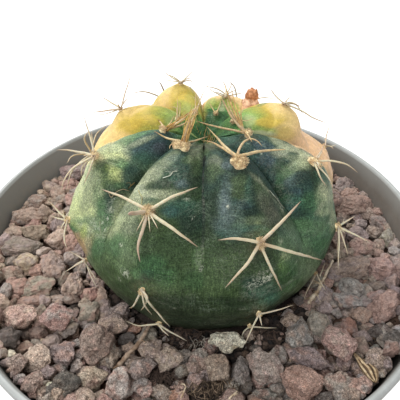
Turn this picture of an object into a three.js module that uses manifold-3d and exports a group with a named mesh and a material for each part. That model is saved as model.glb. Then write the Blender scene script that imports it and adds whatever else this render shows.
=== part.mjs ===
// Chin cactus (Gymnocalycium) in a round tapered plastic pot with lava gravel.
// Millimetres, +Z up. Origin: centre of the pot's foot, on the surface it stands on.
// -Y is the front of the plant, +X its right side.
import * as THREE from 'three';
import { mergeVertices } from 'three/addons/utils/BufferGeometryUtils.js';
import Module from 'manifold-3d';

const wasm = await Module();
wasm.setup();

// ---------------------------------------------------------------- driving dimensions
const POT_RIM_R = 52.5;        // outside radius at the rim
const POT_H = 80;              // height of the pot
const POT_FOOT_R = 37.6;       // radius of the foot
const POT_BAND_H = 11.6;       // height of the thicker band under the rim
const POT_SEGMENTS = 64;
const DRAIN_HOLES = 6, DRAIN_R = 3.6, DRAIN_RING_R = 22;
const GRAVEL_BELOW_RIM = 8.5;  // mean gravel level under the rim
const GRAVEL_DEPTH = 8.5;      // depth of the gravel dressing
const Z_G = POT_H - GRAVEL_BELOW_RIM;
const COLLAR_R = 24.0;         // bare potting mix around the stem's base
const GAP = 0.35;              // clearance between neighbouring solids
const STEM_X = 1.2, STEM_Y = 0; // the stem's axis in the pot

// Crest and groove meridians of the stem, [radius, height above the gravel], base to crown.
const CREST = [
  [0, -14], [8, -13], [14.8, -9], [18.9, -3.5], [22.7, 2], [26, 8], [27.9, 14], [28.2, 20], [27, 26], [24, 31.8], [19.4, 36.2], [14.2, 38.2], [9.2, 38], [4.5, 36], [0, 35],
];
const GROOVE = [
  [0, -14], [8, -13], [14.8, -9], [18.8, -3.5], [22.2, 2], [25.4, 8], [26.9, 14], [26.6, 20], [24.2, 25.7], [19.6, 30], [14.8, 33], [10.2, 34.4], [6.2, 34.8], [3, 34.9], [0, 34.8],
];
// Azimuths of the eight furrows, degrees from the front, + to the right.
const FURROWS = [-1.0, 45.0, 90.0, 141.0, 181.0, 216.0, 268.0, 313.5, 359.0];
// Eight ribs: name, crest azimuth along the meridian, swelling along the meridian (mm), areoles.
const RIBS = [
  { name: 'B', crest: [[4, 21], [8.45, 20.5], [11, 23.5]], swell: [[0, 0], [14, 0]], areoles: [11.05, 8.55, 5.85, 4.55] },
  { name: 'H', crest: [[0, 67.5]], swell: [[0, 0], [4, 1.0], [7, -0.2], [9, 0.0], [11, -1.8], [12.5, -0.8], [14, 0]], areoles: [12.15, 9.5, 7.05, 4.7] },
  { name: 'G', crest: [[0, 113]], swell: [[0, 0], [5, 0.8], [7.3, 1.6], [8.1, 0.4], [8.8, -2.2], [9.3, -2.0], [9.8, -0.2], [10.3, -0.4], [10.9, -0.7], [12.5, -1.0], [14, 0]], areoles: [12.6, 10.35, 7.6, 5.4] },
  { name: 'F', crest: [[0, 162]], swell: [[0, 0], [8, 0], [10, -3.2], [11.5, -4.6], [12.5, -3.0], [13.3, -0.8], [14, 0]], areoles: [12.4, 10.6, 7.8, 5.0] },
  { name: 'E', crest: [[0, 198]], swell: [[0, 0], [9, 0], [11, -0.8], [12.5, -0.4], [14, 0]], areoles: [12.7, 10.7, 8.1, 5.5] },
  { name: 'D', crest: [[0, 246]], swell: [[0, 0], [8, -1.2], [9.4, -2.0], [10.4, -1.0], [11.2, -0.6], [12, 0], [14, 0]], areoles: [12.6, 10.1, 7.4, 5.0] },
  { name: 'C', crest: [[0, 291]], swell: [[0, 0], [5.3, -0.3], [7.2, 0.3], [8.4, -0.9], [9.65, 0.2], [11, -0.5], [12.3, -0.2], [14, 0]], areoles: [12.2, 9.65, 7.3, 5.3] },
  { name: 'A', crest: [[4, 341], [5, 340.5], [6.9, 337], [9.25, 335.5], [11.9, 335]], swell: [[0, 0], [14, 0]], areoles: [11.9, 9.3, 6.95, 5.05] },
];

// Spines of each areole: [base radius, middle point, tip] in the areole's own frame
// (sideways, towards the crown, outwards), mm.
const SPINES = {
  B1: [[0.4, [0.02, 7.24, -0.75], [0.76, 15.4, -2.17]], [0.38, [-0.78, 6.51, -1], [-2.41, 10.88, -1.85]], [0.45, [5.15, 1.05, -0.71], [10.11, 0.21, -1.15]], [0.34, [4.03, 4.09, 0.38], [5.96, 1.84, -0.23]]],
  B2: [[0.45, [5.85, -2.89, -0.52], [15.7, -7.82, -8.33]], [0.38, [1.33, -4.55, -0.05], [4.67, -10.6, -4.61]], [0.45, [4.2, 2.78, 0.37], [9.79, 5.48, -1.87]], [0.44, [-3.29, -3.03, 0.39], [-7, -6.65, -1.65]]],
  B3: [[0.3, [3.09, 0.61, 0.94], [6.26, 1.7, 1.47]], [0.3, [-1.79, -1.59, 1.64], [-3.99, -3.48, 3.58]], [0.3, [-0.15, -0.43, 1.38], [-0.17, -1.14, 2.26]]],
  B4: [[0.3, [2.41, 0.11, 1.44], [5.11, 0.48, 2.47]], [0.3, [-1.5, -0.24, 0.91], [-2.24, -0.33, 1.82]]],
  H1: [[0.34, [-1.69, 4.42, 3.51], [-2.84, 7.28, 5.94]], [0.42, [1.31, 2.22, 4.3], [2.56, 3.36, 7.4]], [0.4, [1.9, 1.96, 3.69], [3.59, 2.89, 6.3]], [0.3, [-1.5, -1.27, 0.49], [-2.52, -1.98, 0.47]]],
  H2: [[0.34, [1.97, -3.98, 2.16], [1.97, -7.89, 2.44]], [0.3, [-1.51, -3.67, 0.05], [-2.61, -5.86, -0.76]], [0.3, [-2.84, -1.73, 0.42], [-2.99, -4.26, -0.64]], [0.3, [2.41, -0.03, 1.08], [4.55, 0.13, 1.64]]],
  H3: [[0.34, [-3.02, -2.28, 0.94], [-7.42, -4.88, 1.54]], [0.36, [0.11, -1.16, 2.65], [-0.1, -3.12, 6.5]], [0.3, [-1.74, -1.8, 1.68], [-4.15, -3.66, 2.91]], [0.3, [-2.15, -2.07, 0.67], [-4, -3.61, 0.71]]],
  H4: [[0.3, [-3.57, -2.79, 0.47], [-5.82, -4.37, 0.94]], [0.3, [0.49, 0.95, 1.22], [1.59, 2.89, 0.76]], [0.3, [-1.42, -0.23, 2], [-2.87, -0.32, 3.77]]],
  G1: [[0.3, [-1.98, -2.12, -0.29], [-2.29, -3.61, -0.82]], [0.3, [-0.19, -1.92, 0.52], [1.37, -3.45, -0.34]]],
  G2: [[0.34, [-3.16, -4.11, -0.77], [-5.99, -7.87, -1.71]], [0.3, [-1.18, -2.05, 0.5], [-2.81, -3.34, -0.94]], [0.3, [1.88, 1.31, 1.3], [3.38, 2.2, 2.45]], [0.3, [-0.65, -0.93, 0.95], [-2.32, -2.54, 0.66]]],
  G3: [[0.3, [1.34, 1.04, 2.22], [2.4, 1.87, 4.08]], [0.3, [-0.59, -0.72, 1.24], [-0.93, -1.17, 2.43]]],
  G4: [[0.37, [0.49, 3.96, 2.4], [0.9, 7.37, 1.6]], [0.38, [-3.11, 2.33, 2.4], [-5.79, 4.34, 1.6]], [0.31, [1.81, -2.65, 2.4], [3.36, -4.94, 1.6]], [0.38, [3.04, 1.01, 2.4], [5.66, 1.88, 1.6]]],
  F1: [[0.3, [-0.39, -1.9, 1.19], [-0.11, -3.01, 2.02]], [0.3, [1.18, -0.9, 0.95], [1.92, -1.67, 1.69]]],
  F2: [[0.3, [-2.49, -1.97, -0.08], [-3.71, -3.79, -0.62]], [0.3, [2.6, -0.03, 0.84], [4.17, -0.43, 1.67]], [0.3, [-0.47, -2.07, 1.22], [-0.79, -3.46, 2.04]], [0.3, [0.34, -1.58, 1.46], [1.57, -2.53, 2.66]]],
  F3: [[0.38, [4.92, 2.43, 2.4], [9.16, 4.52, 1.6]], [0.31, [-5.08, 2.06, 2.4], [-9.45, 3.83, 1.6]], [0.3, [2.18, -4.3, 2.4], [4.05, -8, 1.6]], [0.34, [-3.35, -3.22, 2.4], [-6.24, -5.99, 1.6]]],
  F4: [[0.3, [-3.14, 1.99, 2.4], [-5.84, 3.71, 1.6]], [0.34, [0, 3.64, 2.4], [0, 6.77, 1.6]], [0.3, [2.85, 1.32, 2.4], [5.29, 2.46, 1.6]], [0.38, [1.49, -2.39, 2.4], [2.77, -4.45, 1.6]]],
  E1: [[0.3, [-1.93, -2.86, -0.02], [-3.94, -5.22, -0.11]], [0.3, [-0.62, -2.82, 0.62], [-1.24, -4.25, 0.08]]],
  E2: [[0.3, [1.99, -2.16, 0.08], [3.39, -3.82, -0.07]], [0.3, [1.5, -1.42, 1.03], [3.08, -2.94, 2.13]], [0.3, [-2.11, -0.78, 0.14], [-3.62, -1.57, -1.44]], [0.3, [-1.66, -0.53, 1.19], [-3.33, -0.97, 2.28]]],
  E3: [[0.32, [3.04, -4.31, 2.4], [5.65, -8.02, 1.6]], [0.36, [4.73, 2.23, 2.4], [8.8, 4.15, 1.6]], [0.39, [1.32, 4.01, 2.4], [2.46, 7.45, 1.6]], [0.34, [-3.69, 1.29, 2.4], [-6.87, 2.39, 1.6]]],
  E4: [[0.35, [3.8, 1.54, 2.4], [7.06, 2.87, 1.6]], [0.36, [-3.37, 1.4, 2.4], [-6.27, 2.6, 1.6]], [0.31, [1.52, -3.03, 2.4], [2.83, -5.64, 1.6]], [0.38, [0.74, 2.92, 2.4], [1.38, 5.43, 1.6]]],
  D1: [[0.3, [-1.75, -1.39, 0.64], [-3.45, -2.86, 1.21]], [0.3, [-1.72, -0.75, 0.77], [-3.17, -1.95, 1.17]], [0.3, [-1.29, -1.45, 0.71], [-1.38, -2.58, -0.2]]],
  D2: [[0.3, [-2.5, 0.78, 2.14], [-6.1, 2.04, 4.85]], [0.3, [0.91, -3.23, 0.62], [1.39, -5.93, 1.24]], [0.36, [1.3, -2.44, 1.28], [2.92, -5.25, 2.55]], [0.36, [-0.12, -1.53, 2.35], [-0, -2.95, 4.15]]],
  D3: [[0.39, [3.7, -3.93, 2.4], [6.89, -7.32, 1.6]], [0.32, [4.68, 1.54, 2.4], [8.71, 2.86, 1.6]], [0.3, [-4.72, 1.35, 2.4], [-8.78, 2.52, 1.6]], [0.3, [-2.2, -3.35, 2.4], [-4.09, -6.22, 1.6]]],
  D4: [[0.34, [1.61, -3.62, 2.4], [2.99, -6.74, 1.6]], [0.35, [3.02, 2.06, 2.4], [5.62, 3.82, 1.6]], [0.3, [-0.02, 3.54, 2.4], [-0.03, 6.58, 1.6]], [0.31, [-2.96, 1.57, 2.4], [-5.51, 2.92, 1.6]]],
  C1: [[0.36, [-0.59, 2.72, 3.31], [-1.46, 4.89, 6.42]], [0.32, [-0.27, 2.79, 1.74], [-1.16, 4.62, 3.28]], [0.3, [-2.04, 1.47, 1.12], [-2.69, 1.81, 2.44]], [0.3, [-2.87, -0.38, 0.22], [-2.4, -1.28, 0.64]]],
  C2: [[0.34, [1.16, -4.71, 1.89], [4.39, -8.28, 1.47]], [0.3, [-2.34, 1.44, 2.08], [-5.57, 3.11, 5.02]], [0.34, [-1.95, -2.14, 2.34], [-3.43, -4.95, 4.42]], [0.3, [1.91, -1.42, 0.21], [2.17, -4.88, -1.63]]],
  C3: [[0.34, [2.22, -2.03, 0.99], [4.84, -3.32, 0.73]], [0.32, [-1.85, 0.79, 1.86], [-3.87, 1.81, 3.71]], [0.3, [-0.78, -0.29, 1.46], [-1.88, -0.45, 3.28]]],
  C4: [[0.3, [3.01, -1.76, 0.7], [5.86, -3.07, 0.52]], [0.3, [0.15, 0.09, 2.14], [0.59, 0.14, 5.58]], [0.3, [2.89, -1.15, 0.21], [5.41, -1.73, -0.24]], [0.3, [-1.1, 1.68, 1.66], [-1.88, 2.96, 2.72]]],
  A1: [[0.36, [-0.53, 2.04, 3.17], [-0.21, 4.75, 6.96]], [0.34, [-0.14, 2.49, 2.79], [-0.55, 5.55, 6.42]], [0.3, [0.83, 1.8, 0.52], [1.15, 3.55, 0.55]], [0.34, [-3.88, 0.77, 0.25], [-5.91, -0.52, 1.24]]],
  A2: [[0.42, [-5.19, 1.28, -0.12], [-10.76, 1.82, -1.35]], [0.45, [5.39, -1.65, 0.08], [9.55, -3.14, -2.59]], [0.42, [3.67, 3.74, 0.46], [6.58, 6.73, -1.75]], [0.45, [-0.02, -4.95, -0.01], [0.72, -8.5, -1.57]]],
  A3: [[0.3, [0.95, -1.81, 0.43], [-1.99, -6.95, -1.9]], [0.32, [1.6, -4.34, -0.64], [5.92, -5.35, 1.58]], [0.3, [0.35, -2.9, 0.45], [0.53, -7.07, -1.68]], [0.3, [-2.22, -4.21, 0.14], [-1.52, -2.34, 2.77]]],
  A4: [[0.3, [-2.92, 0.47, 1.65], [-6.01, 1.85, 2.04]], [0.3, [1.96, -1.04, 0.8], [5.79, -2.54, 1.38]], [0.3, [0.88, -0.67, 1.05], [2.34, -1.34, 1.72]]],
};

// ---------------------------------------------------------------- helpers
const clamp = (x, a, b) => Math.min(b, Math.max(a, x));
const smooth = (x) => { x = clamp(x, 0, 1); return x * x * (3 - 2 * x); };
const rad = (d) => d * Math.PI / 180;

function lerpTable(tab, x) {
  if (x <= tab[0][0]) return tab[0][1];
  for (let i = 1; i < tab.length; i++) {
    if (x <= tab[i][0]) {
      const f = (x - tab[i - 1][0]) / (tab[i][0] - tab[i - 1][0]);
      return tab[i - 1][1] + f * (tab[i][1] - tab[i - 1][1]);
    }
  }
  return tab[tab.length - 1][1];
}

// Catmull-Rom point on a meridian, t in control-point units.
function meridian(P, t) {
  t = clamp(t, 0, P.length - 1 - 1e-9);
  const i = Math.floor(t), f = t - i, n = P.length;
  const at = (j) => j < 0 ? [2 * P[0][0] - P[1][0], 2 * P[0][1] - P[1][1]]
    : j >= n ? [2 * P[n - 1][0] - P[n - 2][0], 2 * P[n - 1][1] - P[n - 2][1]] : P[j];
  const p0 = at(i - 1), p1 = at(i), p2 = at(i + 1), p3 = at(i + 2);
  return [0, 1].map((k) => 0.5 * (2 * p1[k] + (-p0[k] + p2[k]) * f
    + (2 * p0[k] - 5 * p1[k] + 4 * p2[k] - p3[k]) * f * f
    + (-p0[k] + 3 * p1[k] - 3 * p2[k] + p3[k]) * f * f * f));
}

// Chin relief: a swelling under each areole, ending in a shallow crease above the next one,
// and a low nose that carries the areole.
function chin(k, t, v) {
  const ar = RIBS[k].areoles;
  const amp = lerpTable([[2, .2], [5, .4], [7, .65], [8.5, .95], [10.5, 1.0], [12, .8], [14, .4]], v);
  let out = 0;
  for (let j = 0; j < ar.length; j++) {
    const hi = ar[j] + 0.42, lo = j + 1 < ar.length ? ar[j + 1] + 0.42 : 2.2;
    if (v >= lo && v <= hi) out = amp * Math.pow(Math.max(0, Math.sin(Math.PI * Math.pow((hi - v) / (hi - lo), 0.6))), 0.8);
  }
  out *= Math.pow(Math.max(0, 1 - t * t), 1.1);
  for (const a of ar) out += 0.75 * Math.exp(-Math.pow((v - a + .06) / .36, 2) - Math.pow(t / .27, 2));
  return out;
}

// Point on the stem's skin: rib k, t from -1 (furrow) over 0 (crest) to 1 (furrow),
// v along the meridian; lift moves it outwards.
function skin(k, t, v, lift = 0) {
  const c = meridian(CREST, v), g = meridian(GROOVE, v);
  const a = meridian(CREST, Math.min(v + .05, 14)), b = meridian(CREST, Math.max(v - .05, 0));
  let nr = a[1] - b[1], nz = -(a[0] - b[0]);
  const nl = Math.hypot(nr, nz) + 1e-9; nr /= nl; nz /= nl;
  const w = Math.pow(Math.max(0, 1 - Math.pow(Math.abs(t), 2.3)), 0.75);
  const off = lerpTable(RIBS[k].swell, v);
  const f = smooth((v - 2) / 2) * smooth((14 - v) / 1.5);
  const d = off * w + chin(k, t, v) * f - 0.45 * smooth((v - 2) / 2) * (1 - t * t) + lift;
  const r = Math.max(0, g[0] + (c[0] - g[0]) * w + nr * d), z = g[1] + (c[1] - g[1]) * w + nz * d;
  const ca = lerpTable(RIBS[k].crest, v);
  const lo = k > 0 ? FURROWS[k] : -1, hi = FURROWS[k + 1];
  const az = rad(t >= 0 ? ca + t * (hi - ca) : ca + t * (ca - lo));
  return new THREE.Vector3(STEM_X + r * Math.sin(az), STEM_Y - r * Math.cos(az), Z_G + z);
}

// Frame of an areole: s sideways, u towards the crown, n outwards.
function areoleFrame(k, v) {
  const p = skin(k, 0, v);
  const u = skin(k, 0, v + .25).sub(skin(k, 0, v - .25)).normalize();
  let s = skin(k, .12, v).sub(skin(k, -.12, v)).normalize();
  const n = new THREE.Vector3().crossVectors(s, u).normalize();
  s = new THREE.Vector3().crossVectors(u, n);
  return { p, s, u, n };
}

// Repeatable noise in -1..1.
function hash(x, y, z) {
  const s = Math.sin(x * 127.1 + y * 311.7 + z * 74.7) * 43758.5453;
  return 2 * (s - Math.floor(s)) - 1;
}
function noise(x, y, z) {
  const X = Math.floor(x), Y = Math.floor(y), Z = Math.floor(z);
  const u = smooth(x - X), v = smooth(y - Y), w = smooth(z - Z);
  const L = (a, b, t) => a + (b - a) * t;
  return L(L(L(hash(X, Y, Z), hash(X + 1, Y, Z), u), L(hash(X, Y + 1, Z), hash(X + 1, Y + 1, Z), u), v),
    L(L(hash(X, Y, Z + 1), hash(X + 1, Y, Z + 1), u), L(hash(X, Y + 1, Z + 1), hash(X + 1, Y + 1, Z + 1), u), v), w);
}

// Bare, merged, outward-facing geometry.
function clean(geo) {
  geo.deleteAttribute('normal'); geo.deleteAttribute('uv');
  let g = mergeVertices(geo, 1e-4);
  const p = g.attributes.position, ix = Array.from(g.index.array);
  const tris = [];
  for (let i = 0; i < ix.length; i += 3) if (ix[i] !== ix[i + 1] && ix[i + 1] !== ix[i + 2] && ix[i] !== ix[i + 2]) tris.push(ix[i], ix[i + 1], ix[i + 2]);
  let vol = 0;
  const A = new THREE.Vector3(), B = new THREE.Vector3(), C = new THREE.Vector3();
  for (let i = 0; i < tris.length; i += 3) {
    A.fromBufferAttribute(p, tris[i]); B.fromBufferAttribute(p, tris[i + 1]); C.fromBufferAttribute(p, tris[i + 2]);
    vol += A.dot(B.cross(C));
  }
  if (vol < 0) for (let i = 0; i < tris.length; i += 3) { const t = tris[i + 1]; tris[i + 1] = tris[i + 2]; tris[i + 2] = t; }
  g.setIndex(tris);
  return g;
}
function solid(geo) {
  const g = clean(geo);
  return new wasm.Manifold(new wasm.Mesh({
    numProp: 3,
    vertProperties: new Float32Array(g.attributes.position.array),
    triVerts: new Uint32Array(g.index.array),
  }));
}
function geometry(man) {
  const m = man.getMesh(), g = new THREE.BufferGeometry();
  const n = m.vertProperties.length / m.numProp, pos = new Float32Array(n * 3);
  for (let i = 0; i < n; i++) for (let k = 0; k < 3; k++) pos[i * 3 + k] = m.vertProperties[i * m.numProp + k];
  g.setAttribute('position', new THREE.BufferAttribute(pos, 3));
  g.setIndex(Array.from(m.triVerts));
  return g;
}
const object = new THREE.Group();
function add(name, geo, color, roughness, metalness = 0) {
  geo.computeVertexNormals();
  const mesh = new THREE.Mesh(geo, new THREE.MeshStandardMaterial({ color, roughness, metalness }));
  mesh.name = name;
  object.add(mesh);
  return mesh;
}
// Body of revolution from [radius, height] points, +Z up.
function turned(points, segments = POT_SEGMENTS) {
  return new THREE.LatheGeometry(points.map(([x, y]) => new THREE.Vector2(x, y)), segments).rotateX(Math.PI / 2);
}

// ---------------------------------------------------------------- pot
const WALL_TOP_Z = POT_H - POT_BAND_H;
const innerR = (z) => z > WALL_TOP_Z ? 48.2 + (z - WALL_TOP_Z) * (50.3 - 48.2) / (POT_H - WALL_TOP_Z)
  : 36.9 + (z - 4.2) * (48.2 - 36.9) / (WALL_TOP_Z - 4.2);
let pot = solid(turned([
  [0, 1.8], [31.5, 1.8], [32.6, 0], [POT_FOOT_R - .7, 0], [POT_FOOT_R, .7],
  [49.7, WALL_TOP_Z], [50.6, WALL_TOP_Z + .9], [POT_RIM_R, POT_H - .7], [POT_RIM_R - .35, POT_H - .15], [POT_RIM_R - .9, POT_H],
  [50.9, POT_H], [50.3, POT_H - .5], [48.2, WALL_TOP_Z], [36.9, 4.2], [0, 4.2],
]));
for (let i = 0; i < DRAIN_HOLES; i++) {
  const a = rad(30 + i * 360 / DRAIN_HOLES);
  const drill = new THREE.CylinderGeometry(DRAIN_R, DRAIN_R, 6, 12).rotateX(Math.PI / 2)
    .translate(DRAIN_RING_R * Math.cos(a), DRAIN_RING_R * Math.sin(a), 3);
  pot = pot.subtract(solid(drill));
}
add('pot', geometry(pot), 0x8f8d88, 0.55);

// ---------------------------------------------------------------- stem
const V_ROWS = [14, 13.6, 13.1, 12.6, 12.15, 11.7, 11.2, 10.7, 10.2, 9.7, 9.25, 8.8, 8.3, 7.8, 7.3, 6.85, 6.3, 5.7, 5.1, 4.4, 3.6, 2.7, 1.8, .9, 0];
const T_COLS = [-1, -.84, -.62, -.3, 0, .3, .62, .84];
function stemGeometry(lift) {
  const W = 8 * T_COLS.length, H = V_ROWS.length - 1;
  const g = new THREE.SphereGeometry(1, W, H), p = g.attributes.position;
  for (let iy = 0; iy <= H; iy++) {
    for (let ix = 0; ix <= W; ix++) {
      const c = ix % W, k = Math.floor(c / T_COLS.length), t = T_COLS[c % T_COLS.length];
      let q;
      if (iy === 0) q = new THREE.Vector3(STEM_X, STEM_Y, Z_G + CREST[14][1] - .2 + lift);
      else if (iy === H) q = new THREE.Vector3(STEM_X, STEM_Y, Z_G + CREST[0][1] - lift);
      else q = skin(k, t, V_ROWS[iy], lift);
      p.setXYZ(iy * (W + 1) + ix, q.x, q.y, q.z);
    }
  }
  return g;
}
add('cactus_stem', clean(stemGeometry(0)), 0x3f5f48, 0.45);
const stemRoom = solid(stemGeometry(GAP));

// ---------------------------------------------------------------- potting mix and gravel
const Z_MIX = Z_G - GRAVEL_DEPTH - GAP;
const mix = solid(turned([
  [0, 4.6], [36.4, 4.6], [innerR(Z_MIX) - .5, Z_MIX], [COLLAR_R + STEM_X, Z_MIX], [COLLAR_R + STEM_X, Z_G - 1.4], [20, Z_G - .8], [0, Z_G - .8],
], 48)).subtract(stemRoom);
add('potting_mix', geometry(mix), 0x3a2e27, 0.95);

function gravelGeometry() {
  const r0 = COLLAR_R + STEM_X + GAP, seg = 56, rings = 7;
  const pts = [[r0, Z_G - GRAVEL_DEPTH], [innerR(Z_G - GRAVEL_DEPTH) - .5, Z_G - GRAVEL_DEPTH]];
  for (let i = 0; i <= rings; i++) pts.push([innerR(Z_G) - .9 - (innerR(Z_G) - .9 - r0) * i / rings, Z_G]);
  pts.push([r0, Z_G - GRAVEL_DEPTH]);
  const g = turned(pts, seg), p = g.attributes.position;
  for (let i = 0; i < p.count; i++) {
    const x = p.getX(i), y = p.getY(i), z = p.getZ(i);
    if (z > Z_G - 1) p.setZ(i, Z_G + .3 + 1.1 * noise(x / 4.3, y / 4.3, 2.5));
  }
  return g;
}
add('gravel_bed', clean(gravelGeometry()), 0x7d675c, 0.95);

// A few larger pebbles that lie loose on the bed: [x, y, length, width, height, turn, colour].
const PEBBLES = [
  [5.6, -26.8, 7.7, 3.9, 3.3, 0, 0xb9b2a4],
  [12.7, -33.0, 6.9, 7.3, 5.6, 12, 0x836a5c],
  [3.4, -32.8, 5.2, 5.2, 4.3, -10, 0x836a5c],
  [19.2, -36.9, 8.0, 6.9, 5.6, 10, 0x93604f],
  [27.5, -27.5, 6.7, 7.2, 5.6, -15, 0x93604f],
  [-20.4, -28.1, 6.6, 8.2, 6.2, -14, 0x836a5c],
  [-29.4, -20.9, 6.9, 6.3, 4.6, 8, 0x93604f],
  [-32.0, -30.6, 7.4, 6.6, 5.0, 5, 0x836a5c],
  [-10.8, -32.7, 5.2, 4.4, 3.6, 0, 0x7d7570],
  [-37.8, -20.6, 9.0, 6.4, 4.6, 0, 0x93604f],
  [21.2, -30.7, 9.0, 4.7, 3.8, -24, 0x7d7570],
];
PEBBLES.forEach(([x, y, a, b, c, turn, colour], i) => {
  const g = new THREE.IcosahedronGeometry(1, 1), p = g.attributes.position;
  for (let j = 0; j < p.count; j++) {
    const q = new THREE.Vector3().fromBufferAttribute(p, j);
    q.multiplyScalar(1 + .16 * noise(q.x * 1.7 + i * 5.1, q.y * 1.7, q.z * 1.7 + i));
    p.setXYZ(j, q.x * a / 2, q.y * b / 2, q.z * c / 2);
  }
  g.rotateZ(rad(turn));
  g.translate(x, y, Z_G + 2.0 + c / 2 * 1.05);
  add(i === 0 ? 'pale_pebble' : 'lava_pebble_' + i, clean(g), colour, 0.95);
});

// ---------------------------------------------------------------- areoles with their spines
// A tapered curved cone through start, middle and tip.
function spine(a, b, c, r) {
  const curve = new THREE.QuadraticBezierCurve3(a, b.clone().multiplyScalar(2).sub(a.clone().add(c).multiplyScalar(.5)), c);
  const g = new THREE.ConeGeometry(1, 1, 3, 3), p = g.attributes.position; // axis +Y, from -.5 to .5
  for (let i = 0; i < p.count; i++) {
    const f = clamp(p.getY(i) + .5, 0, 1), o = curve.getPoint(f), d = curve.getTangent(f);
    const e1 = new THREE.Vector3(.31, .52, .79).cross(d).normalize(), e2 = new THREE.Vector3().crossVectors(d, e1);
    const l = Math.hypot(p.getX(i), p.getZ(i)), k = l < 1e-6 ? 0 : r * (1 - .82 * f) / l;
    o.addScaledVector(e1, p.getX(i) * k).addScaledVector(e2, p.getZ(i) * k);
    p.setXYZ(i, o.x, o.y, o.z);
  }
  return g;
}
RIBS.forEach((rib, k) => rib.areoles.forEach((v, j) => {
  const key = rib.name + (j + 1), { p, s, u, n } = areoleFrame(k, v);
  const at = (q) => p.clone().addScaledVector(s, q[0]).addScaledVector(u, q[1]).addScaledVector(n, q[2]);
  const pad = new THREE.SphereGeometry(1, 7, 4);
  const size = v > 6 ? 1 : .8;
  pad.applyMatrix4(new THREE.Matrix4().makeBasis(s.clone().multiplyScalar(1.6 * size), u.clone().multiplyScalar(1.35 * size), n.clone().multiplyScalar(.95)));
  pad.translate(...at([0, 0, .62]).toArray());
  let tuft = solid(pad).subtract(stemRoom);
  for (const [r, mid, tip] of SPINES[key]) {
    tuft = tuft.add(solid(spine(at([0, 0, .85]), at(mid), at(tip), r)));
  }
  add('areole_spines_' + key.toLowerCase(), geometry(tuft), 0xc9a878, 0.7);
}));

// ---------------------------------------------------------------- withered flower behind the crown
{
  const base = skin(3, -0.850, 9.700);
  const axis = new THREE.Vector3(.12, .25, 1).normalize();
  const prof = [[0, -.6], [1.3, -.5], [1.75, .6], [1.7, 1.8], [1.15, 2.5], [1.35, 3.1], [1.15, 4.0], [.55, 4.7], [0, 4.95]];
  const g = new THREE.LatheGeometry(prof.map(([x, y]) => new THREE.Vector2(x, y)), 9);
  g.applyQuaternion(new THREE.Quaternion().setFromUnitVectors(new THREE.Vector3(0, 1, 0), axis));
  g.translate(...base.toArray());
  add('withered_flower', geometry(solid(g).subtract(stemRoom)), 0xb06a45, 0.85);
}

// ---------------------------------------------------------------- plant debris on the gravel
function rod(points, r, sides = 6, steps = 8) {
  const curve = new THREE.CatmullRomCurve3(points.map((q) => new THREE.Vector3(...q)));
  const sh = new THREE.Shape();
  for (let i = 0; i < sides; i++) {
    const a = i / sides * 2 * Math.PI;
    if (i) sh.lineTo(r * Math.cos(a), r * Math.sin(a)); else sh.moveTo(r, 0);
  }
  return new THREE.ExtrudeGeometry(sh, { steps, extrudePath: curve, bevelEnabled: false });
}
add('dry_twig', clean(rod([[-10.13, -23.24, 75.5], [-11.68, -26.1, 75.1], [-13.89, -28.95, 74.5], [-15.67, -31.17, 74.1]], .75)), 0x8a6a50, 0.9);
add('dry_stalk', clean(rod([[30.14, -6.81, 77.5], [28.09, -9.58, 75.9], [25.93, -12.92, 74.7], [23.78, -16.07, 74.1]], .6)), 0xb9a78f, 0.9);
add('dry_husk', clean(rod([[31.15, -29.15, 75.1], [31.55, -31.2, 75.8], [32.39, -32.93, 75.4], [32.72, -34.49, 74.8]], .9)), 0xb08f5a, 0.9);

export default object;
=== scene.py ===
import math

import bmesh
import bpy
import numpy as np
from mathutils import Matrix, Vector


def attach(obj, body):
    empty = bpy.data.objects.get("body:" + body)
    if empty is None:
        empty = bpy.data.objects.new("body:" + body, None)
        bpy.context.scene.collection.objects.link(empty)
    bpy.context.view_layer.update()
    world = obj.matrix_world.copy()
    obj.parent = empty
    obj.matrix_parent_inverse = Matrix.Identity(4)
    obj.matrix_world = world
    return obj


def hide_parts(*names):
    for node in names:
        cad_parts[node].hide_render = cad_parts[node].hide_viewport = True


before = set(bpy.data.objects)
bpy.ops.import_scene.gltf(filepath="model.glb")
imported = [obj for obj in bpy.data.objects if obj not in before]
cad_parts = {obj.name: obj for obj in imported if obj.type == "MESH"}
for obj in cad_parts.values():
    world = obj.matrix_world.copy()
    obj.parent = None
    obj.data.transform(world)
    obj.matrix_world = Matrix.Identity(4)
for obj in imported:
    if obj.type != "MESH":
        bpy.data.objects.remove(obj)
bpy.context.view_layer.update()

MM = 0.001
rng = np.random.default_rng(20417)

# ------------------------------------------------------------------ numbers of the plant, in millimetres
Z_G = 71.5                      # level of the gravel
POT_H, RIM_R = 80.0, 52.5
CX, CY = 1.2, 0.0               # axis of the stem

# profiles of a rib's crest and of a furrow: (radius, height above the gravel), from under the stem to the crown
CREST = [(0, -14), (8, -13), (14.8, -9), (18.9, -3.5), (22.7, 2), (26.0, 8), (27.9, 14), (28.2, 20), (27.0, 26), (24.0, 31.8), (19.4, 36.2), (14.2, 38.2), (9.2, 38.0), (4.5, 36.0), (0, 35.0)]
GROOVE = [(0, -14), (8, -13), (14.8, -9), (18.8, -3.5), (22.2, 2), (25.4, 8), (26.9, 14), (26.6, 20), (24.2, 25.7), (19.6, 30.0), (14.8, 33.0), (10.2, 34.4), (6.2, 34.8), (3.0, 34.9), (0, 34.8)]
FURROWS = [-1.0, 45.0, 90.0, 141.0, 181.0, 216.0, 268.0, 313.5, 359.0]
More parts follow.
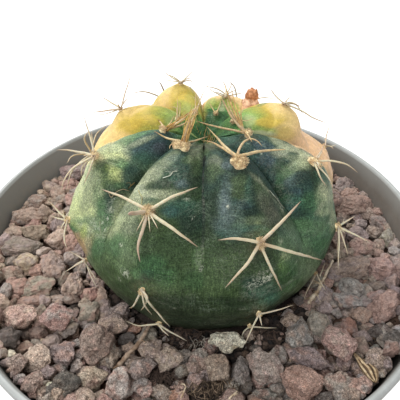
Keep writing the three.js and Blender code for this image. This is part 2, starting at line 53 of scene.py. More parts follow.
# name, crest azimuth by height, swelling by height, areoles
RIBS = [
    ("B", [(4, 21), (8.45, 20.5), (11, 23.5)], [(0, 0), (14, 0)], [11.05, 8.55, 5.85, 4.55]),
    ("H", [(0, 67.5)], [(0, 0), (4, 1.0), (7, -0.2), (9, 0.0), (11, -1.8), (12.5, -0.8), (14, 0)], [12.15, 9.5, 7.05, 4.7]),
    ("G", [(0, 113)], [(0, 0), (5, 0.8), (7.3, 1.6), (8.1, 0.4), (8.8, -2.2), (9.3, -2.0), (9.8, -0.2), (10.3, -0.4), (10.9, -0.7), (12.5, -1.0), (14, 0)], [12.6, 10.35, 7.6, 5.4]),
    ("F", [(0, 162)], [(0, 0), (8, 0), (10, -3.2), (11.5, -4.6), (12.5, -3.0), (13.3, -.8), (14, 0)], [12.4, 10.6, 7.8, 5.0]),
    ("E", [(0, 198)], [(0, 0), (9, 0), (11, -0.8), (12.5, -0.4), (14, 0)], [12.7, 10.7, 8.1, 5.5]),
    ("D", [(0, 246)], [(0, 0), (8, -1.2), (9.4, -2.0), (10.4, -1.0), (11.2, -0.6), (12, 0), (14, 0)], [12.6, 10.1, 7.4, 5.0]),
    ("C", [(0, 291)], [(0, 0), (5.3, -0.3), (7.2, 0.3), (8.4, -0.9), (9.65, 0.2), (11, -0.5), (12.3, -0.2), (14, 0)], [12.2, 9.65, 7.3, 5.3]),
    ("A", [(4, 341), (5, 340.5), (6.9, 337), (9.25, 335.5), (11.9, 335)], [(0, 0), (14, 0)], [11.9, 9.3, 6.95, 5.05]),
]
RIB_OF = {r[0]: i for i, r in enumerate(RIBS)}


# ------------------------------------------------------------------ noise
_GR = np.array([[1, 1, 0], [-1, 1, 0], [1, -1, 0], [-1, -1, 0], [1, 0, 1], [-1, 0, 1], [1, 0, -1], [-1, 0, -1], [0, 1, 1], [0, -1, 1], [0, 1, -1], [0, -1, -1]], float)


def _hash(i, j, k, seed):
    n = (i * 73856093) ^ (j * 19349663) ^ (k * 83492791) ^ (seed * 40503 + 977)
    n = n & 0xFFFFFFFF
    n = ((n ^ (n >> 15)) * 2246822519) & 0xFFFFFFFF
    n = ((n ^ (n >> 13)) * 3266489917) & 0xFFFFFFFF
    return n ^ (n >> 16)


def noise(p, seed=0):
    """Gradient noise, about -1 to 1."""
    p = np.asarray(p, float)
    c = np.floor(p).astype(np.int64)
    f = p - c
    u = f * f * f * (f * (f * 6 - 15) + 10)
    out = np.zeros(p.shape[:-1])
    for dx in (0, 1):
        for dy in (0, 1):
            for dz in (0, 1):
                g = _GR[_hash(c[..., 0] + dx, c[..., 1] + dy, c[..., 2] + dz, seed) % 12]
                d = g[..., 0] * (f[..., 0] - dx) + g[..., 1] * (f[..., 1] - dy) + g[..., 2] * (f[..., 2] - dz)
                w = (u[..., 0] if dx else 1 - u[..., 0]) * (u[..., 1] if dy else 1 - u[..., 1]) * (u[..., 2] if dz else 1 - u[..., 2])
                out += d * w
    return out * 1.25


def fbm(p, octaves=4, gain=0.5, lacunarity=2.07, seed=0):
    p = np.asarray(p, float)
    out, amp, total = np.zeros(p.shape[:-1]), 1.0, 0.0
    for o in range(octaves):
        out += amp * noise(p, seed + 17 * o)
        total += amp
        amp *= gain
        p = p * lacunarity + 3.7
    return out / total


def cells(p, seed=0):
    """Distance to the nearest scattered point and to the second nearest."""
    p = np.asarray(p, float)
    c = np.floor(p).astype(np.int64)
    f1 = np.full(p.shape[:-1], 9.0)
    f2 = np.full(p.shape[:-1], 9.0)
    for dx in (-1, 0, 1):
        for dy in (-1, 0, 1):
            for dz in (-1, 0, 1):
                i, j, k = c[..., 0] + dx, c[..., 1] + dy, c[..., 2] + dz
                h = _hash(i, j, k, seed)
                q = np.stack([i + (h & 1023) / 1023.0, j + ((h >> 10) & 1023) / 1023.0, k + ((h >> 20) & 1023) / 1023.0], -1)
                d = np.linalg.norm(q - p, axis=-1)
                near = d < f1
                f2 = np.where(near, f1, np.minimum(f2, d))
                f1 = np.where(near, d, f1)
    return f1, f2


def smooth(a, b, x):
    x = np.clip((x - a) / (b - a), 0, 1)
    return x * x * (3 - 2 * x)


def unit(v):
    v = np.asarray(v, float)
    return v / np.maximum(np.linalg.norm(v, axis=-1, keepdims=True), 1e-12)


def lin(c):
    """sRGB 0-255 to linear."""
    c = np.asarray(c, float) / 255.0
    return np.where(c <= 0.04045, c / 12.92, ((c + 0.055) / 1.055) ** 2.4)


# ------------------------------------------------------------------ the stem's surface
def catmull(points, t):
    p = np.array(points, float)
    p = np.vstack([2 * p[0] - p[1], p, 2 * p[-1] - p[-2]])
    t = np.clip(t, 0, len(points) - 1 - 1e-9)
    i = t.astype(int)
    f = (t - i)[..., None]
    a, b, c, d = p[i], p[i + 1], p[i + 2], p[i + 3]
    return 0.5 * ((2 * b) + (-a + c) * f + (2 * a - 5 * b + 4 * c - d) * f**2 + (-a + 3 * b - 3 * c + d) * f**3)


def sm(x):
    x = np.clip(x, 0, 1)
    return x * x * (3 - 2 * x)


def table(pairs, v):
    return np.interp(v, [p[0] for p in pairs], [p[1] for p in pairs])


def bulge(k, t, v):
    """A swelling under each areole that ends in a shallow crease above the next one, and a low nose that carries the areole."""
    ar = RIBS[k][3]
    tops = [a + 0.42 for a in ar]
    lows = tops[1:] + [2.2]
    out = np.zeros_like(v)
    amp = np.interp(v, [2, 5, 7, 8.5, 10.5, 12, 14], [.2, .4, .65, .95, 1.0, .8, .4])
    for hi, lo in zip(tops, lows):
        m = (v >= lo) & (v <= hi)
        s = np.clip((hi - v) / (hi - lo), 0, 1)
        out = np.where(m, amp * np.sin(np.pi * s**0.6) ** 0.8, out)
    out = out * np.maximum(0, 1 - t * t) ** 1.1
    for a in ar:
        out = out + 0.75 * np.exp(-(((v - a + .06) / .36) ** 2) - (t / .27) ** 2)
    return out


def skin(k, t, v, lift=0.0):
    t, v = np.broadcast_arrays(np.asarray(t, float), np.asarray(v, float))
    c, g = catmull(CREST, v), catmull(GROOVE, v)
    d = catmull(CREST, np.minimum(v + .05, 14)) - catmull(CREST, np.maximum(v - .05, 0))
    n = np.stack([d[..., 1], -d[..., 0]], -1)
    n = n / (np.linalg.norm(n, axis=-1, keepdims=True) + 1e-9)
    w = (1 - np.abs(t) ** 2.3) ** 0.75
    off = table(RIBS[k][2], v)
    f = sm((v - 2) / 2) * sm((14 - v) / 1.5)
    b = bulge(k, t, v) * f - 0.45 * sm((v - 2) / 2) * (1 - t * t)
    q = g + (c - g) * w[..., None] + n * (off * w + b + lift)[..., None]
    r = np.maximum(q[..., 0], 0)
    ca = table(RIBS[k][1], v)
    lo = FURROWS[k] if k > 0 else -1.0
    hi = FURROWS[k + 1]
    az = np.radians(np.where(t >= 0, ca + t * (hi - ca), ca + t * (ca - lo)))
    return np.stack([CX + r * np.sin(az), CY - r * np.cos(az), Z_G + q[..., 1]], -1)


def areole_frame(k, v):
    """Place, sideways, towards the crown, outward."""
    p = skin(k, 0.0, v)
    u = unit(skin(k, 0.0, v + .25) - skin(k, 0.0, v - .25))
    s = unit(skin(k, .12, v) - skin(k, -.12, v))
    n = unit(np.cross(s, u))
    return p, np.cross(u, n), u, n


# ------------------------------------------------------------------ camera, at the photograph's angle
F_PX = 560.0


def camera_basis():
    dist, el = 2.4647 * 52.5, math.radians(44.2271)
    c = np.array([0, -dist * math.cos(el), dist * math.sin(el)])
    fwd = -c / np.linalg.norm(c)
    r = np.array([1.0, 0, 0])
    up = np.cross(r, fwd)
    yaw, pitch, roll = (math.radians(a) for a in (0.1569, 3.2324, -0.2417))
    f2 = fwd * math.cos(pitch) + up * math.sin(pitch)
    u2 = up * math.cos(pitch) - fwd * math.sin(pitch)
    f3 = f2 * math.cos(yaw) + r * math.sin(yaw)
    r3 = r * math.cos(yaw) - f2 * math.sin(yaw)
    r4 = r3 * math.cos(roll) + u2 * math.sin(roll)
    u4 = u2 * math.cos(roll) - r3 * math.sin(roll)
    return c + [0, 0, POT_H], f3, r4, u4


EYE, FWD, RIGHT, UP = camera_basis()


def on_level(px, py, z):
    """The point at height z that shows at pixel (px, py) of the 400 x 400 frame."""
    d = FWD + RIGHT * (px - 200) / F_PX - UP * (py - 200) / F_PX
    return EYE + d * ((z - EYE[2]) / d[2])


cam_data = bpy.data.cameras.new("camera")
cam_data.sensor_fit = "HORIZONTAL"
cam_data.sensor_width = 36.0
cam_data.lens = F_PX * 36.0 / 400.0
cam_data.clip_start, cam_data.clip_end = 0.005, 20.0
cam = bpy.data.objects.new("camera", cam_data)
cam.matrix_world = Matrix([
    [RIGHT[0], UP[0], -FWD[0], EYE[0] * MM],
    [RIGHT[1], UP[1], -FWD[1], EYE[1] * MM],
    [RIGHT[2], UP[2], -FWD[2], EYE[2] * MM],
    [0, 0, 0, 1]])
bpy.context.scene.collection.objects.link(cam)
bpy.context.scene.camera = cam


# ------------------------------------------------------------------ meshes
class Shell:
    """Gathers vertices, faces and per-vertex values, and makes one mesh of them."""

    def __init__(self):
        self.v, self.q, self.t, self.a, self.n = [], [], [], {}, 0

    def add(self, v, quads=None, tris=None, **values):
        v = np.asarray(v, float).reshape(-1, 3)
        for key in set(self.a) | set(values):
            old = self.a.setdefault(key, [])
            have = sum(len(x) for x in old)
            val = values.get(key, 0.0)
            val = np.asarray(val, float)
            width = 3 if (val.ndim and val.shape[-1] == 3 and key == "col") else 1
            if have < self.n:
                old.append(np.zeros((self.n - have, width)))
            old.append(np.broadcast_to(val.reshape(-1, width) if val.ndim else val, (len(v), width)).copy())
        self.v.append(v)
        if quads is not None and len(quads):
            self.q.append(np.asarray(quads, np.int64) + self.n)
        if tris is not None and len(tris):
            self.t.append(np.asarray(tris, np.int64) + self.n)
        self.n += len(v)

    def make(self, name, material, flat=False):
        v = np.vstack(self.v)
        q = np.vstack(self.q) if self.q else np.zeros((0, 4), np.int64)
        t = np.vstack(self.t) if self.t else np.zeros((0, 3), np.int64)
        me = bpy.data.meshes.new(name)
        me.vertices.add(len(v))
        me.vertices.foreach_set("co", (v * MM).astype(np.float32).ravel())
        loops = np.concatenate([q.ravel(), t.ravel()]).astype(np.int32)
        me.loops.add(len(loops))
        me.loops.foreach_set("vertex_index", loops)
        starts = np.concatenate([np.arange(len(q)) * 4, len(q) * 4 + np.arange(len(t)) * 3]).astype(np.int32)
        me.polygons.add(len(starts))
        me.polygons.foreach_set("loop_start", starts)
        me.polygons.foreach_set("use_smooth", np.full(len(starts), not flat))
        me.update(calc_edges=True)
        me.validate()
        for key, parts in self.a.items():
            val = np.vstack(parts)
            if val.shape[1] == 3:
                at = me.attributes.new(key, "FLOAT_COLOR", "POINT")
                at.data.foreach_set("color", np.hstack([val, np.ones((len(val), 1))]).astype(np.float32).ravel())
            else:
                at = me.attributes.new(key, "FLOAT", "POINT")
                at.data.foreach_set("value", val.astype(np.float32).ravel())
        me.materials.append(material)
        ob = bpy.data.objects.new(name, me)
        bpy.context.scene.collection.objects.link(ob)
        return ob


def place(ob, slot, *nodes):
    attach(ob, "root")
    if nodes:
        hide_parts(*nodes)
    return ob


def tube(path, radii, sides=8, up=(0, 0, 1)):
    """A closed tube along path. Gives vertices, quads, tris, and for each vertex its share of the way and its side (1 = the side towards up)."""
    path, radii = np.asarray(path, float), np.asarray(radii, float)
    n = len(path)
    tan = unit(np.gradient(path, axis=0))
    up = np.asarray(up, float)
    e = up - tan[0] * (up @ tan[0])
    if np.linalg.norm(e) < 1e-3:
        e = np.cross(tan[0], [1.0, 0.3, 0.2])
    e = unit(e)
    rings, ang = [], np.arange(sides) * 2 * np.pi / sides
    for i in range(n):
        e = unit(e - tan[i] * (e @ tan[i]))
        f = np.cross(tan[i], e)
        rings.append(path[i] + radii[i] * (np.cos(ang)[:, None] * e + np.sin(ang)[:, None] * f))
    v = np.vstack([np.vstack(rings), path[0] - tan[0] * radii[0] * .3, path[-1] + tan[-1] * radii[-1] * 1.2])
    i, j = np.meshgrid(np.arange(n - 1), np.arange(sides), indexing="ij")
    j2 = (j + 1) % sides
    quads = np.stack([i * sides + j, i * sides + j2, (i + 1) * sides + j2, (i + 1) * sides + j], -1).reshape(-1, 4)
    a, b = n * sides, n * sides + 1
    js = np.arange(sides)
    tris = np.vstack([np.stack([np.full(sides, a), (js + 1) % sides, js], -1), np.stack([np.full(sides, b), (n - 1) * sides + js, (n - 1) * sides + (js + 1) % sides], -1)])
    along = np.concatenate([np.repeat(np.linspace(0, 1, n), sides), [0, 1]])
    side = np.concatenate([np.tile(np.cos(ang), n), [0, 0]])
    return v, quads, tris, along, side


def resample(points, n, wobble=0.0, seed=0):
    """A smooth curve through the points, n samples evenly along it."""
    p = np.asarray(points, float)
    if len(p) == 2:
        p = np.array([p[0], (p[0] + p[1]) / 2, p[1]])
    c = catmull(p, np.linspace(0, len(p) - 1, 200))
    length = np.concatenate([[0], np.cumsum(np.linalg.norm(np.diff(c, axis=0), axis=1))])
    s = np.linspace(0, length[-1], n)
    out = np.stack([np.interp(s, length, c[:, i]) for i in range(3)], -1)
    if wobble:
        f = np.sin(np.pi * np.linspace(0, 1, n))[:, None]
        out += wobble * f * np.stack([noise(out * .35 + 9.1, seed + a) for a in (1, 2, 3)], -1)
    return out


def hairs(root, tip, bend, radius):
    """Many fine three-sided hairs at once, each closed and pointed."""
    m = len(root)
    ts = np.array([0, .4, .75])
    mid = (root + tip) / 2 + bend
    pts = np.stack([(1 - t) ** 2 * root + 2 * t * (1 - t) * mid + t * t * tip for t in ts], 1)   # m, 3, 3
    ax = unit(tip - root)
    e = unit(np.cross(ax, np.array([.31, .52, .79]) + 0 * ax))
    f = np.cross(ax, e)
    rr = np.asarray(radius)[:, None] * np.array([1.0, .8, .5])[None]
    v = []
    for a in range(3):
        c, s = math.cos(a * 2 * math.pi / 3), math.sin(a * 2 * math.pi / 3)
        v.append(pts + rr[..., None] * (c * e + s * f)[:, None])
    v = np.stack(v, 2).reshape(m, 9, 3)                   # ring-major
    v = np.concatenate([v, tip[:, None]], 1)              # 10 vertices each
    base = np.arange(m)[:, None, None] * 10
    q = []
    for i in range(2):
        for a in range(3):
            b = (a + 1) % 3
            q.append([i * 3 + a, i * 3 + b, i * 3 + 3 + b, i * 3 + 3 + a])
    t = [[2, 1, 0]] + [[6 + a, 6 + (a + 1) % 3, 9] for a in range(3)]
    quads = (base + np.array(q)[None]).reshape(-1, 4)
    tris = (base + np.array(t)[None]).reshape(-1, 3)
    along = np.tile(np.array([0, 0, 0, .4, .4, .4, .75, .75, .75, 1.0]), m)
    return v.reshape(-1, 3), quads, tris, along


def icosphere(level):
    bm = bmesh.new()
    bmesh.ops.create_icosphere(bm, subdivisions=level, radius=1.0)
    v = np.array([x.co[:] for x in bm.verts])
    f = np.array([[x.index for x in y.verts] for y in bm.faces])
    bm.free()
    return unit(v), f


ICO = {n: icosphere(n) for n in (1, 2, 3, 4, 5)}


# ------------------------------------------------------------------ materials
class Mat:
    def __init__(self, name):
        self.m = bpy.data.materials.new(name)
        self.m.use_nodes = True
        self.t = self.m.node_tree
        self.t.nodes.clear()
        self.out = self.t.nodes.new("ShaderNodeOutputMaterial")
        self.b = self.t.nodes.new("ShaderNodeBsdfPrincipled")
        self.t.links.new(self.b.outputs[0], self.out.inputs["Surface"])
        self.co = self.t.nodes.new("ShaderNodeTexCoord").outputs["Object"]

    def set(self, **values):
        for key, value in values.items():
            self.b.inputs[key.replace("_", " ")].default_value = value
        return self

    def put(self, value, socket):
        if hasattr(value, "is_linked"):
            self.t.links.new(value, socket)
        elif isinstance(value, (tuple, list, np.ndarray)):
            value = tuple(float(x) for x in value)
            socket.default_value = value + (1.0,) if len(value) == 3 and len(socket.default_value) == 4 else value
        else:
            socket.default_value = value

    def scaled(self, sx, sy, sz):
        n = self.t.nodes.new("ShaderNodeMapping")
        n.inputs["Scale"].default_value = (sx, sy, sz)
        self.t.links.new(self.co, n.inputs["Vector"])
        return n.outputs[0]

    def noise(self, scale, detail=4.0, rough=0.55, distortion=0.0, vec=None):
        n = self.t.nodes.new("ShaderNodeTexNoise")
        self.t.links.new(vec if vec is not None else self.co, n.inputs["Vector"])
        n.inputs["Scale"].default_value = scale
        n.inputs["Detail"].default_value = detail
        n.inputs["Roughness"].default_value = rough
        n.inputs["Distortion"].default_value = distortion
        return n.outputs[0]

    def voronoi(self, scale, feature="F1", rand=1.0, vec=None):
        n = self.t.nodes.new("ShaderNodeTexVoronoi")
        n.feature = feature
        self.t.links.new(vec if vec is not None else self.co, n.inputs["Vector"])
        n.inputs["Scale"].default_value = scale
        n.inputs["Randomness"].default_value = rand
        return n.outputs["Distance"]

    def ramp(self, fac, stops, ease="LINEAR"):
        n = self.t.nodes.new("ShaderNodeValToRGB")
        n.color_ramp.interpolation = ease
        while len(n.color_ramp.elements) < len(stops):
            n.color_ramp.elements.new(0.5)
        for e, (p, c) in zip(n.color_ramp.elements, stops):
            e.position = p
            e.color = tuple(float(x) for x in c) + (1.0,) if np.ndim(c) else (float(c),) * 3 + (1.0,)
        self.put(fac, n.inputs[0])
        return n.outputs[0]

    def mix(self, fac, a, b, blend="MIX"):
        n = self.t.nodes.new("ShaderNodeMix")
        n.data_type, n.blend_type = "RGBA", blend
        self.put(fac, n.inputs[0])
        self.put(a, n.inputs[6])
        self.put(b, n.inputs[7])
        return n.outputs[2]

    def math(self, op, a, b=0.0, clamp=False):
        n = self.t.nodes.new("ShaderNodeMath")
        n.operation, n.use_clamp = op, clamp
        self.put(a, n.inputs[0])
        self.put(b, n.inputs[1])
        return n.outputs[0]

    def span(self, value, a, b, c=0.0, d=1.0, ease="SMOOTHSTEP"):
        n = self.t.nodes.new("ShaderNodeMapRange")
        n.interpolation_type = ease
        self.put(value, n.inputs[0])
        for i, x in enumerate((a, b, c, d)):
            n.inputs[i + 1].default_value = x
        return n.outputs[0]

    def value(self, name):
        n = self.t.nodes.new("ShaderNodeAttribute")
        n.attribute_name = name
        return n.outputs["Fac"]

    def colour(self, name="col"):
        n = self.t.nodes.new("ShaderNodeAttribute")
        n.attribute_name = name
        return n.outputs["Color"]

    def bump(self, height, strength, distance, normal=None):
        n = self.t.nodes.new("ShaderNodeBump")
        n.inputs["Strength"].default_value = strength
        n.inputs["Distance"].default_value = distance
        self.put(height, n.inputs["Height"])
        if normal is not None:
            self.t.links.new(normal, n.inputs["Normal"])
        return n.outputs[0]

    def finish(self, colour=None, rough=None, normal=None):
        if colour is not None:
            self.put(colour, self.b.inputs["Base Color"])
        if rough is not None:
            self.put(rough, self.b.inputs["Roughness"])
        if normal is not None:
            self.put(normal, self.b.inputs["Normal"])
        return self.m


def skin_material():
    m = Mat("stem_skin")
    base = m.colour("col")
    pale = m.value("pale")          # how light and waxy the tissue is
    cloud = m.noise(420, 5, .6, .3)
    fine = m.noise(4200, 3, .65)
    dull = m.span(pale, .35, .85, 1.0, .22)       # light tissue is smoother
    c = m.mix(m.math("MULTIPLY", m.span(cloud, .30, .70, 0, .26), dull), base, m.mix(1.0, base, (.52, .60, .52), "MULTIPLY"))
    c = m.mix(m.math("MULTIPLY", m.span(fine, .50, .64, 0, .78), dull), c, m.mix(1.0, c, (1.7, 1.75, 1.6), "MULTIPLY"))
    c = m.mix(m.math("MULTIPLY", m.span(fine, .50, .36, 0, .80), dull), c, m.mix(1.0, c, (.50, .54, .50), "MULTIPLY"))
    # stomata and fine chagrin: tiny pale dots that thin out in patches
    dots = m.voronoi(2300)
    where = m.span(m.noise(260, 3, .5), .40, .62, .10, 1.0)
    dot = m.math("MULTIPLY", m.math("MULTIPLY", m.span(dots, .22, .06, 0, .10), where), dull)
    c = m.mix(dot, c, (.34, .42, .34))
    # dry hairline streaks along the ribs, and short ones around the body
    up = m.noise(3500, 4, .7, .15, m.scaled(1, 1, .12))
    c = m.mix(m.math("MULTIPLY", m.span(up, .51, .66, 0, .80), dull), c, m.mix(1.0, c, (1.9, 1.8, 1.8), "MULTIPLY"))
    c = m.mix(m.math("MULTIPLY", m.span(up, .49, .34, 0, .78), dull), c, m.mix(1.0, c, (.40, .45, .40), "MULTIPLY"))
    ring = m.noise(1500, 4, .7, .2, m.scaled(.22, .22, 2.3))
    band = m.span(m.noise(120, 3, .5), .42, .60)
    band = m.math("MULTIPLY", band, dull)
    # where the wax is rubbed off, as crossing hairlines
    rub = m.math("MULTIPLY", m.span(m.noise(170, 3, .6), .44, .62, .10, 1.0), dull)
    line = m.span(m.math("ABSOLUTE", m.math("SUBTRACT", m.noise(1150, 3, .6, .1, m.scaled(.18, .18, 1.5)), .5)), .016, .002)
    line = m.math("MAXIMUM", line, m.span(m.math("ABSOLUTE", m.math("SUBTRACT", m.noise(1250, 3, .6, .1, m.scaled(1.2, 1.2, .12)), .5)), .015, .002))
    c = m.mix(m.math("MULTIPLY", m.math("MULTIPLY", line, rub), .34), c, (.26, .33, .24))
    c = m.mix(m.math("MULTIPLY", m.span(ring, .52, .66, 0, .60), band), c, m.mix(1.0, c, (1.9, 1.8, 1.7), "MULTIPLY"))
    c = m.mix(m.math("MULTIPLY", m.span(ring, .48, .34, 0, .60), band), c, m.mix(1.0, c, (.44, .48, .44), "MULTIPLY"))
    dark = m.math("MULTIPLY", m.span(m.voronoi(980), .24, .08, 0, .30), m.span(m.noise(330, 2, .5), .45, .65, 0, 1))
    c = m.mix(m.math("MULTIPLY", dark, dull), c, m.mix(1.0, c, (.35, .4, .35), "MULTIPLY"))
    # scurfy scale, in flakes
    flake = m.math("MULTIPLY", m.value("scurf"), m.span(m.noise(1700, 5, .75, .9), .47, .56))
    c = m.mix(flake, c, lin((196, 200, 180)))
    cork = m.math("MULTIPLY", m.value("cork"), m.span(m.noise(700, 5, .65, .4), .34, .60))
    c = m.mix(cork, c, lin((128, 108, 84)))
    rough = m.math("ADD", m.span(cloud, .3, .7, .40, .56), m.math("MULTIPLY", flake, .3))
    h = m.math("ADD", m.math("MULTIPLY", m.voronoi(1250, "SMOOTH_F1"), .7), m.math("MULTIPLY", fine, .5))
    h = m.math("ADD", h, m.math("MULTIPLY", flake, .8))
    h = m.math("ADD", h, m.math("MULTIPLY", up, .6))
    m.set(Subsurface_Weight=0.08, Subsurface_Radius=(.9, 1.0, .45), Subsurface_Scale=0.0009, Specular_IOR_Level=0.10)
    return m.finish(c, rough, m.bump(h, .64, .00020))


def spine_material():
    m = Mat("spine_straw")
    along, side, own = m.value("along"), m.value("side"), m.value("own")
    c = m.ramp(along, [(0, lin((150, 108, 76))), (.05, lin((192, 156, 116))), (.20, lin((212, 192, 152))), (.60, lin((204, 180, 142))), (.84, lin((174, 144, 112))), (1, lin((112, 90, 74)))])
    # painted shade: each spine is darker on its side turned towards the stem
    edge = m.span(side, .25, -.70, 0, .75)
    c = m.mix(edge, c, lin((146, 108, 80)))
    c = m.mix(m.span(own, .55, 1.0, 0, .45), c, lin((184, 138, 116)))
    streak = m.noise(1400, 4, .6)
    c = m.mix(m.span(streak, .42, .72, 0, .35), c, lin((158, 120, 84)))
    c = m.mix(1.0, c, (.80, .93, 1.06), "MULTIPLY")
    c = m.mix(m.value("gold"), c, m.mix(m.span(streak, .35, .65), lin((200, 166, 92)), lin((140, 104, 54))))
    grey = m.value("age")
    c = m.mix(grey, c, lin((190, 182, 160)))
    h = m.math("ADD", streak, m.math("MULTIPLY", m.noise(5200, 2, .5), .4))
    m.set(Subsurface_Weight=0.25, Subsurface_Radius=(1.0, .6, .35), Subsurface_Scale=0.0006, Specular_IOR_Level=0.45)
    return m.finish(c, m.span(streak, .3, .7, .40, .58), m.bump(h, .25, .00006))


def wool_material(name, a, b):
    m = Mat(name)
    c = m.mix(m.span(m.noise(1500, 4, .7), .40, .60), lin(a), lin(b))
    c = m.mix(m.value("brown"), c, lin((146, 104, 70)))
    c = m.mix(m.span(m.noise(3600, 2, .6), .45, .75, 0, .45), c, lin((242, 228, 190)))
    m.set(Specular_IOR_Level=0.2, Sheen_Weight=0.25, Sheen_Roughness=0.5)
    return m.finish(c, .85, m.bump(m.noise(4200, 3, .7), .9, .00016))


def stone_material(name, grit, tint=(1.0, 1.0, 1.0)):
    """Porous lava: mottled, granular, pricked with small vesicles. grit: how crisp the grain is."""
    m = Mat(name)
    base = m.colour("col")
    pit = m.value("pit")
    grain = m.noise(2300, 6, .80, .3)
    mid = m.noise(1050, 5, .70, .5)
    patch = m.noise(420, 4, .66, .7)
    hue = m.noise(560, 4, .7, .9, m.scaled(1.2, .8, 1.0))
    base = m.mix(1.0, base, tint, "MULTIPLY")
    dust = m.noise(4800, 3, .7, .2)
    c = m.mix(m.span(patch, .34, .66, 0, .55), base, m.mix(1.0, base, (.78, .71, .70), "MULTIPLY"))
    c = m.mix(m.span(hue, .50, .64, 0, .50), c, m.mix(1.0, c, (1.12, .99, .94), "MULTIPLY"))
    c = m.mix(m.span(hue, .48, .34, 0, .45), c, m.mix(1.0, c, (.92, .97, 1.06), "MULTIPLY"))
    c = m.mix(m.span(patch, .58, .72, 0, .30), c, lin((190, 174, 158)))
    c = m.mix(m.span(mid, .50, .66, 0, .66), c, m.mix(1.0, c, (.50, .47, .46), "MULTIPLY"))
    c = m.mix(m.span(mid, .47, .32, 0, .60), c, m.mix(1.0, c, (1.48, 1.48, 1.46), "MULTIPLY"))
    c = m.mix(m.span(grain, .50, .64, 0, .80 * grit), c, m.mix(1.0, c, (.42, .40, .39), "MULTIPLY"))
    c = m.mix(m.span(grain, .48, .34, 0, .75 * grit), c, m.mix(1.0, c, (1.65, 1.62, 1.6), "MULTIPLY"))
    c = m.mix(m.span(dust, .50, .63, 0, .70 * grit), c, m.mix(1.0, c, (.48, .46, .45), "MULTIPLY"))
    c = m.mix(m.span(dust, .50, .37, 0, .70 * grit), c, m.mix(1.0, c, (1.62, 1.6, 1.58), "MULTIPLY"))
    vesicle = m.span(m.noise(1500, 2, .5, .6), .36, .30)
    c = m.mix(m.math("MULTIPLY", vesicle, .45 * grit), c, m.mix(1.0, c, (.36, .33, .32), "MULTIPLY"))
    # painted shade: the pit value darkens the hollows and holes of each stone
    c = m.mix(m.math("MULTIPLY", pit, .62), c, m.mix(1.0, c, (.42, .37, .35), "MULTIPLY"))
    h = m.math("ADD", m.math("MULTIPLY", grain, 1.2 * grit), m.math("MULTIPLY", vesicle, -.7))
    h = m.math("ADD", h, m.math("MULTIPLY", mid, 1.6))
    m.set(Specular_IOR_Level=0.12)
    return m.finish(c, m.span(grain, .3, .7, .88, .99), m.bump(h, 1.0, .00042))


def soil_material():
    m = Mat("potting_mix")
    base = m.colour("col")
    c = m.mix(m.span(m.noise(1300, 6, .7), .42, .68, 0, .8), base, m.mix(1.0, base, (.35, .33, .32), "MULTIPLY"))
    c = m.mix(m.math("MULTIPLY", m.span(m.voronoi(1500), .22, .08), m.span(m.noise(500, 2, .5), .5, .62)), c, lin((150, 132, 112)))
    m.set(Specular_IOR_Level=0.25)
    return m.finish(c, .93, m.bump(m.noise(2400, 5, .7), .9, .0003))


def fibre_material():
    m = Mat("dry_fibre")
    c = m.mix(m.span(m.noise(900, 4, .6), .35, .65), m.colour("col"), m.mix(1.0, m.colour("col"), (.5, .42, .36), "MULTIPLY"))
    m.set(Specular_IOR_Level=0.3)
    return m.finish(c, .75, m.bump(m.noise(3000, 3, .6), .4, .0001))


def pot_material():
    m = Mat("pot_plastic")
    g = m.noise(55, 4, .6)
    fine = m.noise(2600, 3, .6)
    c = m.mix(m.span(g, .3, .7), lin((134, 135, 132)), lin((131, 131, 128)))
    # limescale and dust, in a faint tide mark by the gravel and in splashes above it
    sep = m.t.nodes.new("ShaderNodeSeparateXYZ")
    m.t.links.new(m.co, sep.inputs[0])
    z = m.math("ADD", sep.outputs["Z"], m.math("MULTIPLY", m.noise(140, 4, .65), .004))
    tide = m.math("MULTIPLY", m.span(z, .0715, .0745, 0, 1), m.span(z, .0800, .0762, 0, 1))
    inner = m.value("inner")
    tide = m.math("MULTIPLY", m.math("MULTIPLY", tide, inner), m.span(m.noise(600, 5, .7), .36, .66, .05, .42))
    c = m.mix(tide, c, lin((148, 140, 130)))
    # painted shade: the whole inside wall is made a little darker
    c = m.mix(m.math("MULTIPLY", inner, .10), c, lin((118, 112, 104)))
    # soil dirt and painted shade on the front of the inside wall, low down by the stones
    c = m.mix(m.math("MULTIPLY", m.value("dirt_and_shade"), m.span(m.noise(380, 5, .7), .3, .6, .72, .92)), c, lin((64, 60, 55)))
    # painted shade low down on the right of the inside wall
    c = m.mix(m.math("MULTIPLY", m.value("right_wall_shade"), m.span(m.noise(240, 5, .7), .3, .7, .8, 1.0)), c, lin((74, 61, 50)))
    spots = m.math("MULTIPLY", m.span(m.voronoi(420), .12, .05), m.span(m.noise(90, 2, .5), .5, .62))
    c = m.mix(m.math("MULTIPLY", spots, .35), c, lin((186, 182, 172)))
    scuff = m.math("MULTIPLY", m.value("edge"), m.span(m.noise(520, 5, .7), .38, .66, .30, .48))
    c = m.mix(scuff, c, lin((172, 178, 178)))
    scratch = m.noise(300, 3, .5, 0, m.scaled(1, 1, 14))
    rough = m.math("ADD", m.span(g, .3, .7, .50, .54), m.math("MULTIPLY", m.span(scratch, .5, .7), .05))
    h = m.math("ADD", fine, m.math("MULTIPLY", m.noise(7200, 2, .6), .5))
    m.set(Specular_IOR_Level=0.4)
    return m.finish(c, rough, m.bump(h, .20, .00005))


SKIN = skin_material()
SPINE = spine_material()
WOOL = wool_material("areole_wool", (236, 217, 170), (184, 150, 106))
CROWN_WOOL = wool_material("crown_wool", (176, 162, 128), (132, 112, 78))
STONE = stone_material("lava_stone", 1.18)
# a darker copy of the lava for the stones on the right of the bed: painted shade
STONE_PAINTED_SHADE = stone_material("lava_stone_painted_shade", .55, (.77, .775, .785))
STONE_WORN = stone_material("lava_stone_worn", .24, (.84, .81, .79))
SOIL = soil_material()
FIBRE = fibre_material()
POT = pot_material()


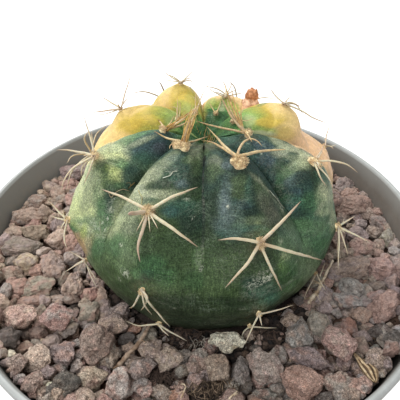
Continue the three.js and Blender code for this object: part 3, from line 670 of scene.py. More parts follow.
# ------------------------------------------------------------------ pot
def rounded(points, radii, steps=5):
    """A closed outline with its corners rounded."""
    p = np.array(points, float)
    out = []
    n = len(p)
    for i in range(n):
        r = radii[i]
        if r <= 0 or i in (0, n - 1):
            out.append(p[i])
            continue
        a, b = unit(p[i - 1] - p[i]), unit(p[(i + 1) % n] - p[i])
        half = .5 * math.acos(float(np.clip(a @ b, -1, 1)))
        cut = min(r / math.tan(half), .45 * np.linalg.norm(p[i - 1] - p[i]), .45 * np.linalg.norm(p[(i + 1) % n] - p[i]))
        s, e = p[i] + a * cut, p[i] + b * cut
        for f in np.linspace(0, 1, steps):
            out.append((1 - f) ** 2 * s + 2 * f * (1 - f) * p[i] + f * f * e)
    return np.array(out)


def fill_rows(outline, most):
    out = [outline[0]]
    for a, b in zip(outline[:-1], outline[1:]):
        k = max(1, int(math.ceil(np.linalg.norm(b - a) / most)))
        out += [a + (b - a) * (i + 1) / k for i in range(k)]
    return np.array(out)


def build_pot():
    corners = [(0, 1.8), (31.5, 1.8), (32.6, 0), (36.9, 0), (37.6, .7), (49.7, 68.4), (50.6, 69.3), (52.45, 79.1), (52.25, 79.75), (51.85, 80), (51.35, 80), (50.85, 79.4), (48.2, 68.4), (36.9, 4.2), (0, 4.2)]
    radii = [0, .5, .4, .5, .6, .5, .4, .5, .3, .3, .3, .4, .6, 1.2, 0]
    rows = fill_rows(rounded(corners, radii), 4.5)[1:-1]      # the two axis points become single vertices
    seg = 256
    ang = np.arange(seg) * 2 * np.pi / seg
    r, z = rows[:, 0][:, None], rows[:, 1][:, None]
    # the wall is not a perfect circle: under a tenth of a millimetre out of round
    wav = 1 + .0010 * np.sin(2 * ang + .7)[None] * (z / 80) + .0005 * np.sin(5 * ang)[None] * (z / 80)
    v = np.stack([r * wav * np.cos(ang)[None], r * wav * np.sin(ang)[None], z + 0 * ang[None]], -1)
    n = len(rows)
    i, j = np.meshgrid(np.arange(n - 1), np.arange(seg), indexing="ij")
    j2 = (j + 1) % seg
    quads = np.stack([i * seg + j, i * seg + j2, (i + 1) * seg + j2, (i + 1) * seg + j], -1).reshape(-1, 4)
    js = np.arange(seg)
    a, b = n * seg, n * seg + 1
    tris = np.vstack([np.stack([np.full(seg, a), (js + 1) % seg, js], -1), np.stack([np.full(seg, b), (n - 1) * seg + js, (n - 1) * seg + (js + 1) % seg], -1)])
    sh = Shell()
    sh.add(np.vstack([v.reshape(-1, 3), [0, 0, 1.8], [0, 0, 4.2]]), quads, tris)
    ob = sh.make("pot_shell", POT)
    cutters = []
    for k in range(6):
        c = math.radians(30 + 60 * k)
        bpy.ops.mesh.primitive_cylinder_add(vertices=40, radius=3.6 * MM, depth=8 * MM, location=(22 * MM * math.cos(c), 22 * MM * math.sin(c), 3 * MM))
        cutters.append(bpy.context.object)
    for cut in cutters:
        mod = ob.modifiers.new("hole", "BOOLEAN")
        mod.operation, mod.object, mod.solver = "DIFFERENCE", cut, "EXACT"
    dg = bpy.context.evaluated_depsgraph_get()
    me = bpy.data.meshes.new_from_object(ob.evaluated_get(dg))
    ob.modifiers.clear()
    ob.data = me
    me.name = "pot_shell"
    for cut in cutters:
        bpy.data.objects.remove(cut)
    co = np.zeros(len(me.vertices) * 3, np.float32)
    me.vertices.foreach_get("co", co)
    co = co.reshape(-1, 3) / MM
    rad = np.hypot(co[:, 0], co[:, 1])
    wall = np.where(co[:, 2] > 68.4, 48.2 + (co[:, 2] - 68.4) * .181, 36.9 + (co[:, 2] - 4.2) * .176)
    inner = ((rad < np.where(co[:, 2] > 68.4, wall + (co[:, 2] - 68.4) * .06, wall) + .35) & (co[:, 2] > 4)).astype(np.float32)
    edge = np.maximum(smooth(79.2, 79.9, co[:, 2]), smooth(.9, .2, co[:, 2])) * smooth(30, 32, rad)
    edge = np.maximum(edge, np.exp(-((co[:, 2] - 69.0) / .7) ** 2) * (rad > wall + .6) * .8)
    # the front of the inside wall is darker just above the stones: partly soil dirt, partly painted shade; less of it
    # towards the left
    dirt_and_shade = smooth(.05, .5, -co[:, 1] / np.maximum(rad, 1)) * smooth(79.3, 78.6, co[:, 2]) * smooth(52.0, 51.4, rad) * (co[:, 2] > 66) * (rad < wall + .9)
    dirt_and_shade *= 1 - .6 * smooth(.45, .9, -co[:, 0] / np.maximum(rad, 1))
    # painted shade: the inside wall is darker low down on its right side
    side = smooth(.12, .5, co[:, 0] / np.maximum(rad, 1)) * smooth(-.45, -.05, co[:, 1] / np.maximum(rad, 1))
    right_wall_shade = inner * side * (.24 + .42 * smooth(79.0, 75.6, co[:, 2])) * smooth(79.9, 79.4, co[:, 2]) * (co[:, 2] > 60)
    for key, val in (("inner", inner), ("edge", edge), ("dirt_and_shade", dirt_and_shade), ("right_wall_shade", right_wall_shade)):
        at = me.attributes.get(key) or me.attributes.new(key, "FLOAT", "POINT")
        at.data.foreach_set("value", val.astype(np.float32))
    me.polygons.foreach_set("use_smooth", np.ones(len(me.polygons), bool))
    me.set_sharp_from_angle(angle=math.radians(34))
    me.update()
    return place(ob, "pot_plastic", "pot")


build_pot()

# ------------------------------------------------------------------ stem: variegation
C = {k: lin(v) for k, v in dict(
    blk=(42, 52, 38), dk=(46, 60, 50), dg=(44, 58, 42), blk2=(40, 58, 56), tea=(54, 76, 74), tea3=(62, 94, 86), tel=(56, 88, 94), tel2=(58, 92, 82), blu=(64, 80, 98), vio=(92, 88, 108),
    slt=(92, 108, 114), cld=(116, 130, 136), grn=(70, 104, 74), grn2=(92, 120, 88), ol=(72, 88, 60), ol2=(62, 78, 54), ol3=(90, 106, 76), sage=(116, 132, 102), sage2=(140, 148, 114),
    gry=(142, 147, 120), gry2=(160, 163, 132), pgr=(156, 164, 128), pgr2=(170, 176, 128), ylg=(140, 152, 86), ylg2=(122, 152, 84), brn=(100, 100, 88), scu=(176, 182, 160), gra=(120, 127, 106), gra2=(152, 157, 129), cld2=(104, 122, 116), sag3=(98, 120, 96), mg2=(62, 92, 40),
    oli=(62, 76, 50), oli2=(64, 84, 56), lol=(104, 124, 80), tgr=(70, 100, 82), lim=(140, 146, 70), lim2=(152, 164, 108), mgr=(72, 112, 62), dgr=(40, 72, 42),
    yel=(177, 155, 70), crm=(207, 181, 125), pch=(212, 174, 134), pnk=(208, 154, 130), tan=(170, 140, 106), och=(150, 136, 90), sca=(206, 206, 190)).items()}

# the ground colour of each rib from its foot to the crown
# the near-black at the foot of the front ribs is partly their own dark colour and partly painted shade low down among
# the stones
GROUND = {
    "A": [(0, "blk"), (5.4, "blk"), (6.4, "oli"), (8.9, "ol2"), (9.5, "tea"), (12.4, "tea"), (13.1, "brn"), (13.6, "dgr"), (14, "dgr")],
    "B": [(0, "blk"), (5.2, "blk"), (6.2, "oli"), (8.7, "ol2"), (9.3, "tea"), (12.2, "tea"), (13.1, "brn"), (13.6, "dgr"), (14, "dgr")],
    "H": [(0, "blk"), (4.6, "oli"), (6.0, "oli2"), (7.0, "tgr"), (8.9, "tgr"), (9.6, "tea"), (12.4, "tea"), (13.1, "tea3"), (13.6, "dgr"), (14, "dgr")],
    "C": [(0, "blk"), (4.6, "oli"), (6.0, "ol3"), (7.4, "grn2"), (9.0, "pgr2"), (9.7, "sage2"), (11.0, "grn2"), (12.4, "tea3"), (13, "dgr"), (14, "dgr")],
    "D": [(0, "oli"), (4.2, "och"), (6.2, "lim"), (8.2, "pch"), (9.6, "crm"), (10.9, "yel"), (11.9, "lim"), (12.5, "ylg2"), (12.9, "mgr"), (13.4, "dgr"), (14, "dgr")],
    "E": [(0, "oli"), (4.2, "oli"), (6.0, "och"), (8.0, "lim"), (9.4, "yel"), (10.2, "crm"), (11.2, "yel"), (12.1, "yel"), (12.5, "lim"), (12.9, "mgr"), (13.3, "dgr"), (14, "dgr")],
    "F": [(0, "oli"), (4.4, "oli2"), (6.2, "grn"), (8.2, "lim"), (9.4, "pch"), (10.2, "pch"), (10.7, "lim"), (11.2, "mgr"), (11.9, "dgr"), (14, "dgr")],
    "G": [(0, "oli"), (4.4, "och"), (6.0, "lim2"), (7.4, "pch"), (9.4, "pch"), (10.1, "crm"), (10.9, "yel"), (11.4, "lim"), (11.9, "ylg2"), (12.4, "mgr"), (13.2, "dgr"), (14, "dgr")],
}
# patches: rib, place across the rib (-1 to 1), height, half width, half height, turn, colour, strength
PATCHES = [
    # the two peach patches near the right edge of H are a painted highlight, the rim light along the stem's right side
    ("H", .72, 9.3, .32, 1.2, 0, "pch", .9), ("H", .8, 7.6, .3, 1.2, 0, "pch", .6), ("H", .10, 8.3, .50, .36, -12, "gry2", .5), ("H", .48, 8.3, .26, .85, 0, "gry2", .7),
    ("C", -.80, 9.2, .34, 2.6, 0, "crm", .9), ("C", -.6, 7.0, .4, 1.0, 0, "och", .5), ("C", -.38, 8.7, .26, .6, 0, "crm", .6), ("C", .48, 7.0, .25, .42, 0, "pnk", .4), ("C", .25, 6.9, .18, .3, 0, "tan", .6),
    ("D", .62, 11.0, .30, 1.0, 0, "yel", .8), ("D", .84, 11.3, .12, .9, 0, "lim", .6), ("D", -.2, 10.6, .45, .5, 0, "crm", .6), ("D", .1, 7.2, .22, 1.6, 8, "lim", .6), ("D", -.55, 6.4, .18, 2.2, -6, "grn", .75), ("D", .85, 7.5, .2, 1.8, 0, "pgr2", .6),
    ("E", .05, 10.9, .75, .45, 0, "yel", .6), ("E", -.45, 8.0, .14, 2.6, 4, "grn", .85), ("E", .35, 7.2, .10, 2.4, -4, "dgr", .7), ("E", .1, 9.8, .5, .5, 0, "crm", .8), ("E", -.8, 9.6, .2, 1.6, 0, "crm", .8),
    ("F", -.50, 11.0, .28, .35, 0, "lim", .7), ("F", -.45, 9.9, .3, .5, 0, "crm", .8), ("F", .62, 10.6, .26, .55, 0, "ylg", .8), ("F", .1, 8.6, .12, 2.6, 5, "dgr", .7), ("F", -.7, 7.4, .16, 1.9, 0, "lim2", .7), ("F", .55, 7.4, .18, 2.0, -5, "mgr", .7),
    ("G", -.82, 11.2, .12, .8, 0, "ylg2", .6), ("G", -.56, 11.0, .18, .6, 0, "yel", .75), ("G", .15, 10.2, .42, .6, 0, "crm", .8), ("G", .05, 9.2, .55, .7, 0, "pch", .9), ("G", -.6, 8.6, .35, .9, 0, "pch", .9), ("G", .55, 8.8, .14, 2.4, 6, "grn", .75), ("G", .2, 6.6, .2, 1.2, 0, "pgr2", .6),
]
# patches that show from the front: rib, place across it, height, the four terms of the ellipse, colour, strength
# The dark strips along the furrow between A and B (across .95 and .96 on A, -.99 on B) are painted shade in that
# furrow.
FRONT = [
    ("C", 0.84, 10.70, 1.27, 0.51, 0.71, -0.45, "tea", 0.9), ("D", 0.28, 8.73, -0.51, 0.48, 1.75, -1.25, "crm", 0.9), ("C", -0.24, 9.38, -1.54, 2.32, 2.18, -2.67, "crm", 0.85),
    ("C", -0.27, 8.48, 1.55, -0.79, 1.23, -1.09, "pgr", 0.95), ("C", -0.06, 7.83, 2.66, 0.34, 1.94, -1.54, "pgr2", 0.9), ("C", 0.35, 8.10, 2.65, 0.97, 3.27, -2.91, "pgr2", 0.9),
    ("C", -0.17, 10.03, 0.11, 5.08, 3.21, -0.33, "gry2", 0.9), ("C", 0.06, 10.15, 0.93, 1.84, 2.70, -2.22, "pgr", 0.95), ("C", 0.33, 10.15, 2.10, 1.48, 3.21, -3.83, "pgr2", 0.9),
    ("C", 0.45, 10.00, 3.02, 2.42, 4.01, -3.65, "sage", 0.85), ("C", 0.60, 10.03, 4.71, 2.34, 1.43, -3.92, "grn2", 0.85), ("C", 0.34, 9.93, 4.24, 3.39, 16.67, -18.76, "ol2", 0.6),
    ("C", 0.45, 11.35, 0.60, 1.14, 2.30, 0.05, "blu", 0.95), ("C", 0.23, 11.15, 0.42, 1.66, 7.44, -0.06, "gry", 0.7), ("C", 0.73, 11.43, 5.00, 2.88, 3.76, -1.68, "vio", 0.75),
    ("C", 0.79, 10.82, 2.51, 2.28, 5.41, -0.23, "slt", 0.5), ("C", 0.76, 10.40, 2.17, 1.97, 4.01, -0.45, "tea3", 0.9), ("C", 0.83, 9.85, 6.14, 2.22, 2.01, -1.85, "tea", 0.95),
    ("C", 0.94, 9.85, 15.77, 1.29, -1.88, -2.91, "dk", 0.85), ("C", 0.29, 9.60, 4.79, 3.02, 3.90, -3.45, "dk", 0.95), ("C", 0.48, 9.40, 7.94, 3.49, 2.11, -2.23, "ol", 0.95),
    ("C", 0.45, 9.73, 7.46, 2.84, 3.30, -7.73, "ylg", 0.5), ("C", 0.62, 9.62, 8.10, 3.35, 2.90, -3.02, "ylg", 0.65), ("C", 0.66, 9.35, 10.27, 3.46, 4.90, -5.70, "ol3", 0.8),
    ("C", 0.79, 9.40, 10.20, 3.00, 5.57, -6.90, "grn", 0.8), ("C", 0.88, 9.48, 14.07, 3.72, 3.46, -4.41, "tea", 0.8), ("C", 0.31, 9.18, 8.32, 2.11, 2.01, -2.58, "sage", 0.9),
    ("C", 0.23, 8.60, 3.75, -0.10, 1.22, -1.44, "sage2", 0.9), ("C", 0.49, 8.73, 9.40, 1.57, 1.65, -2.10, "sage", 0.8), ("C", 0.75, 8.70, 6.01, 0.69, 0.51, -1.70, "tea", 0.95),
    ("C", 0.78, 8.95, 8.61, 0.54, -0.08, -3.45, "blk2", 0.8), ("C", 0.84, 9.12, 10.84, 0.04, -2.01, -4.00, "dk", 0.7), ("C", 0.74, 8.15, 8.68, 1.86, 0.82, -1.31, "grn2", 0.9),
    ("C", 0.91, 8.05, 9.04, 1.17, 0.45, -2.48, "grn", 0.9), ("C", 0.55, 7.83, 3.07, 0.65, 3.07, -2.85, "sage", 0.9), ("C", 0.31, 7.45, 5.14, -0.49, 4.26, -9.41, "ylg", 0.5),
    ("C", 0.50, 7.62, 3.90, 0.41, 4.22, -7.71, "gry2", 0.6), ("C", 0.86, 7.30, 5.55, 0.54, 1.24, -1.66, "grn2", 0.9), ("C", 0.53, 7.35, 6.74, 2.84, 2.98, -2.02, "ylg", 0.75),
    ("C", 0.43, 6.62, 5.56, -1.13, 3.64, -2.07, "tan", 0.75), ("C", 0.65, 7.10, 12.54, 1.27, 2.49, -1.64, "gry", 0.6), ("A", -0.90, 6.93, 1.83, 0.02, 4.44, -2.65, "ol3", 0.85),
    ("A", -0.96, 6.30, 1.88, -0.37, 6.85, -3.35, "ol", 0.9), ("A", -0.49, 6.83, 4.21, -0.41, 6.40, -4.65, "ol3", 0.7), ("A", 0.55, 9.35, 1.66, 0.17, 0.01, -0.62, "ol2", 0.9),
    ("A", -0.14, 11.15, 1.42, 2.31, 3.82, -1.30, "gra", 0.9), ("A", -0.30, 10.73, 1.03, 2.25, 3.29, -1.47, "gra", 0.95), ("A", -0.47, 10.20, 0.33, 2.53, 3.03, -1.17, "gra2", 0.95),
    ("A", -0.26, 10.35, 1.95, 3.51, 6.06, -3.66, "gra", 0.8), ("A", -0.61, 9.65, -0.33, 2.91, 3.07, -0.63, "gra2", 0.95), ("A", -0.71, 9.20, -1.50, 3.42, 2.47, -0.98, "gra2", 0.9),
    ("A", -0.89, 8.55, -4.15, 4.25, 1.11, -0.19, "pgr", 0.8), ("A", -0.66, 8.93, 1.42, 1.45, 3.43, -4.04, "gra", 0.8), ("A", -0.81, 8.10, -4.25, 4.41, 2.04, -0.15, "sage2", 0.9),
    ("A", -0.57, 8.57, 2.72, 1.03, 2.45, -2.80, "pgr", 0.75), ("A", -0.34, 8.68, 4.15, 0.78, 2.41, -3.53, "gra", 0.8), ("A", -0.57, 7.95, 3.32, 0.33, 2.65, -2.41, "grn2", 0.9),
    ("A", -0.32, 8.05, 4.87, 0.20, 2.14, -2.51, "sage", 0.7), ("A", -0.14, 9.80, 1.52, 0.39, 2.13, -6.75, "gra2", 0.85), ("A", 0.24, 9.82, 4.76, 0.44, 1.00, -8.68, "gry", 0.8),
    ("A", -0.54, 9.75, 2.24, 1.72, 4.30, -7.74, "scu", 0.5), ("A", -0.02, 10.15, 1.81, 0.98, 4.00, -6.16, "dk", 0.9), ("A", 0.28, 10.45, 4.85, 1.77, 5.11, -9.03, "tea3", 0.7),
    ("A", 0.46, 10.88, 2.45, 0.47, 0.69, -1.96, "tea", 0.95), ("A", 0.07, 11.20, 3.18, 1.32, 2.00, -4.99, "slt", 0.5), ("A", 0.51, 11.28, 3.49, 0.69, 2.31, -4.50, "ol3", 0.6),
    ("A", 0.58, 12.03, 3.76, 0.07, -0.47, -1.10, "gry", 0.7), ("A", 0.75, 11.43, 7.18, 0.06, 0.74, -1.99, "sage", 0.5), ("A", 0.48, 10.28, 5.57, 0.81, 1.12, -6.01, "blu", 0.85),
    ("A", 0.44, 10.32, 8.77, 1.41, 2.11, -9.94, "cld", 0.7), ("A", 0.70, 10.55, 6.58, 0.65, 0.51, -2.58, "dk", 0.85), ("A", 0.70, 11.00, 6.72, 0.76, 0.97, -2.32, "ol2", 0.85),
    ("A", 0.61, 9.80, 12.12, -0.39, -6.93, -28.05, "scu", 0.9), ("A", 0.53, 9.57, 3.34, 0.44, 0.24, -3.91, "tea3", 0.9), ("A", 0.36, 9.43, 6.24, 0.98, 1.13, -6.24, "tel", 0.9),
    ("A", 0.74, 9.15, 4.00, 0.20, -0.73, -3.00, "blk2", 0.8), ("A", 0.69, 8.88, 4.73, -0.31, -2.28, -4.57, "dk", 0.6), ("A", 0.89, 8.55, 9.31, 0.20, -2.74, -4.57, "dk", 0.4),
    ("A", 0.25, 8.93, 3.73, 0.25, 0.99, -4.14, "ol", 0.9), ("A", 0.19, 9.20, 7.45, 0.95, 1.89, -6.52, "ol3", 0.6), ("A", 0.00, 8.55, 3.74, 0.23, 1.69, -3.59, "ol", 0.8),
    ("A", 0.36, 8.45, 2.76, 0.10, 0.48, -2.97, "ol2", 0.9), ("A", 0.53, 8.05, 3.85, 0.05, 0.01, -3.16, "ol2", 0.9), ("A", 0.11, 7.80, 3.99, -0.08, 1.50, -2.78, "grn", 0.8),
    ("A", 0.03, 7.45, 6.71, -0.21, 3.41, -5.17, "tel", 0.3), ("A", -0.16, 7.38, 10.18, 2.06, 3.25, -5.42, "grn2", 0.8), ("A", -0.39, 7.55, 4.96, -0.14, 3.00, -2.85, "sage", 0.6),
    ("A", 0.38, 7.50, 4.90, -0.11, 0.98, -3.18, "grn", 0.7), ("A", 0.29, 7.10, 3.83, 0.02, 0.68, -3.58, "ol3", 0.6), ("A", 0.75, 7.30, 3.77, 0.04, -0.43, -2.21, "ol", 0.9),
    ("A", 0.81, 8.00, 5.99, 0.08, -1.02, -2.31, "ol", 0.8), ("A", 0.88, 8.12, 11.67, 0.17, -1.97, -3.42, "grn2", 0.3), ("A", 0.56, 6.53, 2.20, -0.13, 0.35, -3.24, "dg", 0.9),
    ("A", 0.48, 5.95, 1.70, -0.17, 1.20, -2.71, "blk", 0.9), ("A", 0.83, 5.22, 0.74, -0.03, -0.16, -1.75, "blk", 0.95), ("A", 0.95, 11.60, 6.67, 0.22, 1.25, -1.15, "dk", 0.9),
    ("A", 0.95, 10.40, 9.53, 0.23, 0.01, -1.48, "blk2", 0.9), ("A", 0.96, 9.40, 11.08, 0.17, -0.98, -1.46, "blk2", 0.9), ("B", -0.99, 8.60, 11.54, 0.05, 4.16, -3.02, "dk", 0.7),
    ("B", -0.17, 9.32, 1.38, -0.13, -0.20, -0.82, "ol2", 0.85), ("B", -0.60, 12.95, 1.60, -0.56, 0.30, -1.51, "brn", 0.8), ("B", 0.69, 13.33, -0.06, -1.88, -1.30, -2.10, "gry", 0.6),
    ("B", -0.93, 12.28, 2.88, -0.10, -0.82, -1.91, "ol3", 0.7), ("B", -0.59, 11.33, 4.54, -0.08, 0.57, -2.20, "gry", 0.55), ("B", -0.72, 10.75, 5.63, -1.45, -1.68, -2.13, "ol3", 0.8),
    ("B", -0.86, 10.57, 10.03, -0.36, -0.44, -1.95, "dk", 0.6), ("B", -0.50, 10.82, 7.71, -1.15, -1.86, -4.58, "ol3", 0.6), ("B", -0.35, 10.90, 7.54, -1.54, -3.32, -5.58, "cld", 0.75),
    ("B", -0.07, 10.55, 3.14, -0.83, -3.52, -10.27, "dk", 0.55), ("B", -0.14, 10.28, 4.15, -0.90, -1.39, -4.51, "ol3", 0.85), ("B", -0.20, 9.90, 4.20, -0.63, -0.99, -3.87, "ol", 0.9),
    ("B", -0.47, 10.07, 9.48, -0.99, -0.36, -2.30, "slt", 0.7), ("B", -0.57, 9.70, 8.39, -0.57, -0.03, -2.94, "cld", 0.6), ("B", -0.49, 9.43, 6.48, -1.07, -0.70, -3.02, "cld", 0.75),
    ("B", -0.62, 9.10, 5.94, -0.21, 0.63, -4.44, "slt", 0.8), ("B", -0.52, 8.85, 4.69, -0.32, 0.44, -7.67, "tea3", 0.8), ("B", -0.76, 9.43, 9.88, -0.33, 0.41, -1.75, "dk", 0.6),
    ("B", -0.32, 9.62, 12.32, 1.98, 1.42, -4.57, "tea3", 0.6), ("B", -0.14, 9.43, 3.06, -0.17, -1.13, -6.34, "blk2", 0.8), ("B", -0.16, 9.62, 4.76, -0.62, -1.91, -7.45, "blu", 0.6),
    ("B", 0.05, 9.95, 6.61, -1.55, -0.84, -2.41, "tea3", 0.7), ("B", 0.20, 9.98, 6.91, -2.24, -0.92, -2.33, "dk", 0.75), ("B", 0.33, 9.80, 5.75, 1.07, 0.16, -2.51, "ol3", 0.65),
    ("B", 0.36, 9.38, 5.59, 1.73, 0.25, -2.48, "brn", 0.7), ("B", 0.44, 9.00, 5.95, 2.29, 0.44, -3.29, "brn", 0.75), ("B", 0.30, 10.23, 1.72, -3.72, -13.15, -6.90, "gry", 0.6),
    ("B", 0.44, 9.90, 0.43, -3.65, -19.81, -6.95, "gry", 0.6), ("B", 0.59, 9.45, -0.48, -3.10, -23.27, -8.10, "gry", 0.5), ("B", 0.71, 8.95, -1.91, -6.45, -25.37, -2.86, "gry", 0.45),
    ("B", -0.01, 9.10, 3.45, -0.14, -1.93, -7.27, "sage", 0.8), ("B", 0.06, 9.03, 16.51, -1.58, -5.21, -11.74, "ylg", 0.3), ("B", -0.15, 8.95, 3.26, -1.10, -2.49, -10.24, "tea3", 0.85),
    ("B", -0.29, 9.05, 6.59, -0.33, -2.09, -11.88, "grn2", 0.6), ("B", 0.09, 8.82, 6.36, -1.63, -3.60, -8.02, "grn2", 0.75), ("B", 0.26, 8.95, 6.11, -3.61, -4.14, -7.46, "brn", 0.5),
    ("B", -0.42, 8.50, 2.27, -0.08, 0.05, -5.42, "ol2", 0.9), ("B", -0.47, 8.18, 2.29, -0.08, 0.16, -4.27, "ol", 0.8), ("B", -0.70, 7.75, 3.29, -0.04, 0.68, -2.18, "ol3", 0.75),
    ("B", -0.27, 7.88, 4.86, -0.09, -0.90, -3.72, "ol2", 0.7), ("B", 0.03, 8.10, 5.96, 0.03, -2.32, -3.70, "dk", 0.6), ("B", 0.10, 8.43, 8.80, -0.76, -5.69, -8.98, "tea", 0.6),
    ("B", -0.82, 7.28, 4.85, -0.01, 0.66, -1.52, "ol3", 0.7), ("B", -0.44, 7.12, 4.88, 0.06, -0.38, -1.93, "ol", 0.8), ("B", 0.04, 6.83, 2.92, 0.14, -1.73, -1.82, "tel2", 0.95),
    ("B", -0.09, 7.25, 4.56, 0.11, -2.84, -4.68, "blk2", 0.7), ("B", 0.14, 6.35, 3.88, 0.27, -3.05, -2.52, "tel2", 0.8), ("B", 0.43, 7.40, 7.09, -0.48, -4.00, -2.77, "ylg2", 0.45),
    ("B", 0.48, 7.78, 8.60, -0.45, -7.91, -7.08, "pgr2", 0.7), ("B", 0.60, 7.75, 9.10, -0.74, -11.64, -9.40, "ylg2", 0.35), ("B", 0.44, 8.25, 8.08, -1.22, -3.79, -4.11, "grn2", 0.8),
    ("B", 0.41, 8.32, 16.18, -2.65, -5.94, -6.74, "pgr", 0.6), ("B", 0.65, 6.28, 5.20, -0.16, -3.75, -3.11, "grn", 0.7), ("B", -0.44, 6.45, 2.16, 0.08, -1.42, -3.47, "dg", 0.9),
    ("B", -0.42, 5.95, 1.65, 0.07, -0.73, -3.23, "blk", 0.9), ("H", -0.90, 8.80, 1.81, -0.42, -0.23, -0.48, "tea", 0.85), ("G", -0.89, 11.00, 2.80, -1.83, -18.02, -0.12, "gry2", 0.9),
    ("H", 0.34, 10.80, -0.97, -2.52, -3.32, 1.41, "gry", 0.9), ("H", 0.26, 10.23, -0.72, -2.92, -4.88, -1.58, "gry2", 0.9), ("H", 0.18, 9.75, -0.99, -4.72, -4.45, 0.33, "gry2", 0.9),
    ("H", -0.14, 11.93, 1.02, -3.07, -6.45, -2.95, "brn", 0.7), ("H", -0.31, 11.30, 0.90, -1.44, -3.21, -1.05, "blu", 0.95), ("H", -0.70, 11.50, 4.12, -2.38, -2.64, -1.69, "tea", 0.9),
    ("H", -0.71, 10.95, 3.42, -2.17, -4.50, -1.51, "tea3", 0.8), ("H", -0.66, 11.35, 5.42, -3.20, -3.23, -2.26, "tel", 0.7), ("H", -0.61, 10.55, 2.27, -1.73, -4.09, -1.77, "blu", 0.9),
    ("H", -0.55, 10.15, 5.72, -3.53, -2.52, -2.30, "dk", 0.8), ("H", -0.19, 10.43, 2.69, -3.92, -9.74, -7.17, "cld", 0.5), ("H", -0.09, 10.07, 1.24, -3.05, -7.64, -4.38, "gry", 0.6),
    ("H", -0.25, 9.78, 2.27, -3.05, -4.38, -2.59, "pgr", 0.75), ("H", -0.50, 9.85, 4.47, -2.60, -1.62, -4.25, "sage", 0.85), ("H", -0.65, 9.70, 7.60, -4.18, -3.26, -3.19, "grn2", 0.7),
    ("H", -0.84, 9.62, 15.18, -5.44, -1.66, -2.00, "grn", 0.9), ("H", -0.95, 9.30, 16.54, -3.85, -1.75, -3.24, "dk", 0.7), ("H", -0.52, 9.55, 5.04, -2.02, -3.48, -7.48, "slt", 0.85),
    ("H", -0.70, 9.48, 6.47, -2.85, -4.55, -5.11, "slt", 0.8), ("H", -0.74, 9.55, 17.86, -7.61, -10.99, -12.40, "cld", 0.5), ("H", -0.44, 9.38, 4.20, -2.66, -2.73, -2.60, "blk2", 0.9),
    ("H", -0.55, 9.07, 4.43, -1.99, -3.22, -3.45, "tea", 0.9), ("H", -0.74, 9.12, 7.17, -2.48, -4.33, -5.50, "blu", 0.6), ("H", -0.88, 8.98, 7.85, -1.88, -2.70, -4.62, "grn", 0.6),
    ("H", -0.84, 8.78, 7.18, -1.79, -1.90, -3.23, "tel", 0.7), ("H", -0.62, 8.65, 4.69, -1.29, -2.01, -2.46, "grn", 0.6), ("H", -0.78, 8.50, 6.92, -1.66, -3.87, -5.90, "blk2", 0.6),
    ("H", -0.36, 8.55, 6.74, -1.09, -1.76, -2.16, "sage", 0.8), ("H", -0.29, 9.18, 12.08, -4.89, -1.98, -2.54, "dk", 0.6), ("H", -0.17, 8.70, 7.30, 0.02, -2.40, -3.42, "gry2", 0.55),
    ("H", -0.06, 8.07, 4.48, 0.62, -2.07, -1.85, "pgr", 0.55), ("H", 0.01, 7.40, 3.90, -3.31, -2.72, -2.29, "gry2", 0.5), ("H", -0.32, 8.05, 6.11, 1.72, -4.67, -8.13, "pgr", 0.6),
    ("H", -0.44, 8.35, 5.66, -8.29, -5.10, -2.65, "gry", 0.6), ("H", -0.95, 8.03, 4.93, -0.84, -1.20, -3.52, "grn", 0.8), ("H", -0.64, 7.80, 2.64, -0.24, -2.84, -2.86, "grn2", 0.75),
    ("B", 0.78, 8.07, 3.39, -1.39, -4.85, -3.75, "tel2", 0.7), ("H", -0.99, 7.50, 6.82, -0.61, -0.83, -4.62, "grn2", 0.8), ("H", -0.59, 7.12, 2.76, -0.03, -4.14, -3.38, "grn", 0.8),
    ("B", 0.51, 8.50, 6.75, -1.79, -5.08, -5.84, "tea3", 0.7), ("H", -0.96, 6.93, 3.63, -0.07, -2.49, -3.42, "grn2", 0.7), ("H", -0.64, 6.05, 3.46, 0.85, -3.70, -2.30, "ol3", 0.7),
    ("B", 0.88, 6.65, 3.01, 0.26, -3.72, -2.16, "grn", 0.8), ("B", 0.86, 5.85, 3.09, 0.76, -4.42, -2.07, "ol2", 0.8), ("H", -0.88, 4.60, 1.31, 0.51, -5.36, -2.74, "blk", 0.8),
    ("A", 0.24, 6.47, 4.60, -1.05, -1.77, -2.14, "dg", 0.8), ("A", -0.62, 6.20, 2.91, -0.66, 4.96, -3.29, "ol2", 0.7),
    ("A", 0.95, 7.95, 9.48, 0.07, -2.12, -2.55, "sage", 0.42), ("B", -0.44, 9.18, 4.12, -0.21, -0.10, -2.03, "cld2", 0.5), ("B", 0.73, 7.93, 1.76, -0.40, -1.81, -1.39, "sag3", 0.6),
    ("B", -0.66, 7.85, 2.48, -0.04, 0.55, -2.08, "ol2", 0.5), ("A", 0.83, 7.42, 4.96, 0.01, -1.00, -3.13, "grn", 0.35), ("B", 0.55, 6.75, 3.15, 0.25, -3.39, -2.29, "grn", 0.4),
    ("H", -0.14, 10.57, 2.09, -2.71, -2.64, -2.71, "gry2", 0.65), ("H", -0.55, 10.15, 4.29, -2.64, -2.88, -2.62, "grn2", 0.3), ("C", 0.95, 8.78, 9.33, 2.15, 1.27, -3.52, "pgr", 0.5),
    ("E", 0.54, 11.85, -0.48, 0.72, 3.33, 1.81, "lim", 0.85), ("D", -0.70, 12.00, -2.79, 1.53, -3.52, 2.02, "lim2", 0.6), ("E", -0.24, 11.60, -2.72, 0.88, -0.61, 1.57, "lim", 0.45),
    ("D", 0.36, 12.47, -0.16, 2.74, 2.82, 2.26, "lim2", 0.6), ("D", 0.73, 11.38, 2.13, 2.23, 5.47, -0.29, "lim", 0.35), ("F", -0.17, 12.70, -1.56, -1.22, -0.69, 2.79, "dgr", 0.7),
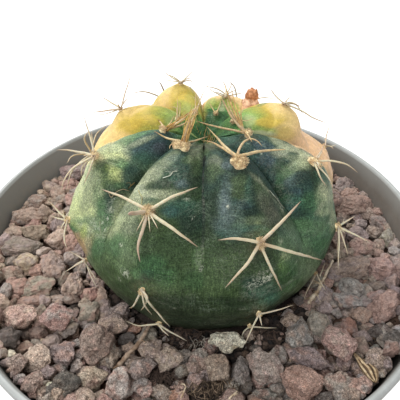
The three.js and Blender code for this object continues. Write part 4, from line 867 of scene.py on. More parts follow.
    ("G", 0.78, 12.18, -3.53, -1.62, 2.06, 1.38, "mg2", 0.65), ("F", -0.01, 11.22, -6.87, -1.30, -1.19, 2.26, "gry2", 0.6), ("G", -0.36, 11.93, 0.22, -3.69, -2.88, 1.11, "pgr2", 0.6),
    ("G", -0.81, 10.10, 3.86, -2.59, -6.32, -1.15, "yel", 0.45), ("G", -0.78, 11.90, 3.81, -3.51, -5.64, 0.58, "sage", 0.5),
    ("H", -0.76, 5.83, 5.20, 1.75, -0.93, -0.88, "gra", 0.5), ("H", -0.78, 6.55, 6.24, 1.23, -1.30, -1.65, "gra", 0.35), ("H", -0.69, 4.90, 4.78, 2.33, -0.80, -0.57, "ol3", 0.45),
    ("E", 0.59, 12.30, -0.50, 1.27, 2.34, 1.96, "lim2", 0.45), ("D", 0.09, 11.25, -1.89, 4.16, 1.69, -0.22, "crm", 0.2),
]
# scurf and scale: rib, across, height, half width, half height, strength
SCURF = [
    ("A", -.36, 7.18, .09, .12, .55), ("A", -.50, 6.80, .05, .10, .35), ("A", -.50, 8.06, .035, .07, .9), ("A", .10, 10.55, .16, .05, .4), ("A", .963, 7.75, .045, .075, .9), ("A", .95, 8.1, .10, .34, .15), ("A", .985, 9.7, .03, .8, .08), ("A", -.42, 9.62, .08, .04, .4),
    ("B", .04, 7.22, .17, .11, .95), ("B", .10, 7.33, .10, .14, .9), ("B", -.10, 7.20, .15, .30, .5), ("B", .05, 7.58, .14, .11, .4), ("A", .61, 9.82, .035, .05, .8), ("A", .78, 9.23, .02, .05, .7), ("A", .98, 10.5, .015, .06, .6), ("B", -.20, 7.22, .10, .08, .5), ("B", -.30, 6.14, .07, .04, .2), ("B", -.48, 9.6, .022, .045, 1.0), ("B", .77, 9.15, .05, .24, .55), ("B", .44, 8.3, .04, .05, .6),
    ("B", -.05, 6.75, .32, .35, .16), ("B", .55, 6.5, .3, .12, .2), ("C", .92, 8.2, .07, .8, .14), ("C", .80, 8.6, .05, .30, .25), ("C", .70, 7.9, .2, .05, .35), ("H", -.45, 5.6, .3, .25, .15), ("H", -.9, 9.2, .1, .6, .10),
    ("A", -.75, 9.0, .14, .04, .35), ("C", .55, 6.2, .1, .4, .2), ("A", .3, 6.7, .5, .5, .07), ("B", -.4, 7.9, .4, .6, .06), ("A", .2, 10.4, .5, .7, .07), ("H", -.5, 10.5, .5, .9, .06),
]


def rib_mask(k, t, v, name, t0, v0, rt, rv, turn, soft=.32, warp=None):
    """1 inside an ellipse on the named rib, with a feathered and broken edge. It also reaches over the furrows onto the next ribs."""
    r0 = RIB_OF[name]
    across = t.copy()
    across = np.where(k == (r0 + 1) % 8, t + 2, np.where(k == (r0 - 1) % 8, t - 2, t))
    near = (k == r0) | (k == (r0 + 1) % 8) | (k == (r0 - 1) % 8)
    x, y = across - t0 + warp[0] * min(1.0, rt * 2.2), v - v0 + warp[1] * min(1.0, rv * 1.3)
    c, s = math.cos(math.radians(turn)), math.sin(math.radians(turn))
    x, y = x * c + y * .22 * s, -x * s * 4.5 + y * c
    d = np.sqrt((x / rt) ** 2 + (y / rv) ** 2)
    return np.where(near, smooth(1 + soft, 1 - soft, d), 0)


def front_mask(k, t, v, patch, warp):
    """1 inside a skewed ellipse on one rib. It spills only a little over the furrow beside it."""
    name, t0, v0, a, b, c, d = patch[:7]
    r0 = RIB_OF[name]
    across = np.where(k == (r0 + 1) % 8, t + 2, np.where(k == (r0 - 1) % 8, t - 2, t))
    near = (k == r0) | (k == (r0 + 1) % 8) | (k == (r0 - 1) % 8)
    dt, dv = across - t0, v - v0
    x, y = a * dt + b * dv, c * dt + d * dv
    x, y = x + warp[0], y + warp[1]
    over = np.maximum(np.abs(across) - 1, 0)
    # where the furrow is shallow the colour runs on across it
    run = .07 + .33 * np.maximum(smooth(8.2, 6.8, v), ((name == "A") & (across > 0)) | ((name == "B") & (across < 0)))
    return np.where(near, smooth(1.42, .60, np.sqrt(x * x + y * y)) * np.exp(-((over / run) ** 2)), 0)


def build_stem():
    per = 50
    s = np.linspace(-1, 1, per + 1)[:-1]
    across = np.sign(s) * (1 - (1 - np.abs(s)) ** 1.3)
    heights = np.concatenate([np.linspace(.35, 3.2, 12), np.linspace(3.2, 13.2, 196)[1:], 14 - .8 * (1 - np.linspace(0, 1, 22)[1:-1]) ** .9])
    k = np.repeat(np.arange(8), per)[:, None] + 0 * heights[None].astype(int)
    t = np.tile(across, 8)[:, None] + 0 * heights[None]
    v = heights[None] + 0 * t
    P = np.zeros(t.shape + (3,))
    for r in range(8):
        rows = slice(r * per, (r + 1) * per)
        P[rows] = skin(r, t[rows], v[rows])
    n_col, n_row = t.shape
    # outward normals from the grid
    du = np.roll(P, -1, 0) - np.roll(P, 1, 0)
    dv = np.gradient(P, axis=1)
    N = unit(np.cross(du, dv))
    # the skin is not turned on a lathe: broad unevenness, meridional wrinkles near the foot, chagrin
    body = sm((v - 2) / 2) * sm((13.6 - v) / .8)
    relief = .16 * fbm(P / 6.5, 3, seed=3) + .055 * fbm(P / 1.9, 3, seed=5) + .030 * noise(P / .85, 8)
    wr = np.stack([np.arctan2(P[..., 0] - CX, -P[..., 1]) * 15, P[..., 2] * .16, 0 * v], -1)
    relief += .17 * fbm(wr, 3, seed=11) * smooth(8.2, 5.0, v) * sm((v - 2) / 1.5)
    wrh = np.stack([np.arctan2(P[..., 0] - CX, -P[..., 1]) * 2.5, P[..., 2] * 1.25, 0 * v], -1)
    relief += .07 * fbm(wrh, 3, seed=12) * smooth(9.5, 6.0, v) * sm((v - 2) / 1.5)
    # the furrows are pinched: a narrow seam, deeper near the crown
    # the one between the two foremost ribs is open and round at its bottom
    x = 1 - np.abs(t)
    open_ = ((k == RIB_OF["A"]) & (t > 0)) | ((k == RIB_OF["B"]) & (t < 0))
    depth = np.linalg.norm(catmull(CREST, v) - catmull(GROOVE, v), axis=-1)
    soft_w = (1 - np.abs(1 - np.sqrt(x * x + .17**2)) ** 2.3) ** .75 - (1 - np.abs(t) ** 2.3) ** .75
    relief += depth * soft_w * np.where(open_, smooth(12.8, 11.0, v), smooth(8.4, 6.8, v)) * sm((v - 3) / 2)
    seam = np.exp(-((1 - np.abs(t)) / .055) ** 2) * np.where(open_, smooth(10.5, 12.5, v), 1.0)
    relief -= seam * (.02 + .05 * smooth(7.0, 9.0, v) + .26 * smooth(9.5, 12.0, v)) * sm((v - 4) / 1.5)
    # ground colour
    wx = .10 * fbm(np.stack([t * 2.2 + k * 7.1, v * .9, 0 * v], -1), 4, seed=21) + .035 * fbm(np.stack([t * 9 + k * 3.3, v * 3, 0 * v], -1), 3, seed=22)
    wy = .38 * fbm(np.stack([t * 2.0 + k * 5.7, v * .8, 0 * v + 4], -1), 4, seed=23) + .10 * fbm(np.stack([t * 9 + k * 3.3, v * 3.2, 0 * v + 7], -1), 3, seed=24)
    near_crease = smooth(1.0, .76, np.abs(t))      # the patterns of the two ribs meet in the furrow between them
    wx, wy = wx * near_crease, wy * near_crease
    col = np.zeros(t.shape + (3,))
    vw = np.clip(v + wy * .8, 0, 14)
    grounds = []
    for name, *_ in RIBS:
        g = GROUND[name]
        grounds.append(np.stack([np.interp(vw, [p[0] for p in g], [C[p[1]][i] for p in g]) for i in range(3)], -1))
    grounds = np.array(grounds)
    idx = k
    own = np.take_along_axis(grounds, idx[None, ..., None], 0)[0]
    nxt = np.where(t > 0, (k + 1) % 8, (k - 1) % 8)
    other = np.take_along_axis(grounds, nxt[None, ..., None], 0)[0]
    blend = (.5 * smooth(.62, 1.0, np.abs(t) + wx * 1.5))[..., None]
    col = own * (1 - blend) + other * blend
    for (name, t0, v0, rt, rv, turn, c, a) in PATCHES:
        m = rib_mask(k, t, v, name, t0, v0, rt, rv, turn, .30, (wx, wy)) * a
        col = col * (1 - m[..., None]) + C[c] * m[..., None]
    w1 = .20 * fbm(P / 2.6, 3, seed=51) + .10 * fbm(P / .7, 2, seed=52)
    w2 = .20 * fbm(P / 2.6 + 9, 3, seed=53) + .10 * fbm(P / .7 + 5, 2, seed=54)
    for patch in FRONT:
        m = (front_mask(k, t, v, patch, (w1, w2)) * patch[8] * (.72 if patch[7] in ("blu", "vio", "slt", "cld", "tel", "tel2") else .92))[..., None]
        col = col * (1 - m) + C[patch[7]] * m
    # the four foremost ribs are of a deeper, duller green above the foot
    deep = smooth(5.4, 7.0, v) * np.isin(k, [RIB_OF[n] for n in "ABH"]) + smooth(5.4, 7.0, v) * (k == RIB_OF["C"]) * smooth(-.5, .3, t)
    light = col @ [.3, .6, .1]
    col = col * (1 - deep * (.40 - .24 * smooth(.08, .34, light)))[..., None]
    grey = (col @ [.3, .6, .1])[..., None] * np.array([.94, 1.04, .92])
    col = col + (grey - col) * (.04 * deep)[..., None]
    col = col * (1 + (deep * (1 - smooth(.09, .26, light)))[..., None] * np.array([-.04, .08, -.08]))
    # meridional streaks of the other tissue through all of it
    st = fbm(np.stack([t * 7 + k * 11.3, v * .55, 0 * v + 2], -1), 4, seed=31) * near_crease
    lum = col @ [.3, .6, .1]
    col *= (1 + .22 * st)[..., None]
    fine = fbm(P / 1.1, 3, seed=33)
    col *= (1 + .16 * fine)[..., None]
    # painted shade: a narrow dark line along the bottom of the open furrow between A and B, broken in places
    furrow_shade = np.exp(-((x / .030) ** 2)) * open_ * smooth(8.6, 9.6, v) * smooth(-.25, .15, noise(P / .9, 46) + .3 * smooth(9.5, 11.5, v))
    col *= (1 - .62 * furrow_shade)[..., None]
    deep = (k == RIB_OF["B"]) * smooth(8.0, 8.8, v) * smooth(12.2, 11.2, v) + .6 * (k == RIB_OF["H"]) * smooth(-.15, -.4, t) * smooth(8.8, 9.4, v) * smooth(11.9, 11.2, v)
    col *= 1 - deep[..., None] * [.11, .16, .05]
    col *= 1 - (smooth(6.5, 8.0, v) * (k == RIB_OF["D"]))[..., None] * [.015, .03, .10]
    col *= 1 - (.06 * np.isin(k, [RIB_OF["D"], RIB_OF["E"]]) * smooth(9.5, 10.5, v))[..., None]
    scurf = np.zeros_like(t)
    zero = (wx * .5, wy * .4)
    for (name, t0, v0, rt, rv, a) in SCURF:
        scurf = np.maximum(scurf, a * rib_mask(k, t, v, name, t0, v0, rt, rv, 0, .5, zero))
    relief += .05 * scurf * (1 + noise(P / .5, 41))
    # thin dry scratches: start and end on a rib
    for (name, a0, b0, a1, b1, wdt, amt) in [("C", .80, 9.1, .93, 7.7, .010, .9), ("C", .90, 8.7, .78, 7.9, .008, .7), ("H", -.62, 11.2, -.50, 10.75, .010, .7), ("H", -.66, 11.6, -.52, 11.2, .008, .5), ("A", -.28, 10.9, .02, 10.55, .006, .5), ("A", .62, 12.0, .9, 10.9, .006, .4),
                                           ("C", .62, 8.05, .86, 7.55, .008, .7), ("B", .5, 7.0, .9, 7.5, .007, .4), ("A", .1, 6.6, .5, 6.2, .006, .4), ("H", -.3, 7.6, .05, 7.0, .008, .5)]:
        r0 = RIB_OF[name]
        L = np.array([a1 - a0, (b1 - b0) * .2])
        q = np.stack([t - a0, (v - b0) * .2], -1)
        f = np.clip((q @ L) / (L @ L), 0, 1)
        d = np.linalg.norm(q - f[..., None] * L, axis=-1) + .006 * np.abs(noise(P / .7, 44))
        m = np.where(k == r0, np.exp(-(d / wdt) ** 2), 0) * amt
        scurf = np.maximum(scurf, m)
    cork = smooth(4.6, 3.0, v + wy * 1.5) * .6
    for r, (name, _, _, ar) in enumerate(RIBS):
        for a in ar:
            halo = np.where(k == r, np.exp(-((t / .20) ** 2) - ((v - a) / .36) ** 2), 0)
            cork = np.maximum(cork, halo * (.22 if a < 8 else .25))
    relief *= body
    Q = P + N * relief[..., None]
    top = skin(0, 0.0, 14.0) + [0, 0, -.9]
    bottom = skin(0, 0.0, 0.0)
    # the crown's pit
    pit = smooth(13.2, 14.0, v)
    Q[..., 2] -= .9 * pit
    order = np.arange(n_col * n_row).reshape(n_col, n_row)
    a = order
    b = np.roll(order, -1, 0)
    quads = np.stack([a[:, :-1], b[:, :-1], b[:, 1:], a[:, 1:]], -1).reshape(-1, 4)
    nt, nb = n_col * n_row, n_col * n_row + 1
    tris = np.vstack([np.stack([a[:, -1], b[:, -1], np.full(n_col, nt)], -1), np.stack([b[:, 0], a[:, 0], np.full(n_col, nb)], -1)])
    two = lambda arr: np.concatenate([arr.reshape(-1), [arr.reshape(-1)[-1]] * 2])
    sh = Shell()
    sh.add(np.vstack([Q.reshape(-1, 3), top, bottom]), quads, tris,
           col=np.vstack([np.clip(col, 0.004, 1).reshape(-1, 3), C["dgr"], C["blk"]]), scurf=two(scurf), cork=two(cork), pale=two(np.clip(lum * np.where(np.isin(k, [RIB_OF[n] for n in "DEFG"]), 2.6, .9), 0, 1)))
    return place(sh.make("stem", SKIN), "stem_skin", "cactus_stem")


build_stem()


# ------------------------------------------------------------------ areoles: spines, felt and wool
# Every spine: base radius, then points sideways / towards the crown / outward from its areole, in millimetres.
SPINES = {
    "A1": [[0.34, (-0.34, -0.13, 0.5), (-3.88, 0.77, 0.25), (-5.91, -0.52, 1.24)], [0.2, (-0.39, -0.15, 0.5), (-1.63, -1.45, -0.16), (-1.23, -3.05, -0.6)], [0.36, (0.09, -0.16, 0.5), (-0.32, 1.21, 1.91), (-0.63, 2.92, 4.55), (-0.21, 4.75, 6.96)], [0.34, (0.22, 0.09, 0.5), (0.06, 1.74, 1.91), (-0.34, 3.31, 3.82), (-0.55, 5.55, 6.42)], [0.28, (0.49, 0.18, 0.5), (1.15, 3.55, 0.55), (1.69, 7.94, 0.76)]],
    "A2": [[0.42, (-0.39, 0.32, 0.5), (-5.19, 1.28, -0.12), (-10.76, 1.82, -1.35)], [0.46, (-0.21, -0.01, 0.5), (-0.86, -0.9, 2.81), (-1.06, -1.66, 5.42)], [0.42, (0.32, 0.5, 0.5), (3.67, 3.74, 0.46), (6.58, 6.73, -1.75)], [0.5, (0.47, -0.06, 0.5), (5.39, -1.65, 0.08), (9.55, -3.14, -2.59)], [0.46, (0.16, -0.26, 0.5), (0.11, -3.56, 0.37), (-0.05, -6.22, -0.51), (0.72, -8.5, -1.57)], [0.2, (-0.16, -0.28, 0.5), (-0.45, -3.9, 1.41)], [0.18, (0.31, -0.22, 0.5), (2.17, -3.26, 1.92)], [0.18, (0.51, -0.21, 0.5), (3.43, -2.42, 2.1)]],
    "A3": [[0.3, (-0.02, 0.1, 0.5), (-2.22, -4.21, 0.14), (-1.52, -2.34, 2.77)], [0.28, (0.23, 0.44, 0.5), (1.37, -0.53, 0.87), (0.12, -3.42, -0.27), (-1.99, -6.95, -1.9)], [0.32, (0.27, 0.3, 0.5), (1.4, -2.06, 0.46), (2.13, -6.22, -1.37), (5.92, -5.35, 1.58)], [0.26, (0.13, 0.11, 0.5), (0.35, -2.9, 0.45), (0.53, -7.07, -1.68)]],
    "A4": [[0.28, (0, 0.51, 0.5), (-2.05, 0.31, 1.26), (-3.81, 0.79, 1.95), (-6.01, 1.85, 2.04)], [0.26, (0.03, -0.04, 0.5), (0.88, -0.67, 1.05), (2.34, -1.34, 1.72)], [0.28, (0.26, 0.24, 0.5), (1.96, -1.04, 0.8), (5.79, -2.54, 1.38)]],
    "B1": [[0.38, (-0.33, -0.15, 0.5), (-1.02, 3.43, 0.09), (-0.67, 9.33, -2.02), (-2.41, 10.88, -1.85)], [0.4, (-0.21, -0.01, 0.5), (-0.71, 3.27, 0.45), (0.81, 11.31, -1.97), (0.76, 15.4, -2.17)], [0.34, (0.11, 0.04, 0.5), (1.24, 1.51, 0.51), (2.96, 3.1, 0.78), (4.98, 4.72, -0.05), (5.78, 3.48, -0.02), (5.96, 1.84, -0.23)], [0.46, (0.11, -0.56, 0.5), (3.32, 0.4, -0.17), (6.97, 1.42, -1.17), (10.11, 0.21, -1.15)]],
    "B2": [[0.46, (-0.36, 0.28, 0.5), (-4.01, 1.76, 1.01), (-7.43, 2.18, 0.24)], [0.46, (0.1, 0.34, 0.5), (4.2, 2.78, 0.37), (9.79, 5.48, -1.87)], [0.46, (0.11, 0.02, 0.5), (5.85, -2.89, -0.52), (15.7, -7.82, -8.33)], [0.44, (-0.36, -0.09, 0.5), (-3.29, -3.03, 0.39), (-7, -6.65, -1.65)], [0.38, (-0.16, -0.18, 0.5), (1.33, -4.55, -0.05), (4.67, -10.6, -4.61)]],
    "B3": [[0.28, (-0.24, 0.3, 0.5), (-1.79, -1.59, 1.64), (-3.99, -3.48, 3.58)], [0.26, (-0.12, 0.27, 0.5), (-0.17, -1.14, 2.26)], [0.26, (-0, 0.45, 0.5), (1.98, 0.32, 0.73), (4.21, 1, 1.16), (6.26, 1.7, 1.47)]],
    "B4": [[0.24, (0.04, 0.13, 0.5), (2.41, 0.11, 1.44), (5.11, 0.48, 2.47)], [0.22, (-0.07, -0.04, 0.5), (-1.5, -0.24, 0.91), (-2.24, -0.33, 1.82)]],
    "C1": [[0.3, (0.38, -0.57, 0.5), (-2.87, -0.38, 0.22), (-2.4, -1.28, 0.64)], [0.28, (-0.05, -0.04, 0.5), (-2.04, 1.47, 1.12), (-2.69, 1.81, 2.44)], [0.36, (0.05, 0.1, 0.5), (-0.35, 2.03, 2.38), (-0.86, 3.36, 4.27), (-1.46, 4.89, 6.42)], [0.32, (0.12, 0.21, 0.5), (-0.27, 2.79, 1.74), (-1.16, 4.62, 3.28)]],
    "C2": [[0.3, (-0.15, 0.23, 0.5), (-2.34, 1.44, 2.08), (-5.57, 3.11, 5.02)], [0.26, (-0.21, 0.22, 0.5), (-2.53, 1, 1.07), (-4.89, 2, 1.68)], [0.34, (0.15, 0.02, 0.5), (-1.24, -1.24, 1.49), (-2.59, -3.12, 3.22), (-3.43, -4.95, 4.42)], [0.34, (0.41, -0.04, 0.5), (0.32, -2.24, 1.09), (1.16, -4.71, 1.89), (2.73, -6.98, 1.94), (4.39, -8.28, 1.47)], [0.3, (0.65, 0.01, 0.5), (1.91, -1.42, 0.21), (2.17, -4.88, -1.63)], [0.28, (0.51, -0.05, 0.5), (0.37, -2.72, 0.37), (1.94, -4.4, -0.28)]],
    "C3": [[0.32, (-0.14, 0.15, 0.5), (-1.85, 0.79, 1.86), (-3.87, 1.81, 3.71)], [0.3, (-0.03, 0, 0.5), (-0.78, -0.29, 1.46), (-1.88, -0.45, 3.28)], [0.34, (0.53, 0.15, 0.5), (1.46, -1.43, 0.85), (3.09, -2.53, 1.04), (4.84, -3.32, 0.73)]],
    "C4": [[0.28, (0.53, 0.91, 0.5), (-1.1, 1.68, 1.66), (-1.88, 2.96, 2.72)], [0.26, (-0.09, 0.08, 0.5), (-0.23, -0.02, 2.09), (-0.17, -0.32, 3.99)], [0.3, (-0.03, 0.02, 0.5), (0.15, 0.09, 2.14), (0.59, 0.14, 5.58)], [0.28, (0.16, -0.16, 0.5), (3.01, -1.76, 0.7), (5.86, -3.07, 0.52)], [0.26, (1.38, 1.13, 0.5), (2.89, -1.15, 0.21), (5.41, -1.73, -0.24)]],
    "D1": [[0.24, (0.26, -0.05, 0.5), (-1.75, -1.39, 0.64), (-3.45, -2.86, 1.21)], [0.22, (-0.08, 0.1, 0.5), (-1.72, -0.75, 0.77), (-3.17, -1.95, 1.17)], [0.24, (0.4, -0.09, 0.5), (-1.29, -1.45, 0.71), (-1.38, -2.58, -0.2)]],
    "D2": [[0.36, (-0.05, 0, 0.5), (-0.12, -1.53, 2.35), (0, -2.95, 4.15)], [0.36, (0.32, 0.06, 0.5), (1.3, -2.44, 1.28), (2.92, -5.25, 2.55)], [0.28, (-0.2, 0.21, 0.5), (-2.5, 0.78, 2.14), (-6.1, 2.04, 4.85)], [0.22, (0.46, 0.23, 0.5), (0.91, -3.23, 0.62), (1.39, -5.93, 1.24)]],
    "D3": [[0.4, (0.11, 0.49, 0.6), (0.84, 3.83, 2.4), (1.56, 7.12, 1.6)], [0.32, (0.48, 0.16, 0.6), (4.68, 1.54, 2.4), (8.71, 2.86, 1.6)], [0.3, (-0.48, 0.14, 0.6), (-4.72, 1.35, 2.4), (-8.78, 2.52, 1.6)], [0.39, (0.34, -0.36, 0.6), (3.7, -3.93, 2.4), (6.89, -7.32, 1.6)], [0.3, (-0.27, -0.42, 0.6), (-2.2, -3.35, 2.4), (-4.09, -6.22, 1.6)]],
    "D4": [[0.3, (-0, 0.5, 0.6), (-0.02, 3.54, 2.4), (-0.03, 6.58, 1.6)], [0.35, (0.41, 0.28, 0.6), (3.02, 2.06, 2.4), (5.62, 3.82, 1.6)], [0.31, (-0.44, 0.23, 0.6), (-2.96, 1.57, 2.4), (-5.51, 2.92, 1.6)], [0.34, (0.2, -0.46, 0.6), (1.61, -3.62, 2.4), (2.99, -6.74, 1.6)]],
    "E1": [[0.26, (-0.06, 0.11, 0.5), (-1.93, -2.86, -0.02), (-3.94, -5.22, -0.11)], [0.24, (0.2, 0.08, 0.5), (-0.62, -2.82, 0.62), (-1.24, -4.25, 0.08)]],
    "E2": [[0.3, (0.16, 0.14, 0.5), (1.5, -1.42, 1.03), (3.08, -2.94, 2.13)], [0.28, (-0.21, 0.05, 0.5), (-1.66, -0.53, 1.19), (-3.33, -0.97, 2.28)], [0.22, (0.29, 0.14, 0.5), (1.99, -2.16, 0.08), (3.39, -3.82, -0.07)], [0.24, (-0.07, 0.27, 0.5), (-2.11, -0.78, 0.14), (-3.62, -1.57, -1.44)]],
    "E3": [[0.39, (0.16, 0.47, 0.6), (1.32, 4.01, 2.4), (2.46, 7.45, 1.6)], [0.36, (0.45, 0.21, 0.6), (4.73, 2.23, 2.4), (8.8, 4.15, 1.6)], [0.34, (-0.47, 0.16, 0.6), (-3.69, 1.29, 2.4), (-6.87, 2.39, 1.6)], [0.32, (0.29, -0.41, 0.6), (3.04, -4.31, 2.4), (5.65, -8.02, 1.6)], [0.33, (-0.27, -0.42, 0.6), (-2.08, -3.24, 2.4), (-3.87, -6.04, 1.6)]],
    "E4": [[0.38, (0.12, 0.48, 0.6), (0.74, 2.92, 2.4), (1.38, 5.43, 1.6)], [0.35, (0.46, 0.19, 0.6), (3.8, 1.54, 2.4), (7.06, 2.87, 1.6)], [0.36, (-0.46, 0.19, 0.6), (-3.37, 1.4, 2.4), (-6.27, 2.6, 1.6)], [0.31, (0.22, -0.45, 0.6), (1.52, -3.03, 2.4), (2.83, -5.64, 1.6)]],
    "F1": [[0.22, (0.07, 0.28, 0.5), (1.18, -0.9, 0.95), (1.92, -1.67, 1.69)], [0.22, (-0.21, 0.12, 0.5), (-0.39, -1.9, 1.19), (-0.11, -3.01, 2.02)]],
    "F2": [[0.3, (-0.06, 0.38, 0.5), (0.34, -1.58, 1.46), (1.57, -2.53, 2.66)], [0.28, (-0.2, 0.17, 0.5), (-0.47, -2.07, 1.22), (-0.79, -3.46, 2.04)], [0.26, (0.29, 0.34, 0.5), (2.6, -0.03, 0.84), (4.17, -0.43, 1.67)], [0.26, (-0.27, -0.09, 0.5), (-2.49, -1.97, -0.08), (-3.71, -3.79, -0.62)]],
    "F3": [[0.34, (0.14, 0.48, 0.6), (1.24, 4.36, 2.4), (2.31, 8.1, 1.6)], [0.38, (0.45, 0.22, 0.6), (4.92, 2.43, 2.4), (9.16, 4.52, 1.6)], [0.31, (-0.46, 0.19, 0.6), (-5.08, 2.06, 2.4), (-9.45, 3.83, 1.6)], [0.29, (0.23, -0.45, 0.6), (2.18, -4.3, 2.4), (4.05, -8, 1.6)], [0.34, (-0.36, -0.35, 0.6), (-3.35, -3.22, 2.4), (-6.24, -5.99, 1.6)]],
    "F4": [[0.34, (-0, 0.5, 0.6), (-0, 3.64, 2.4), (-0, 6.77, 1.6)], [0.28, (0.45, 0.21, 0.6), (2.85, 1.32, 2.4), (5.29, 2.46, 1.6)], [0.3, (-0.42, 0.27, 0.6), (-3.14, 1.99, 2.4), (-5.84, 3.71, 1.6)], [0.38, (0.26, -0.42, 0.6), (1.49, -2.39, 2.4), (2.77, -4.45, 1.6)]],
    "G1": [[0.22, (-0.14, 0.07, 0.5), (-0.19, -1.92, 0.52), (1.37, -3.45, -0.34)], [0.2, (-0.35, -0.07, 0.5), (-1.98, -2.12, -0.29), (-2.29, -3.61, -0.82)]],
    "G2": [[0.3, (0.31, 0.27, 0.5), (1.88, 1.31, 1.3), (3.38, 2.2, 2.45)], [0.3, (-0.28, 0.24, 0.5), (-0.65, -0.93, 0.95), (-2.32, -2.54, 0.66)], [0.3, (-0.43, 0.02, 0.5), (-1.18, -2.05, 0.5), (-2.81, -3.34, -0.94)], [0.34, (-0.44, 0.1, 0.5), (-2.29, -2.93, -0.3), (-4.04, -5.24, -1.2), (-5.99, -7.87, -1.71)]],
    "G3": [[0.3, (-0.33, 0.53, 0.5), (1.34, 1.04, 2.22), (2.4, 1.87, 4.08)], [0.3, (-0.07, -0.07, 0.5), (-0.59, -0.72, 1.24), (-0.93, -1.17, 2.43)]],
    "G4": [[0.37, (0.06, 0.5, 0.6), (0.49, 3.96, 2.4), (0.9, 7.37, 1.6)], [0.38, (0.47, 0.16, 0.6), (3.04, 1.01, 2.4), (5.66, 1.88, 1.6)], [0.38, (-0.4, 0.3, 0.6), (-3.11, 2.33, 2.4), (-5.79, 4.34, 1.6)], [0.31, (0.28, -0.41, 0.6), (1.81, -2.65, 2.4), (3.36, -4.94, 1.6)]],
    "H1": [[0.42, (0.01, 0.06, 0.5), (0.82, 1.67, 3.03), (1.79, 2.65, 5.5), (2.56, 3.36, 7.4)], [0.4, (0.07, -0.09, 0.5), (1.27, 1.3, 2.47), (2.52, 2.5, 4.84), (3.59, 2.89, 6.3)], [0.34, (-0.15, 0.26, 0.5), (-1.23, 3.29, 2.62), (-2.1, 5.41, 4.33), (-2.84, 7.28, 5.94)], [0.26, (-0.42, -0.5, 0.5), (-2.52, -1.98, 0.47), (-4.12, -3.01, 0.33)]],
    "H2": [[0.34, (0.06, -0.06, 0.5), (1.57, -2.78, 1.72), (2.15, -5.18, 2.45), (1.97, -7.89, 2.44)], [0.3, (-0.62, 0.06, 0.5), (-2.84, -1.73, 0.42), (-2.99, -4.26, -0.64)], [0.28, (-0.57, -0.07, 0.5), (-1.51, -3.67, 0.05), (-2.61, -5.86, -0.76)], [0.3, (0.23, 0.27, 0.5), (2.41, -0.03, 1.08), (4.55, 0.13, 1.64)]],
    "H3": [[0.34, (0.21, 0.25, 0.5), (1.38, 0.52, 1.58), (2.78, 1.02, 3.2)], [0.36, (0.05, -0, 0.5), (0.11, -1.16, 2.65), (-0.1, -3.12, 6.5)], [0.3, (-0.05, -0.08, 0.5), (-1.74, -1.8, 1.68), (-4.15, -3.66, 2.91)], [0.34, (-0.45, 0.18, 0.5), (-3.02, -2.28, 0.94), (-7.42, -4.88, 1.54)], [0.28, (-0.49, 0.29, 0.5), (-2.15, -2.07, 0.67), (-4, -3.61, 0.71)]],
    "H4": [[0.26, (-3.22, 3.56, 0.5), (0.49, 0.95, 1.22), (1.59, 2.89, 0.76)], [0.24, (-0.12, -0.12, 0.5), (-3.57, -2.79, 0.47), (-5.82, -4.37, 0.94)], [0.24, (0.03, 0.03, 0.5), (-1.42, -0.23, 2), (-2.87, -0.32, 3.77)]],
}
# half width across the rib, half height, felt height, reddish-brown share, in millimetres
SINK = {"A1": .13, "B1": .21, "H1": .12, "C1": .12}      # how far down the rib the felt has slipped below the spines
PADS = {"A1": (1.65, 1.10, .38, .24), "A2": (1.10, 1.20, .58, .18), "A3": (.55, .75, .42, .05), "A4": (.45, .5, .3, .1), "B1": (1.5, 1.35, .34, .50), "B2": (.62, 1.10, .50, .25), "B3": (.5, .62, .38, .05), "B4": (.4, .45, .3, .1),
        "H1": (.9, .75, .5, .25), "H2": (.8, 1.5, .6, .2), "H3": (.55, 1.1, .45, .2), "C1": (.75, .65, .45, .2), "C2": (.75, .9, .5, .2), "C3": (.6, .8, .45, .2)}


